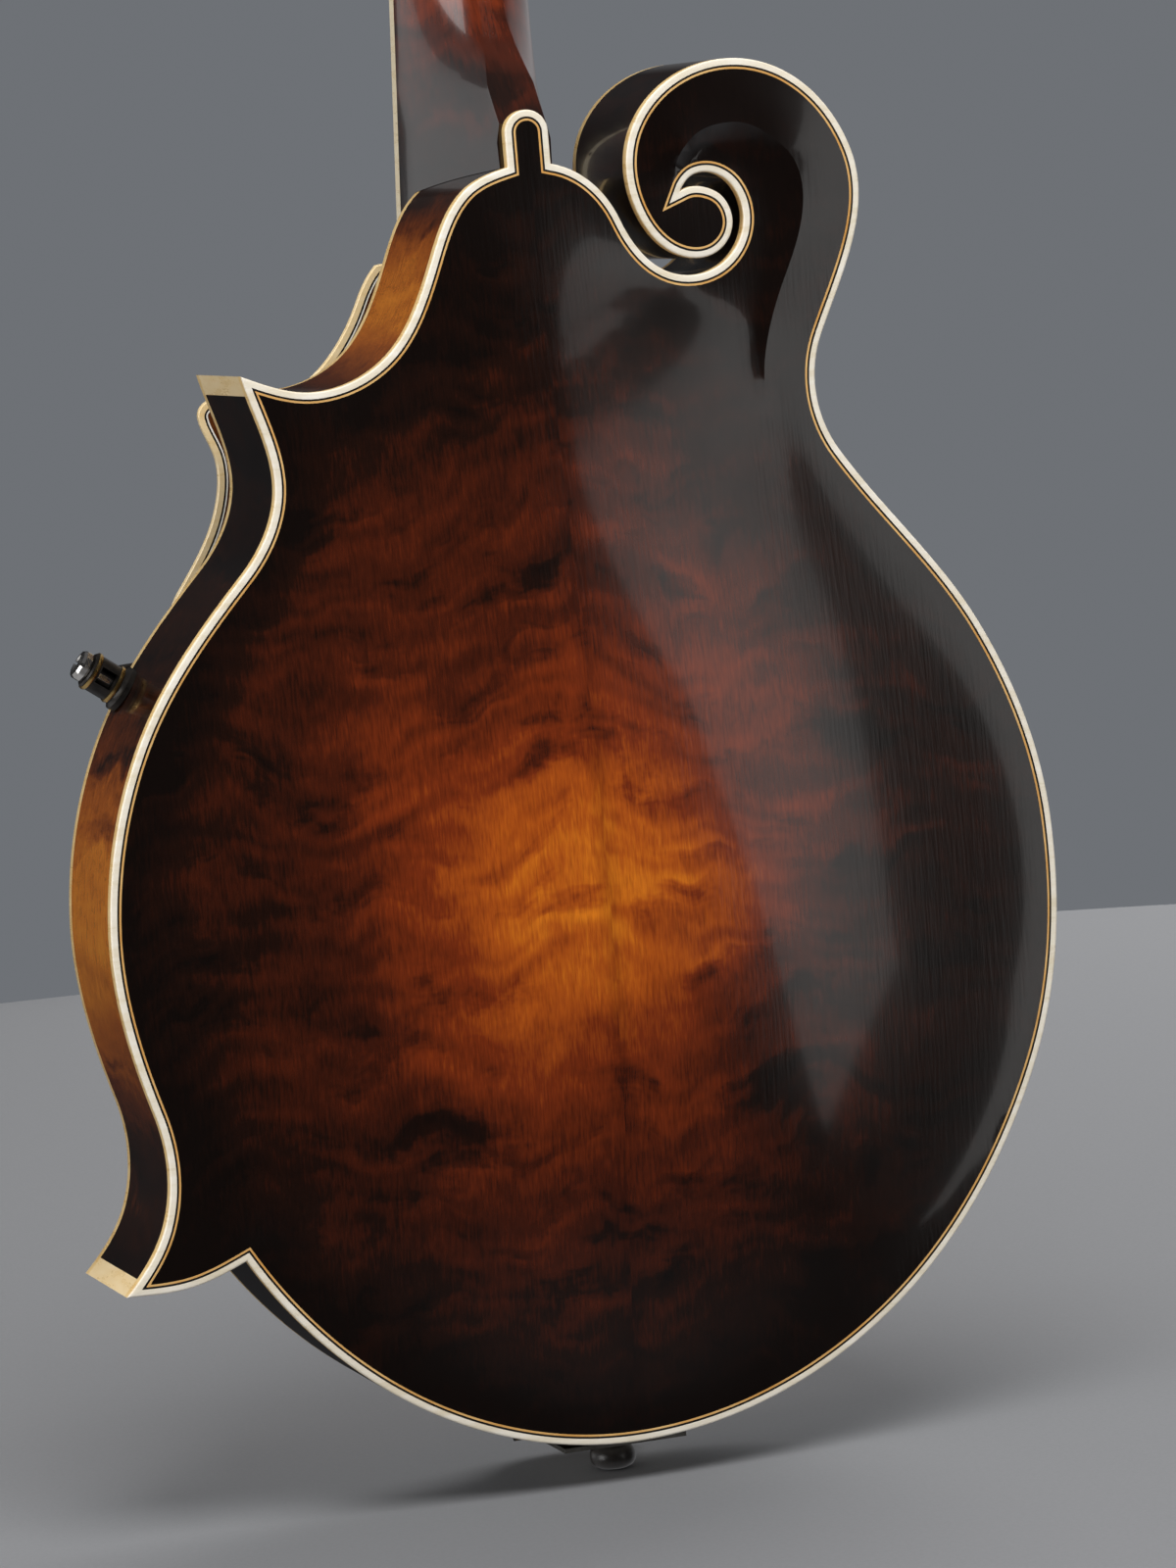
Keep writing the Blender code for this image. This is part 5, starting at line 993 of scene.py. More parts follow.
def make_body():
    plate, arch, _, flat = carved_plate("back_plate_carved", BACK_OUTLINE, -1, BACK_RISE, MAPLE_BACK,
                                        ["back_plate"], "maple_back")
    core = spot_glow(flat, (0.003, 0.138), (0.046, 0.047), 1.4)
    glow = spot_glow(flat, (0.010, 0.163), (0.082, 0.098), 1.4)
    foot = spot_glow(flat, (0.012, 0.080), (0.072, 0.046), 1.3)
    burst = np.clip(0.12 + 0.405 * np.maximum(glow, 0.80 * foot) + 0.33 * core, 0,
                    1) * np.clip(arch * 4.0, 0, 1)
    set_burst(plate, np.tile(burst, 2))
    holes = [loop for side in (-1, 1) for loop in sound_hole_loops(side)]
    plate, arch, lift, flat = carved_plate("top_plate_carved", OUTLINE, 1, TOP_RISE, SPRUCE_TOP,
                                           ["top_plate"], "spruce_top", holes)
    TOP_FORM.extend([flat, lift])
    set_burst(plate, np.tile(burst_level(flat, arch, (0.0, 0.150), (0.190, 0.220)), 2))
    half, r = BODY_DEPTH / 2, BINDING_ROUND
    for name, loop, sign, nodes in (("back", BACK_OUTLINE, -1, ["back_binding", "heel_binding"]),
                                    ("top", OUTLINE, 1, ["top_binding"])):
        round_edge = [(r * (1 - math.cos(a)), half - r * (1 - math.sin(a)))
                      for a in np.linspace(0, math.pi / 2, 5)]
        section = [(0.0, half - BINDING_HEIGHT)] + round_edge + [(BINDING_WIDTH, half),
                                                                  (BINDING_WIDTH, half - BINDING_HEIGHT)]
        verts, faces = edge_strip(loop, [(d, sign * n) for d, n in section])
        piece(f"{name}_binding_strip", verts, faces, BINDING, BODY, nodes, slot="ivoroid")
        for line, start, finish in (("black", 0, LINE_BLACK), ("ivory", 1, LINE_IVORY)):
            near = BINDING_WIDTH + start * LINE_WIDTH
            section = [(near, half - 0.002), (near, half + 0.00003), (near + LINE_WIDTH, half + 0.00003),
                       (near + LINE_WIDTH, half - 0.002)]
            verts, faces = edge_strip(loop, [(d, sign * n) for d, n in section])
            piece(f"{name}_line_{line}", verts, faces, finish, BODY)
    make_ribs()


def side_burst(thing, dark_to):
    """Darkens a side piece towards the points, the scroll and the neck."""
    co = np.array([v.co for v in thing.data.vertices])
    set_burst(thing, dark_to(co[:, 0], co[:, 2] - ENDPIN_LENGTH))


def make_ribs():
    rim = BODY_DEPTH / 2 - BINDING_HEIGHT - 0.00002
    cap = CAP_LENGTH + 0.0001
    ribs = [
        ("rib_bass", "bass_side", 0.0, 0.0, 0.022, 0.0303),
        ("rib_treble_lower", "treble_tail", 0.0, 0.0, 0.0303, 0.020),
        ("rib_treble_waist", "waist", cap, cap, 0.034, 0.032),
        ("rib_treble_upper", "shoulder_treble", cap, 0.002, 0.028, 0.040),
    ]
    made = []
    for name, side, start, end, lining_start, lining_end in ribs:
        path = PATHS[side]
        whole = path_length(path)
        stops = [start, lining_start, lining_start + RIB_THICKNESS, whole - lining_end - RIB_THICKNESS,
                 whole - lining_end, whole - end - 1e-6]
        places, lined = [], []
        for k in (0, 2, 4):
            part = stretch(path, stops[k], stops[k + 1])
            places += part
            lined += [k == 2] * len(part)
        wall = inset(places, RIB_THICKNESS, closed=False)
        narrow = inset(places, RIB_THICKNESS + GAP, closed=False)
        wide = inset(places, RIB_THICKNESS + LINING_WIDTH, closed=False)
        top, slope = rim - LINING_HEIGHT, LINING_WIDTH / 2
        rings = []
        for p, q, thin, thick, has_lining in zip(places, wall, narrow, wide, lined):
            r = thick if has_lining else thin
            rings.append([(p.x, p.y, -rim), (p.x, p.y, rim), (r.x, r.y, rim), (r.x, r.y, top),
                          (q.x, q.y, top - slope), (q.x, q.y, slope - top), (r.x, r.y, -top),
                          (r.x, r.y, -rim)])
        made.append(piece(name + "_bent", *sweep(rings), MAPLE_SIDE, BODY, [name], slot="maple_side"))
    behind = RIB_THICKNESS + 2 * GAP
    bare = joined(PATHS["shoulder_bass"][:-1], PATHS["scroll"])
    upper = inset(stretch(PATHS["shoulder_treble"], 0.069, -0.002), behind, closed=False)
    step = inset(bare[-2:], behind, closed=False)[-1]
    inner = [step] + [Vector((mm_x(x), mm_v(v))) for x, v in ((-58, 268), (-28, 282), (8, 286))]
    made.append(piece("scroll_block", *prism(bare + inner + upper, -rim, rim), MAPLE_SIDE, BODY,
                      ["head_block"],
                      slot="maple_side"))
    under = stretch(PATHS["lower_point"], 0.0, -(CAP_LENGTH + 0.0001))
    beside = inset(stretch(PATHS["waist"], CAP_LENGTH * 2.0, 0.030), behind, closed=False)
    inner = [beside[-1] + Vector((-0.008, 0.0)), under[0] + Vector((0.0012, 0.006))]
    made.append(piece("lower_point_wood", *prism(under + beside + inner, -rim, rim), MAPLE_SIDE, BODY,
                      ["lower_point_block"], slot="maple_side"))
    for thing in made:
        side_burst(thing, lambda x, v: np.clip(0.80 * np.exp(-((v - 0.146) / 0.052) ** 2)
                   + 0.74 * np.exp(-((v - 0.296) / 0.024) ** 2) * (x > 0.01) * (x < 0.06), 0.04, 1.0))
    for name, first, second in (("lower_point_cap", "lower_point", "waist"),
                                ("upper_point_cap", "waist", "shoulder_treble")):
        before = stretch(PATHS[first], path_length(PATHS[first]) - CAP_LENGTH, -1e-6)
        after = stretch(PATHS[second], 0.0, CAP_LENGTH)
        piece(name + "_block", *prism(before[:-1] + after, -rim, rim), IVOROID_AMBER, BODY, [name],
              slot="ivoroid")


# Neck, fingerboard and headstock


def half_board(s):
    """Half the fingerboard's width at a distance up the neck."""
    return (BOARD_WIDTH_JOINT + (BOARD_WIDTH_NUT - BOARD_WIDTH_JOINT) / NUT * s) / 2


def neck_section(s, shift=0.0, swell=1.0, drop=0.0):
    """The neck across s: flat in front and round behind, with flatter sides where it flares into the heel."""
    flare = min(1.0, max(0.0, (HEEL_LENGTH - s) / (HEEL_LENGTH - HEEL_FULL))) ** HEEL_FLARE
    shaft = NECK_DEPTH_HEEL + (NECK_DEPTH_NUT
                               - NECK_DEPTH_HEEL) * max(0.0, s - HEEL_LENGTH) / (NUT - HEEL_LENGTH)
    depth = shaft + (BODY_DEPTH + BOARD_RISE - shaft) * flare
    half, end_half = half_board(s), BUTTON_HALF * min(1.0, flare * 1.6) + 0.0004
    mix = min(1.0, flare * 1.5)
    early, late = 1.8 + (1.35 - 1.8) * mix, 0.62 + (1.1 - 0.62) * mix
    side = []
    for u in np.sin(np.linspace(0, math.pi / 2, 18)):
        across = end_half + (half - end_half) * (1 - u ** early) ** late
        side.append((across, s + shift, -depth * u * swell - drop))
    return side + [(-x, s, n) for x, s, n in reversed(side)]


def head_loop():
    def scale_x(value):
        return value / DRAWN_HEAD_WIDTH * HEAD_WIDTH

    def scale_v(value):
        return value / DRAWN_HEAD_LENGTH * HEAD_LENGTH

    return joined(*[curve_through(stations, 0.0015, (scale_x, scale_v))
                    for stations in (HEAD_RIGHT, HEAD_TREBLE, HEAD_TOP, HEAD_BASS, HEAD_LEFT)])


def to_neck(mesh, matrix):
    return moved(mesh, NECK.inverted() @ matrix)


def tuner_place(side, v):
    return Matrix.Translation((side * TUNER_SIDE, v, 0))


def make_neck():
    stops = np.concatenate([np.linspace(-HEEL_FOOT, HEEL_LENGTH, 60),
                            np.linspace(HEEL_LENGTH + 0.004, NUT, 44)])
    shaft = solid(*sweep([neck_section(s) for s in stops]))
    head = to_neck(solid(*prism(head_loop(), -HEAD_THICKNESS, GAP / 3)), HEAD)
    volute = solid(*sweep([neck_section(NUT - 0.012 + 0.0115 * t) for t in np.linspace(0, 1, 4)]
                          + [neck_section(NUT, -GAP + 0.017 * t, 1 + 0.26 * math.sin(t * math.pi / 2),
                                          0.0028 * t)
                             for t in np.linspace(0, 1, 12)]))
    rest = []
    for v in np.linspace(JOINT_V + 0.008, JOINT_V - 0.066, 26):
        wide = half_board(0) - 0.004
        crest = BODY_DEPTH / 2 + BOARD_RISE - math.tan(NECK_ANGLE) * (v - JOINT_V) + 0.001
        across = np.linspace(-wide, wide, 9)
        rest.append([(x, v, height_at(x, v) + 0.00005) for x in across]
                    + [(x, v, crest) for x in across[::-1]])
    rest = to_neck(solid(*sweep(rest)), BODY)
    mesh = worked(shaft, [head, volute, rest], "UNION")
    room = to_neck(solid(*prism(inset(OUTLINE, -GAP / 3), -BODY_DEPTH / 2 - 0.002, BODY_DEPTH / 2)), BODY)
    behind = -BODY_DEPTH / 2 + BINDING_HEIGHT
    back_room = to_neck(slab(0.05, JOINT_V - 0.03, JOINT_V + 0.03, behind - 0.05, behind), BODY)
    board_room = slab(0.06, -0.12, NUT, 0.0, 0.04)
    head_room = to_neck(slab(0.06, 0, 0.2, GAP / 3, 0.04), HEAD)
    channel = slab(ROD_CHANNEL_WIDTH / 2, 0.006, NUT + 0.020, -ROD_CHANNEL_DEPTH, 0.02)
    holes = [to_neck(rod(POST_HOLE, -0.05, 0.05), HEAD @ tuner_place(side, v)) for side, v in TUNERS]
    mesh = worked(mesh, [room, back_room, board_room, head_room, channel, merged(holes)])
    neck = placed("neck_carved", mesh, [NECK_MAPLE], NECK, ["neck"], smooth=32)
    side_burst(neck, lambda x, v: np.clip(0.56 - 0.40 * np.exp(-((v - JOINT_V + 0.01) / 0.050) ** 2)
               - 0.40 * np.clip((v - JOINT_V - NUT + 0.01) / 0.03, 0, 1), 0.12, 1.0))


def board_outline():
    end = fret_place(FRET_COUNT) - 0.004
    step, middle = fret_place(21) - 0.002, fret_place(25)
    wide, slim = half_board(step), half_board(end)
    stations = [(half_board(NUT), NUT - GAP / 3), (-half_board(NUT), NUT - GAP / 3), (-wide, step),
                (-wide * 0.45, step - 0.004), (-half_board(middle) * 0.10, middle), (slim * 0.15, end),
                (slim, end)]
    loop = []
    for (x0, y0), (x1, y1) in zip(stations, stations[1:] + stations[:1]):
        count = max(1, int(math.hypot(x1 - x0, y1 - y0) / 0.012))
        loop += [Vector((x0 + (x1 - x0) * k / count, y0 + (y1 - y0) * k / count)) for k in range(count)]
    return loop


def span_at(loop, s):
    """Where a line across a closed outline at s enters and leaves it."""
    hits = [a.x + (b.x - a.x) * (s - a.y) / (b.y - a.y) for a, b in zip(loop, loop[1:] + loop[:1])
            if (a.y > s) != (b.y > s)]
    return min(hits), max(hits)


def make_board():
    loop = board_outline()
    low, high = 0.00002, BOARD_THICKNESS
    core = inset(loop, BOARD_BINDING + LINE_WIDTH)
    piece("fingerboard_core", *prism(joined(core), low, high), EBONY, NECK, ["fingerboard"], slot="ebony")
    for name, near, far, finish in (("fingerboard_binding", 0.0, BOARD_BINDING, IVOROID),
                                    ("fingerboard_line", BOARD_BINDING, BOARD_BINDING + LINE_WIDTH,
                                     LINE_BLACK)):
        lift = 0.0 if near else 0.00002
        round_off = 0.0004 if near == 0.0 else 0.0
        section = [(near, low), (near, high - round_off), (near + round_off, high + lift), (far, high + lift),
                   (far, low)]
        if not round_off:
            section = [(near, low), (near, high), (far, high), (far, low)]
        piece(name, *edge_strip(loop, section), finish, NECK)
    verts, faces = [], []
    for fret in range(1, FRET_COUNT + 1):
        s = fret_place(fret)
        left, right = span_at(loop, s)
        rings = []
        for x, share in ((left + 0.0004, 0.25), (left + 0.0009, 0.85), (left + 0.0016, 1.0),
                         (right - 0.0016, 1.0),
                         (right - 0.0009, 0.85), (right - 0.0004, 0.25)):
            arc = [(x, s + FRET_WIDTH / 2 * math.cos(a), high + FRET_HEIGHT * share * math.sin(a))
                   for a in np.linspace(0, math.pi, 9)]
            rings.append([(x, s + FRET_WIDTH / 2, high - 0.0005)] + arc
                         + [(x, s - FRET_WIDTH / 2, high - 0.0005)])
        more, sides = sweep(rings)
        faces += [tuple(i + len(verts) for i in f) for f in sides]
        verts += more
    piece("frets", verts, faces, FRET_METAL, NECK, slot="nickel")
    dots = [(5, 0), (7, 0), (10, 0), (12, -1), (12, 1), (15, 0)]
    discs = []
    for fret, off in dots:
        s = (fret_place(fret) + fret_place(fret - 1)) / 2
        radius = 0.0026 if fret < 12 else 0.0021
        discs.append(rod(radius, -0.0006, 0.00003, 32, Matrix.Translation((off * 0.0068, s, high))))
    placed("fingerboard_dots", merged(discs), PEARL, NECK)
    discs = []
    for fret in (3, 5, 7, 10, 12, 15):
        s = (fret_place(fret) + fret_place(fret - 1)) / 2
        place = Matrix.Translation((-half_board(s), s, high / 2)) @ Matrix.Rotation(-math.pi / 2, 4, "Y")
        discs.append(rod(0.0009, -0.0006, 0.00003, 20, place))
    placed("side_dots", merged(discs), LINE_BLACK, NECK)
    # Nut, with a slot under each string
    half, rings = half_board(NUT), []
    slots = [(string_x(k, STRING_SPREAD_NUT), r) for k, r in enumerate(STRING_RADII)]
    marks = sorted([-half, half, -half + 0.0008, half - 0.0008]
                   + [x + d * r * 1.15 for x, r in slots for d in (-1.02, -1, -0.5, 0, 0.5, 1, 1.02)])
    for x in marks:
        level = NUT_HEIGHT + GAP + 0.0008
        for centre, r in slots:
            d = abs(x - centre) / (r * 1.15)
            if d <= 1.001:
                level = NUT_HEIGHT + GAP - r * 1.15 * (math.sqrt(max(0.0, 1 - d * d)) - 1) - 0.00006
        edge = 0.0007 if abs(x) > half - 0.0004 else 0.0
        back = NUT + NUT_THICKNESS
        rings.append([(x, NUT + GAP / 3, 0.0001), (x, back, 0.0001), (x, back, level - 0.0022 - edge),
                      (x, back - 0.0012, level - 0.0006 - edge), (x, back - 0.0026, level - 0.00005 - edge),
                      (x, NUT + GAP / 3, level - edge)])
    piece("nut_slotted", *sweep(rings), BONE, NECK, ["nut"], slot="bone")


def petal(length, width, turn, place, bend=0.0, count=18):
    """A leaf-shaped outline."""
    points = []
    for side in (1, -1):
        for t in np.linspace(0, 1, count)[:-1] if side > 0 else np.linspace(1, 0, count)[:-1]:
            y = t * length
            x = side * width / 2 * math.sin(math.pi * t ** 0.8) + bend * math.sin(math.pi * t)
            points.append(Vector((x * math.cos(turn) - y * math.sin(turn) + place[0],
                                  x * math.sin(turn) + y * math.cos(turn) + place[1])))
    return points


def make_headstock():
    loop = head_loop()
    low, high = GAP / 3 + 0.00002, GAP + OVERLAY_THICKNESS
    edge = BINDING_WIDTH
    nut_room = slab(0.05, -0.02, NUT_THICKNESS + GAP, -0.02, 0.02)
    for name, near, far, finish in (("headstock_binding", 0.0, edge, IVOROID),
                                    ("headstock_line", edge, edge + LINE_WIDTH, LINE_IVORY)):
        section = [(near, low), (near, high - 0.0003), (near + 0.0003, high), (far, high), (far, low)]
        if near:
            section = [(near, low), (near, high + 0.00002), (far, high + 0.00002), (far, low)]
        placed(name, worked(solid(*edge_strip(loop, section)), [nut_room]), finish, HEAD)
    veneer = solid(*prism(joined(inset(loop, edge + LINE_WIDTH)), low, high))
    pocket = slab(0.005, 0.002, COVER_LENGTH * 0.8, -0.01, 0.01)
    holes, rims = [], []
    for side, v in TUNERS:
        holes.append(rod(POST_HOLE, -0.02, 0.02, matrix=tuner_place(side, v)))
        inner = POST_HOLE
        rim = solid(*lathe([(inner, high - 0.001), (inner, high + 0.0007), (inner + 0.0006, high + 0.0010),
                            (inner + 0.0015, high + 0.0006), (inner + 0.0018, high + 0.00005),
                            (inner + 0.0012, high + 0.00002), (inner + 0.0002, high - 0.001)], 32,
                           closed=True))
        rims.append(moved(rim, tuner_place(side, v)))
    placed("headstock_face", worked(veneer, [nut_room, pocket, merged(holes)]), BLACK_LACQUER, HEAD,
           ["headstock_overlay"])
    placed("post_ferrules", merged(rims), NICKEL, HEAD)
    # Pearl flower with leaves
    shapes = [petal(0.012, 0.0058, math.tau * k / 6, (0.0, 0.115)) for k in range(6)]
    shapes += [petal(0.020, 0.0056, turn, (0.0, start), bend) for turn, start, bend in
               ((0.75, 0.083, 0.0015), (-0.75, 0.083, -0.0015), (0.85, 0.066, 0.0012),
                (-0.85, 0.066, -0.0012))]
    shapes += [petal(0.013, 0.0016, 0.0, (0.0, 0.088)), petal(0.014, 0.0050, 0.5, (-0.006, 0.132), 0.001)]
    placed("headstock_inlay", merged([solid(*prism(s, high - 0.0004, high + 0.00003)) for s in shapes]),
           PEARL, HEAD)
    # Bell-shaped cover of the truss rod's end
    half = COVER_WIDTH / 2
    bell = curve_through([(half, 0, 90), (half * 0.94, COVER_LENGTH * 0.35, 98),
                          (half * 0.45, COVER_LENGTH * 0.80, 112),
                          (0, COVER_LENGTH, 150)], 0.0008, (float, float))
    loop = bell + [Vector((-p.x, p.y)) for p in reversed(bell[:-1])]
    loop = [p + Vector((0, NUT_THICKNESS + 2 * GAP)) for p in loop]
    level, slim = high + 0.00003, 0.0009
    rings = [[(p.x, p.y, n) for p in inset(loop, d)] for d, n in
             ((0, level), (0, level + 0.0009), (0.0003, level + 0.0013),
              (slim, level + COVER_THICKNESS - 0.0001),
              (slim * 1.4, level + COVER_THICKNESS))]
    piece("truss_cover_bell", *sweep(rings), BLACK_PLASTIC, HEAD, ["truss_rod_cover"], slot="black_plastic")
    piece("truss_cover_edge",
          *edge_strip(loop, [(-0.0001, level), (-0.0001, level + 0.0005), (0.0002, level + 0.0005),
                             (0.0002, level)]), IVOROID, HEAD)
    screws = [screw_mesh(0.0016, (x, y, level + COVER_THICKNESS), turn)
              for x, y, turn in ((-0.0045, 0.011, 0.5), (0.0045, 0.011, 2.0), (0.0, 0.031, 1.2))]
    placed("truss_cover_screws", merged(screws), NICKEL, HEAD)
    end = NUT + ROD_END + GAP
    nut = solid(*lathe([(0.0009, 0.0), (0.0021, 0.0), (0.0024, 0.0003), (0.0024, 0.0067),
                        (0.0021, ROD_NUT_LENGTH),
                        (0.0009, ROD_NUT_LENGTH)], 6, closed=True))
    nut.transform(Matrix.Translation((0, end, -(ROD_CHANNEL_DEPTH - ROD_RADIUS - GAP)))
                  @ Matrix.Rotation(-math.pi / 2, 4, "X"))
    placed("truss_rod_hexagon", nut, BRASS, NECK, ["truss_rod_nut"], "truss_rod_nut")


def screw_mesh(radius, place, turn, turn_matrix=None):
    """A domed screw head with a straight slot; its top is out along Z."""
    head = solid(*lathe([(0, -radius), (radius * 0.5, -radius), (radius * 0.5, -0.0001), (radius, 0.0),
                         (radius * 0.97, radius * 0.18), (radius * 0.75, radius * 0.42),
                         (radius * 0.4, radius * 0.55), (0, radius * 0.58)], 24))
    wide = radius * 0.13
    slot = slab(wide, -radius * 1.1, radius * 1.1, radius * 0.22, radius)
    slot.transform(Matrix.Rotation(turn, 4, "Z"))
    mesh = worked(head, [slot])
    mesh.transform(Matrix.Translation(place) @ (turn_matrix or Matrix.Identity(4)))
    return mesh


# Tuners


def make_tuners():
    level = -HEAD_THICKNESS - GAP - TUNER_PLATE_THICKNESS
    top = -HEAD_THICKNESS - 0.00005
    first, last = TUNER_FIRST - 0.014, TUNER_FIRST + 3 * TUNER_SPACING + 0.010
    flip = Matrix.Rotation(math.pi, 4, "X")
    gear_top = level - GAP
    axle = gear_top - GEAR_THICKNESS / 2 - 0.0010
    off = GEAR_RADIUS + WORM_RADIUS + GAP
    for side, name in ((-1, "bass"), (1, "treble")):
        half, cap = TUNER_PLATE_WIDTH / 2, TUNER_PLATE_WIDTH / 2 * 0.7
        loop = [Vector((side * TUNER_SIDE + half * math.cos(a), middle + cap * math.sin(a)))
                for middle, start in ((last - cap, 0), (first + cap, math.pi))
                for a in np.linspace(start, start + math.pi, 17)]
        rings = [[(p.x, p.y, n) for p in inset(loop, d)] for d, n in
                 ((0, top), (0, level + 0.0003), (0.0003, level))]
        plate = solid(*sweep(rings))
        ears, bores, holes = [], [], []
        for at, v in TUNERS:
            if at != side:
                continue
            holes.append(rod(POST_HOLE, -0.03, 0, matrix=tuner_place(side, v)))
            for d in (-0.0056, 0.0056):
                arch = [(-0.0024, level + 0.0004), (0.0024, level + 0.0004)]
                arch += [(0.0024 * math.cos(a), axle + 0.0024 * math.sin(a))
                         for a in np.linspace(0, -math.pi, 13)]
                x0 = side * TUNER_SIDE + d
                verts = [(x0 + e, v - off + y, n) for e in (-0.0006, 0.0006) for y, n in arch]
                ears.append(solid(verts, prism(arch, 0, 0)[1]))
            axis = Matrix.Translation((side * TUNER_SIDE, v - off,
                                       axle)) @ Matrix.Rotation(math.pi / 2, 4, "Y")
            bores.append(rod(SHAFT_RADIUS + 0.0001, -0.01, 0.01, 16, axis))
        mesh = worked(worked(plate, [merged(holes)]), [merged(ears)], "UNION")
        placed(f"tuner_strip_{name}", worked(mesh, [merged(bores)]), NICKEL, HEAD, [f"tuner_plate_{name}"],
               smooth=30)
        spots = [first + 0.0035,
                 last - 0.0028] + [TUNER_FIRST + (k + 0.52) * TUNER_SPACING - 0.002 for k in range(3)]
        screws = [screw_mesh(0.0015, (side * TUNER_SIDE, v, level), 0.7 + 1.9 * k, flip)
                  for k, v in enumerate(spots)]
        placed(f"tuner_screws_{name}", merged(screws), NICKEL, HEAD)
    gear_low, stand, r = gear_top - GEAR_THICKNESS, POST_STAND, POST_RADIUS

    def teeth(a, z, radius):
        return 1 - 0.15 * (0.5 - 0.5 * math.tanh(2.4 * math.cos(14 * a))) if radius > r * 1.3 else 1.0

    profile = [(0, stand), (r * 0.7, stand), (r * 0.9, stand - 0.0003), (r, stand - 0.001),
               (r, stand - 0.0028),
               (r * 0.86, stand - 0.0036), (r * 0.82, stand - 0.005), (r * 0.84, stand - 0.0068),
               (r, stand - 0.008), (r, gear_top), (GEAR_RADIUS, gear_top), (GEAR_RADIUS, gear_low)]
    cap = [(r * 1.1, gear_low), (r * 0.66, gear_low - 0.00005), (r * 0.62, gear_low - 0.0006),
           (r * 0.4, gear_low - 0.0008), (0, gear_low - 0.0008)]
    post = solid(*lathe(profile + cap, 112, ripple=teeth))
    across = Matrix.Translation((0, 0, stand - 0.005)) @ Matrix.Rotation(math.pi / 2, 4, "Y")
    post = worked(post, [rod(0.0007, -0.01, 0.01, 12, across)])
    reach, end = HEAD_WIDTH / 2 - TUNER_SIDE - 0.010 + KEY_REACH, WORM_HALF_LENGTH
    pitch, core = math.tau * GEAR_RADIUS / 14, 0.0013

    def thread(a, z):
        crest = 0.5 + 0.5 * math.tanh(3 * math.cos(a - z * math.tau / pitch))
        return core + (WORM_RADIUS - core) * min(1.0, (end - abs(z)) / 0.0006) * crest

    worm = solid(*sweep([[polar(thread(a, z), a, z) for a in circle(24)]
                         for z in np.arange(-end, end + 1e-9, pitch / 10)]))
    collar = SHAFT_RADIUS * 1.6
    shaft = solid(*lathe([(0, -0.0072), (SHAFT_RADIUS * 0.9, -0.0072), (SHAFT_RADIUS, -0.0068),
                          (SHAFT_RADIUS, reach - 0.0062), (SHAFT_RADIUS * 1.25, reach - 0.0058),
                          (SHAFT_RADIUS * 1.3, reach - 0.0040), (SHAFT_RADIUS, reach - 0.0034),
                          (collar, reach - 0.0028), (collar * 1.05, reach - 0.0012), (collar, reach + 0.0004),
                          (0, reach + 0.0006)], 24))
    metal = worked(shaft, [worm], "UNION")
    metal.transform(Matrix.Rotation(math.pi / 2, 4, "Y"))
    button = []
    for t in np.linspace(0, 1, 25):
        grow = math.sin(math.pi * min(1.0, 0.06 + 0.94 * t)) ** 0.42 if t < 0.999 else 0.05
        wide = KEY_BUTTON_WIDTH / 2 * (0.34 + 0.66 * math.sin(math.pi / 2 * min(1, t * 2.2)) ** 1.5) * grow
        thick = KEY_BUTTON_THICKNESS / 2 * (0.62 + 0.38 * math.sin(math.pi / 2 * min(1, t * 2.2))) * grow
        ring = []
        for a in circle(40):
            c, s = math.cos(a), math.sin(a)
            ring.append((reach + KEY_BUTTON_LENGTH * t, math.copysign(abs(c) ** 0.8, c) * wide,
                         math.copysign(abs(s) ** 0.8, s) * thick))
        button.append(ring)
    button = solid(*sweep(button))
    for index, (side, v) in enumerate(TUNERS):
        number = index + 1
        place = HEAD @ Matrix.Translation((side * TUNER_SIDE, v, 0))
        placed(f"post_geared_{number}", post.copy(), NICKEL, place, [f"tuner_post_{number}"],
               f"tuner_post_{number}", smooth=30)
        turn = Matrix.Rotation(0.0 if side > 0 else math.pi, 4, "Z")
        spot = place @ turn @ Matrix.Translation((0, -side * off, axle))
        placed(f"worm_shaft_{number}", metal.copy(), NICKEL, spot, [f"tuner_key_{number}"],
               f"tuner_key_{number}", smooth=30)
        placed(f"key_button_{number}", button.copy(), PEARL_BUTTON, spot, body=f"tuner_key_{number}",
               smooth=50)


# Bridge, tailpiece and strings


def string_x(number, spread):
    """Across place of a string, in pairs, from the bass side."""
    pair, member = divmod(number, 2)
    return -spread / 2 + pair * (spread - PAIR_GAP) / 3 + member * PAIR_GAP


def stud_place(side):
    return Matrix.Translation((side * STUD_SPACING / 2, BRIDGE_V, 0))


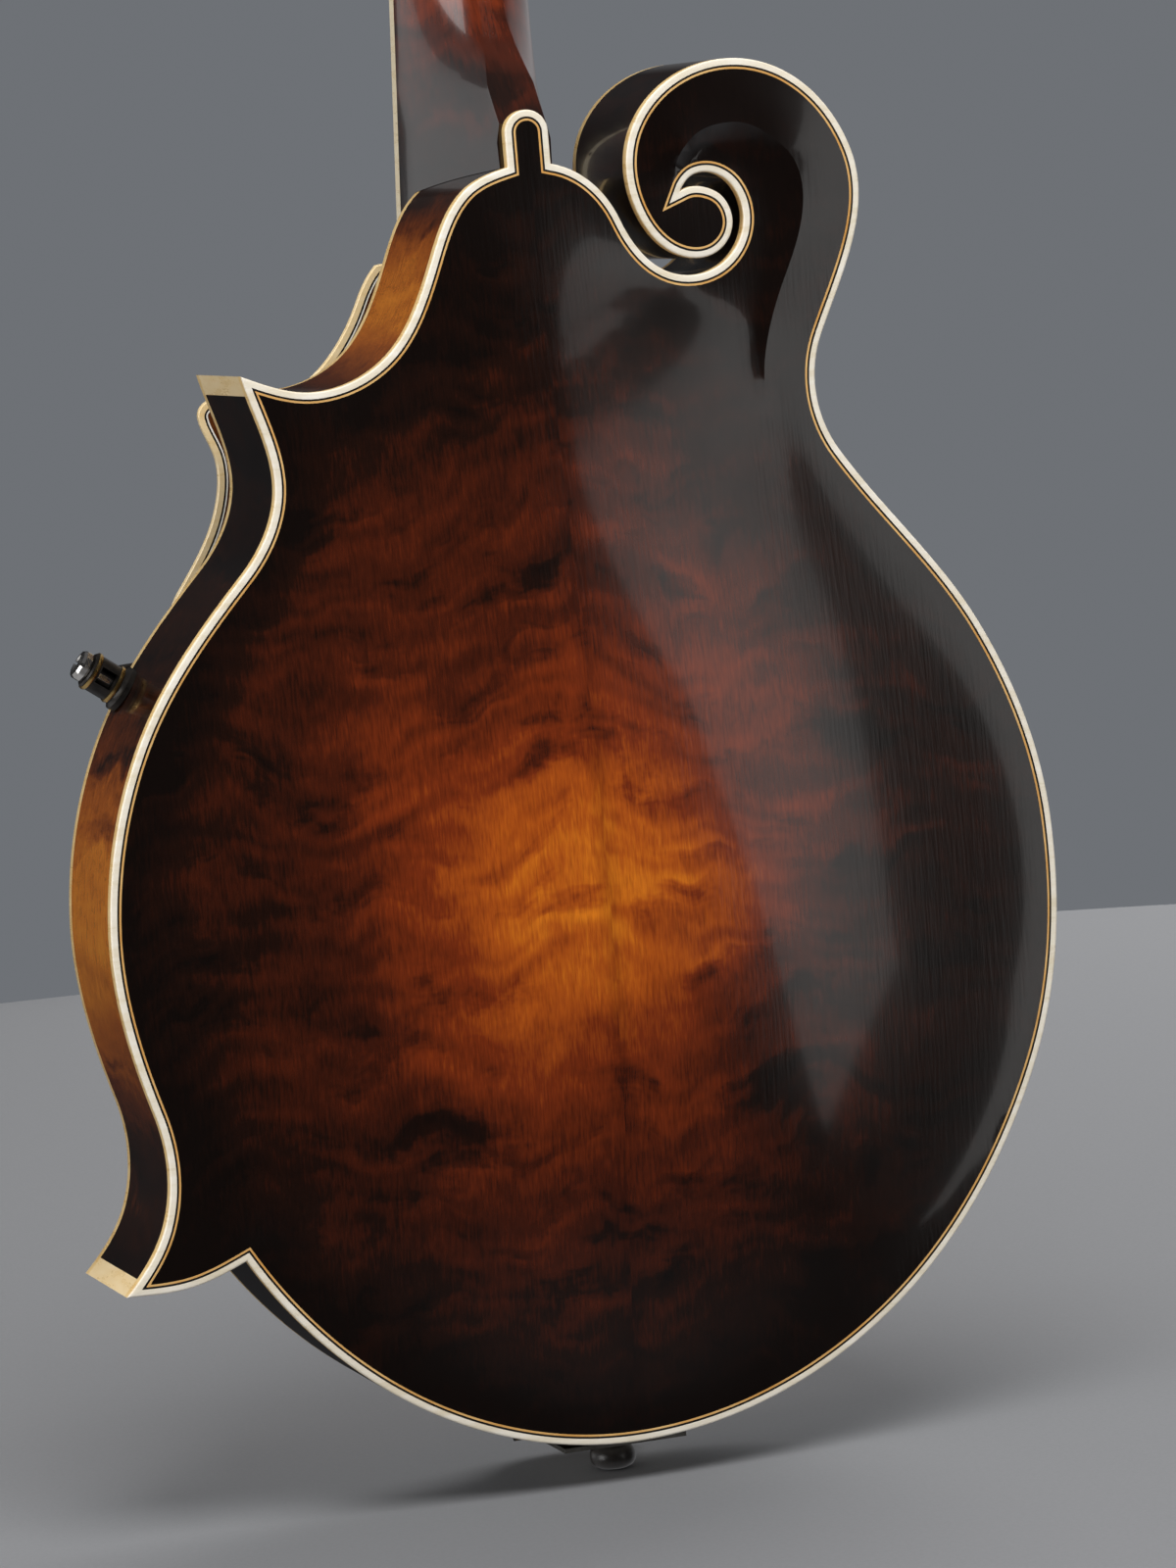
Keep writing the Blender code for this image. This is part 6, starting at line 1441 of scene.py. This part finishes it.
def make_bridge():
    rings = []
    for x in np.linspace(-BRIDGE_LENGTH / 2, BRIDGE_LENGTH / 2, 115):
        end = 2 * abs(x) / BRIDGE_LENGTH
        tip = BRIDGE_TIP_SHARE + (0.8 - BRIDGE_TIP_SHARE) * (1 - end ** 4)
        half = BRIDGE_BASE_WIDTH / 2 * (1 - 0.35 * max(0.0, end - 0.93) / 0.07)
        relief = 0.0018 * (0.5 - 0.5 * math.tanh((abs(x) - 0.016) / 0.0012))
        seats = [height_at(x, BRIDGE_V + d * half) + 0.00004 + relief for d in (-1, -0.5, 0, 0.5, 1)]
        mix = 0.5 + 0.5 * math.tanh((abs(x) - BRIDGE_CREST_WIDTH / 2) / 0.0022)
        crest = (1 - mix) * BRIDGE_CREST + mix * (max(seats[0], seats[4]) + BRIDGE_BASE_HEIGHT * tip)
        low = min(seats[0], seats[4]) - relief
        rise = crest - low
        upper = [(half, low + rise * 0.45), (half * 0.93, low + rise * 0.62),
                 (half * 0.74, low + rise * 0.82),
                 (half * 0.66, low + rise * 0.95), (half * 0.58, crest)]
        rings.append([(x, BRIDGE_V + d * half, n) for d, n in zip((-1, -0.5, 0, 0.5, 1), seats)]
                     + [(x, BRIDGE_V + w, n) for w, n in upper]
                     + [(x, BRIDGE_V - w, n) for w, n in reversed(upper)])
    piece("bridge_foot", *sweep(rings), EBONY, BODY, ["bridge_base"], slot="ebony", smooth=45)
    top = WHEEL_TOP
    studs, pitch = [], 0.0008
    for side in (-1, 1):
        rings = [[polar(STUD_RADIUS * (0.96 + 0.05 * math.cos(a - z * math.tau / pitch)), a, z)
                  for a in circle(20)] for z in np.arange(BRIDGE_CREST - 0.002, top + STUD_STAND, pitch / 6)]
        studs.append(moved(solid(*sweep(rings)), stud_place(side)))
    placed("bridge_studs", merged(studs), NICKEL, BODY)
    bore, rim, low = STUD_RADIUS + 0.0004, WHEEL_RADIUS, top - WHEEL_THICKNESS
    wheel = lathe([(bore, low + 0.0002), (bore + 0.0003, low), (rim - 0.0012, low),
                   (rim - 0.0009, low + 0.0002),
                   (rim, low + 0.0006), (rim, top - 0.0006), (rim - 0.0009, top - 0.0002),
                   (rim - 0.0012, top),
                   (bore + 0.0003, top), (bore, top - 0.0002)], 160,
                  lambda a, z, r: 1 - 0.022 * (0.5 + 0.5 * math.cos(40 * a)) if r > rim * 0.97 else 1.0,
                  closed=True)
    for side, name in ((-1, "thumbwheel_bass"), (1, "thumbwheel_treble")):
        stand = BODY @ stud_place(side)
        piece(f"{name}_knurled", *wheel, BRASS, stand, [name], name, slot="nickel", smooth=30)
    # Saddle: its ridge steps back and forth under the pairs, with a slot for each string
    slots = [(string_x(k, STRING_SPREAD_BRIDGE), r) for k, r in enumerate(STRING_RADII)]
    marks = set(np.round(np.linspace(-SADDLE_LENGTH / 2, SADDLE_LENGTH / 2, 107), 6))
    for x, r in slots:
        marks |= {x + d * r * 1.2 for d in (-1.02, -1, -0.5, 0, 0.5, 1, 1.02)}
    rings = []
    for x in sorted(marks):
        share = abs(x) / (SADDLE_LENGTH / 2)
        fall = 0.0020 * max(0.0, share - 0.5) / 0.5
        crest = SADDLE_TOP + GAP + 0.00025 - fall * 1.12
        for centre, r in slots:
            d = abs(x - centre) / (r * 1.2)
            if d <= 1.001:
                crest = min(crest, SADDLE_TOP + GAP - r * 1.2 * (math.sqrt(max(0.0, 1 - d * d)) - 1)
                            - 0.00008)
        lift = 0.0026 * (0.5 + 0.5 * math.tanh((share - 0.86) / 0.02))
        sole = SADDLE_TOP - SADDLE_HEIGHT + lift
        half = SADDLE_WIDTH / 2
        pair = max(-1.5, min(1.5, x / ((STRING_SPREAD_BRIDGE - PAIR_GAP) / 3)))
        shift = 0.0009 * (-math.tanh(6 * (pair + 1)) + math.tanh(6 * pair) - math.tanh(6 * (pair - 1)) * 0.9)
        shift = max(-half * 0.42, min(half * 0.42, shift)) if abs(x) < 0.024 else 0.0
        wall = sole + (crest - sole) * 0.55
        rings.append([(x, BRIDGE_V - half, sole), (x, BRIDGE_V + half, sole), (x, BRIDGE_V + half, wall),
                      (x, BRIDGE_V + half * 0.86, wall + (crest - wall) * 0.5),
                      (x, BRIDGE_V + shift + 0.0009, crest),
                      (x, BRIDGE_V + shift - 0.0009, crest),
                      (x, BRIDGE_V - half * 0.86, wall + (crest - wall) * 0.5), (x, BRIDGE_V - half, wall)])
    saddle = solid(*sweep(rings))
    holes = [rod(bore, SADDLE_TOP - 0.02, SADDLE_TOP - 0.0016, 20, stud_place(side)) for side in (-1, 1)]
    placed("saddle_slotted", worked(saddle, [merged(holes)]), EBONY, BODY, ["bridge_saddle"], "bridge_saddle",
           smooth=35)


def make_strings():
    to_body = BODY.inverted()
    posts = [0, 1, 2, 3, 7, 6, 5, 4]
    hook_level = BODY_DEPTH / 2 + TAILPIECE_LIFT + TAILPIECE_STRIP + HOOK_HEIGHT * 0.8
    for number, radius in enumerate(STRING_RADII):
        lift = radius + GAP
        x_nut, x_bridge = string_x(number, STRING_SPREAD_NUT), string_x(number, STRING_SPREAD_BRIDGE)
        side, v = TUNERS[posts[number]]
        x_hook = string_x(number, STRING_SPREAD_HOOKS)
        hook = Vector((x_hook, HOOK_V + 0.0012, hook_level - 0.0006))
        at_bridge = Vector((x_bridge, BRIDGE_V, SADDLE_TOP + lift))
        at_nut = to_body @ NECK @ Vector((x_nut, NUT, NUT_HEIGHT + lift))
        past_nut = to_body @ NECK @ Vector((x_nut, NUT + NUT_THICKNESS, NUT_HEIGHT + lift - 0.0001))
        level = POST_STAND - 0.0058
        wound = POST_RADIUS * 0.84 + radius + 0.00004
        coil = []
        start = math.pi if side > 0 else 0.0
        for t in np.linspace(0, 1, 90):
            a = start - side * t * math.tau * COIL_TURNS
            grow = wound + (POST_RADIUS + radius + GAP - wound) * max(0.0, 1 - t * 9)
            coil.append(Vector((side * TUNER_SIDE + grow * math.cos(a), v + grow * math.sin(a),
                                level + 0.0003 - COIL_TURNS * t * radius * 2.08 * 0.9)))
        coil = [to_body @ HEAD @ p for p in coil]
        finish = WOUND_STRING if number < 4 else STRING_STEEL
        way = (at_bridge - hook).normalized()
        twist = [hook + way * (0.012 * t) for t in np.linspace(0, 1, 3)]
        lower = tube([hook] + twist[1:] + [at_bridge - way * 0.003, at_bridge], radius, 8)
        low_piece = piece(f"string_{number + 1}_tail", *lower, finish, BODY, body=None, smooth=60,
                          slot="steel")
        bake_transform(low_piece)
        along = at_nut - at_bridge
        run = [at_bridge + along * t for t in np.linspace(0, 1, 5)]
        far = [past_nut] + coil
        upper = tube(run + far, radius, 8)
        high_piece = piece(f"string_{number + 1}_run", *upper, finish, BODY, [f"string_{number + 1}"], None,
                           60, slot="steel")
        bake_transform(high_piece)
        # Loop end, closed round its hook
        ring = []
        for a in np.linspace(math.radians(200), math.radians(520), 22):
            ring.append(Vector((x_hook + 0.0013 * math.sin(a), HOOK_V - 0.0002 + 0.0015 * math.cos(a) * 1.1,
                                hook.z - 0.0001)))
        coil_radius = radius * 0.8 + 0.00008
        piece(f"string_{number + 1}_loop", *tube(ring, coil_radius, 8), STRING_STEEL, BODY, slot="steel")
        sleeve = [hook + way * d for d in np.linspace(0.0005, 0.010, 60)]
        sizes = [radius + 0.00016 + 0.00007 * math.sin(k * 2.1) for k in range(60)]
        sleeve = piece(f"string_{number + 1}_twist", *tube(sleeve, sizes, 8), STRING_STEEL, BODY, body=None)
        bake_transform(sleeve)


def make_tailpiece():
    lift, strip = BODY_DEPTH / 2 + TAILPIECE_LIFT, TAILPIECE_STRIP
    outside = -TAILPIECE_STAND
    end, low = HOOK_V + 0.004, -0.012
    inner = rounded([(outside, low, 0), (outside, lift, 0), (end, lift, 0)], 0.003)
    outer = rounded([(outside - strip, low, 0), (outside - strip, lift + strip, 0), (end, lift + strip, 0)],
                    0.0042)
    section = [(p.x, p.y) for p in inner] + [(p.x, p.y) for p in reversed(outer)]
    half = TAILPIECE_WIDTH / 2
    rings = [[(x, v, n) for v, n in section] for x in (-half, half)]
    base = solid(*sweep(rings))
    base = worked(base, [rod(ENDPIN_SHAFT_RADIUS + GAP, 0.004, 0.03, 40, BODY.inverted())])
    hooks = []
    for number in range(8):
        x = string_x(number, STRING_SPREAD_HOOKS)
        path = rounded([(x, HOOK_V + 0.0030, lift + strip - 0.0003),
                        (x, HOOK_V + 0.0004, lift + strip + 0.0005),
                        (x, HOOK_V, lift + strip + HOOK_HEIGHT - 0.0006),
                        (x, HOOK_V - 0.0016, lift + strip + HOOK_HEIGHT - 0.0003)], 0.0012, 5)
        rings = [[p + Vector((d, e, -e * 0.2)) for d,
                  e in ((-0.0007, -0.0005), (0.0007, -0.0005), (0.0007, 0.0005),
                        (-0.0007, 0.0005))] for p in path]
        hooks.append(solid(*sweep(rings)))
    placed("tailpiece_strip", merged([base] + hooks), NICKEL, BODY, ["tailpiece_base"],
           smooth=30)
    # Lid: crowned across, with a rolled edge and a shallow bead
    wide = TAILPIECE_WIDTH / 2 + 0.0028
    stations = [(0.0, 0.93, 0.60), (0.05, 1.0, 0.90), (0.15, 1.0, 1.0), (0.5, 1.0, 1.0), (0.8, 0.99, 0.95),
                (0.93, 0.96, 0.90), (1.0, 0.92, 0.85)]
    marks = [s[0] for s in stations]
    across = np.sin(np.linspace(-math.pi / 2, math.pi / 2, 41))
    outer, inner = [], []
    for t in np.concatenate([np.linspace(0, 0.15, 10), np.linspace(0.18, 0.9, 24), np.linspace(0.915, 1, 7)]):
        narrow = np.interp(t, marks, [s[1] for s in stations])
        fall = np.interp(t, marks, [s[2] for s in stations])
        row_out, row_in = [], []
        for u in across:
            crown = TAIL_COVER_CROWN * fall * (1 - abs(u) ** 3.2)
            edge = min((1 - abs(u)) * wide, t * TAIL_COVER_LENGTH, (1 - t) * TAIL_COVER_LENGTH)
            bead = 0.00022 * math.exp(-((edge - 0.0042) / 0.0007) ** 2)
            row_out.append((wide * narrow * u + 0.0006 * u, t * TAIL_COVER_LENGTH,
                            crown + TAIL_COVER_WALL + bead - 0.0006 * abs(u) ** 8))
            row_in.append((wide * narrow * u, t * TAIL_COVER_LENGTH, crown))
        outer.append(row_out)
        inner.append(row_in)
    count, wide_count = len(outer), len(across)
    verts = [p for row in outer for p in row] + [p for row in inner for p in row]
    faces, low = [], count * wide_count
    for k in range(count - 1):
        for i in range(wide_count - 1):
            a = k * wide_count + i
            faces.append((a, a + 1, a + wide_count + 1, a + wide_count))
            faces.append((low + a, low + a + wide_count, low + a + wide_count + 1, low + a + 1))
    for k in range(count - 1):
        for a in (k * wide_count, k * wide_count + wide_count - 1):
            faces.append((a, a + wide_count, low + a + wide_count, low + a))
    for i in range(wide_count - 1):
        for a in (i, (count - 1) * wide_count + i):
            faces.append((a, a + 1, low + a + 1, low + a))
    level = BODY_DEPTH / 2 + TAILPIECE_LIFT - 0.0002
    seat = Matrix.Translation((0, TAIL_COVER_START, level)) @ Matrix.Rotation(TAIL_COVER_SLOPE, 4, "X")
    piece("tailpiece_lid", verts, faces, NICKEL, BODY @ seat, ["tailpiece_cover"], "tailpiece_cover",
          slot="nickel",
          smooth=40)


def make_endpin():
    head, shaft = ENDPIN_HEAD_RADIUS, ENDPIN_SHAFT_RADIUS
    seat = ENDPIN_LENGTH - TAILPIECE_STAND - TAILPIECE_STRIP - GAP / 3
    tip = ENDPIN_LENGTH + 0.0155
    corners = [(0.0, tip), (shaft * 0.85, tip), (shaft, seat + 0.0002), (shaft * 1.4, seat),
               (shaft * 1.42, seat * 0.95),
               (shaft * 1.12, seat * 0.88), (shaft * 1.15, seat * 0.82), (shaft * 1.35, seat * 0.75),
               (head * 0.93, seat * 0.64), (head * 0.99, seat * 0.5), (head, seat * 0.38),
               (head * 0.96, seat * 0.22),
               (head * 0.84, seat * 0.09), (head * 0.62, seat * 0.015), (head * 0.3, 0.0), (0.0, 0.0)]
    piece("endpin_turned", *lathe(corners, 48), EBONY, None, ["endpin"], slot="ebony", smooth=50)


# Pickguard and its clamp


def guard_v(value):
    """Up the body, from the guard's foot beside the bridge to its tip at the shoulder."""
    foot, tip = min(v for _, v, _ in GUARD), max(v for _, v, _ in GUARD)
    low, high = BRIDGE_V + GUARD_OFF_BRIDGE, mm_v(tip)
    return low + (value - foot) / (tip - foot) * (high - low)


def make_guard():
    loop = joined(curve_through(GUARD, 0.0015, (mm_x, guard_v)))
    loop = [Vector((p.x, (p.y - JOINT_V) / math.cos(NECK_ANGLE))) for p in loop]
    high = BOARD_THICKNESS
    low = high - GUARD_THICKNESS
    layers = [("cream", 0.0, 0.0016, IVOROID_AMBER), ("black", 0.0016, 0.0021, LINE_BLACK),
              ("white", 0.0021, 0.0025, LINE_WHITE)]
    for name, near, far, finish in layers:
        if near == 0.0:
            section = [(near, low + 0.0002), (near, high - 0.0002), (near + 0.0002, high), (far, high),
                       (far, low),
                       (near + 0.0002, low)]
        else:
            section = [(near, low), (near, high), (far, high), (far, low)]
        piece(f"pickguard_edge_{name}", *edge_strip(loop, section), finish, NECK)
    piece("pickguard_sheet", *prism(joined(inset(loop, 0.0025)), low, high), TORTOISE, NECK, ["pickguard"],
          slot="tortoise")
    # Clamp on the rib
    seat = frame_at(CLAMP_PLACE, CLAMP_AXIS)
    bore, foot = 0.0027, BARREL_RADIUS + 0.0012
    length = BARREL_LENGTH
    barrel = solid(*lathe([(bore, length - 0.0003), (bore + 0.0003, length), (BARREL_RADIUS - 0.0004, length),
                           (BARREL_RADIUS, length - 0.0004), (BARREL_RADIUS, 0.0026),
                           (BARREL_RADIUS + 0.0003, 0.0021),
                           (foot, 0.0016), (foot, GAP / 2), (bore, GAP / 2)], 48, closed=True))
    window = moved(slab(0.0022, 0.0042, length - 0.0022, 0.0, 0.02), Matrix.Rotation(math.pi / 2, 4, "X"))
    barrel = worked(barrel, [window])
    placed("clamp_barrel", barrel, BLACK_METAL, seat, ["pickguard_bracket"],
           smooth=30)
    for at in (0.0033, length - 0.0011):
        ring = lathe([(BARREL_RADIUS - 0.0002, at - 0.0005), (BARREL_RADIUS + 0.00025, at - 0.0005),
                      (BARREL_RADIUS + 0.0004, at), (BARREL_RADIUS + 0.00025, at + 0.0005),
                      (BARREL_RADIUS - 0.0002, at + 0.0005)], 48, closed=True)
        piece(f"clamp_ring_{'low' if at < 0.005 else 'high'}", *ring, BRASS, seat)
    reach = BODY.inverted() @ (seat @ Vector((0, 0, length * 0.45)))
    over = Vector((mm_x(GUARD_REST[0]), guard_v(GUARD_REST[1])))
    under = BODY.inverted() @ NECK @ Vector((over.x, over.y - JOINT_V, low - GAP - ARM_RADIUS))
    rim = Vector((reach.x, reach.y, reach.z + BARREL_RADIUS * 0.8))
    corner = Vector((reach.x, reach.y, under.z - 0.006))
    crook = under.lerp(corner, 0.5) + Vector((0, 0, 0.002))
    arm = tube(rounded([under, crook, corner, rim], 0.006, 8), ARM_RADIUS, 16)
    piece("clamp_arm", *arm, BLACK_METAL, BODY, slot="blackened_metal")
    pad = lathe([(0, -0.0006), (0.0030, -0.0006), (0.0034, -0.0002), (0.0034, 0.0001), (0.0030, 0.0005),
                 (0, 0.0005)], 32)
    up = (NECK.to_3x3() @ Vector((0, 0, 1))).normalized()
    spot = NECK @ Vector((over.x, over.y - JOINT_V, low - 0.0007))
    turn = up.to_track_quat("Z", "Y").to_matrix().to_4x4()
    piece("clamp_pad", *pad, BLACK_METAL, Matrix.Translation(spot) @ turn)
    head, crest = CLAMP_HEAD_RADIUS, length + GAP / 2
    facet = lathe([(0, crest + 0.0026), (head * 0.45, crest + 0.0027), (head * 0.62, crest + 0.0030),
                   (head * 0.88, crest + 0.0029), (head, crest + 0.0022), (head, crest + 0.0006),
                   (head * 0.92, crest), (CLAMP_SCREW_RADIUS, crest), (CLAMP_SCREW_RADIUS, 0.0012),
                   (CLAMP_SCREW_RADIUS * 0.8, 0.0010), (0, 0.0010)], 40,
                  lambda a, z, r: 1 - 0.05 * (0.5 + 0.5 * math.cos(10 * a)) if r > head * 0.8 else 1.0)
    slot_cut = slab(0.0004, -0.006, 0.006, crest + 0.0019, crest + 0.01)
    placed("clamp_screw_faceted", worked(solid(*facet), [slot_cut]), BRIGHT_METAL, seat, ["clamp_screw"],
           "clamp_screw", smooth=25)


def finish_kept():
    """Gives the CAD nodes that stay their own finishes."""
    for name, finish in (("tail_block", BARE_SPRUCE), ("tone_bar_bass", BARE_SPRUCE),
                         ("tone_bar_treble", BARE_SPRUCE), ("upper_point_block", MAPLE_SIDE),
                         ("truss_rod", BRIGHT_METAL)):
        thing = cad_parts[name]
        for slot in thing.material_slots:
            slot.material = finish
        if finish is MAPLE_SIDE:
            set_burst(thing, np.full(len(thing.data.vertices), 0.3))


def frame_at(place, axis):
    """A frame with its Z along the axis and its X up the body."""
    z = Vector(axis).normalized()
    y = Vector((0, -1, 0))
    x = y.cross(z)
    return Matrix.Translation(place) @ Matrix((x, y, z)).transposed().to_4x4()


# Camera, floor and lights

WORLD_GLOW, WORLD_GLOSS, WORLD_SEEN = (0.20, 0.205, 0.215), (0.018, 0.018, 0.019), (0.155, 0.165, 0.18)
WORLD_HIGH, WORLD_LOW, WORLD_FRONT = (0.10, 0.10, 0.104), (0.30, 0.30, 0.31), (0.34, 0.34, 0.35)
BACK_MIDDLE = Vector((-0.045, 0.030, 0.190))
LAMP_DISTANCE = 1.9
# Name, azimuth and elevation from the middle of the back, width and height, power
LAMPS = [
    ("above", 8.0, 58.0, (1.3, 1.0), 42.0),
    ("side", 78.0, 8.0, (1.0, 1.7), 17.0),
    ("front", 226.0, 30.0, (1.3, 1.0), 34.0),
    ("flank", 132.0, 4.0, (0.95, 1.2), 1.8),
]
# The camera: focal length over the picture's height, place, and the ways its right, up and back point
SENSOR_HEIGHT = 24.0
FOCAL_SHARE = 6528.26 / 1600
CAMERA_PLACE = (0.48912, 1.55916, 0.34422)
CAMERA_AXES = ((-0.94663, 0.31119, -0.08398), (-0.11107, -0.07035, 0.99132), (0.30258, 0.94774, 0.10116))
# Corners of the tall softbox that shows in the back's varnish, by azimuth and elevation
WINDOW = [(-16.5, 13.0), (-39.4, 12.5), (-40.4, -13.5), (-36.5, -20.5), (-34.6, -23.5), (-29.2, -5.0),
          (-26.0, 4.2)]


def make_camera():
    camera = bpy.data.cameras.new("camera")
    camera.sensor_fit = "VERTICAL"
    camera.sensor_height = SENSOR_HEIGHT
    camera.lens = FOCAL_SHARE * SENSOR_HEIGHT
    camera.clip_end = 50.0
    thing = linked("camera", camera)
    thing.matrix_world = Matrix.Translation(CAMERA_PLACE) @ Matrix(CAMERA_AXES).transposed().to_4x4()
    bpy.context.scene.camera = thing


def direction(azimuth, elevation):
    """A unit vector; the azimuth is round from +Y towards +X."""
    az, el = math.radians(azimuth), math.radians(elevation)
    return Vector((math.sin(az) * math.cos(el), math.cos(az) * math.cos(el), math.sin(el)))


def lamp(name, azimuth, elevation, size, power):
    """A softbox that faces the middle of the back."""
    light = bpy.data.lights.new(name, "AREA")
    light.shape = "RECTANGLE"
    light.size, light.size_y = size
    light.energy = power
    way = direction(azimuth, elevation)
    thing = linked(name, light)
    thing.matrix_world = (Matrix.Translation(BACK_MIDDLE + way * LAMP_DISTANCE)
                          @ (-way).to_track_quat("-Z", "Y").to_matrix().to_4x4())
    thing.visible_glossy = name not in ("above", "front")


def window_light(distance=2.0, strength=0.95):
    """The softbox beside the camera, which only shows as a reflection."""
    verts = [BACK_MIDDLE + direction(*corner) * distance for corner in WINDOW]
    made = bpy.data.materials.new("softbox_cloth")
    made.use_nodes = True
    g = Graph(made.node_tree)
    made.node_tree.nodes.remove(made.node_tree.nodes["Principled BSDF"])
    weave = g.noise(g.place(), 3.0, 2.0, 0.5)
    glow = g.node("ShaderNodeEmission", {"Color": (1.0, 0.985, 0.97, 1.0)})
    g.join(g.math("MULTIPLY_ADD", weave, 0.2, strength - 0.1), glow.inputs["Strength"])
    g.join(glow.outputs[0], made.node_tree.nodes["Material Output"].inputs["Surface"])
    mesh = bpy.data.meshes.new("softbox")
    mesh.from_pydata(verts, [], [tuple(range(len(verts)))])
    mesh.materials.append(made)
    box = linked("softbox", mesh)
    box.visible_camera = False
    box.visible_shadow = False


def make_stage():
    """A round grey floor, a surround and soft lights. The camera sees the surround in one grey, but glossy
    rays see other greys there, which change with direction, and see neither the floor nor two of the lamps.
    """
    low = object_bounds()[0].z - 0.0002
    rings = [(r, -0.30 * max(0.0, r - 1.05) ** 1.5) for r in np.linspace(0.05, 1.25, 25)]
    verts = [(0.0, 0.0, low)] + [(r * math.cos(a), r * math.sin(a), low + z) for r, z in rings
                                 for a in circle(96)]
    faces = [(0, 1 + k, 1 + (k + 1) % 96) for k in range(96)]
    for j in range(len(rings) - 1):
        faces += [(1 + 96 * j + k, 1 + 96 * (j + 1) + k, 1 + 96 * (j + 1) + (k + 1) % 96,
                   1 + 96 * j + (k + 1) % 96)
                  for k in range(96)]
    made, tree, shader = nodes_of("studio_paper", Roughness=0.9)
    g = Graph(tree)
    path = g.node("ShaderNodeLightPath")
    fibre = g.noise(g.place(), 900.0, 3.0, 0.6)
    paper = g.mix(fibre, (0.17, 0.172, 0.178), (0.205, 0.207, 0.213))
    g.join(g.mix(path.outputs["Is Glossy Ray"], paper, (0.05, 0.05, 0.05)), shader.inputs["Base Color"])
    mesh = bpy.data.meshes.new("floor")
    mesh.from_pydata(verts, [], faces)
    mesh.shade_smooth()
    mesh.materials.append(made)
    floor = linked("floor", mesh)
    world = bpy.data.worlds.new("studio")
    world.use_nodes = True
    g = Graph(world.node_tree)
    path = g.node("ShaderNodeLightPath")
    apart = g.node("ShaderNodeSeparateXYZ", {"Vector": g.node("ShaderNodeTexCoord").outputs["Generated"]})
    x, y, z = apart.outputs

    def between(value, low, high):
        return g.node("ShaderNodeMapRange", {"Value": value, "From Min": low, "From Max": high}).outputs[0]

    shown = g.mix(between(z, 0.22, 0.85), WORLD_GLOSS, WORLD_HIGH)
    shown = g.mix(between(z, -0.42, -0.70), shown, WORLD_LOW)
    beside = g.math("MAXIMUM", between(x, -0.24, -0.50), between(x, 0.45, 0.80))
    shown = g.mix(g.math("MULTIPLY", beside, between(y, 0.0, -0.30)), shown, WORLD_FRONT)
    unseen = g.mix(path.outputs["Is Glossy Ray"], WORLD_GLOW, shown)
    seen = g.mix(path.outputs["Is Camera Ray"], unseen, WORLD_SEEN)
    ground = world.node_tree.nodes["Background"]
    g.join(seen, ground.inputs["Color"])
    ground.inputs["Strength"].default_value = 1.0
    bpy.context.scene.world = world
    floor.visible_glossy = False
    floor.visible_shadow = False
    for one in LAMPS:
        lamp(*one)
    window_light()


scene = bpy.context.scene
scene.view_settings.view_transform = "Standard"
make_body()
make_neck()
make_board()
make_headstock()
make_tuners()
make_bridge()
make_strings()
make_tailpiece()
make_endpin()
make_guard()
finish_kept()
make_camera()
make_stage()
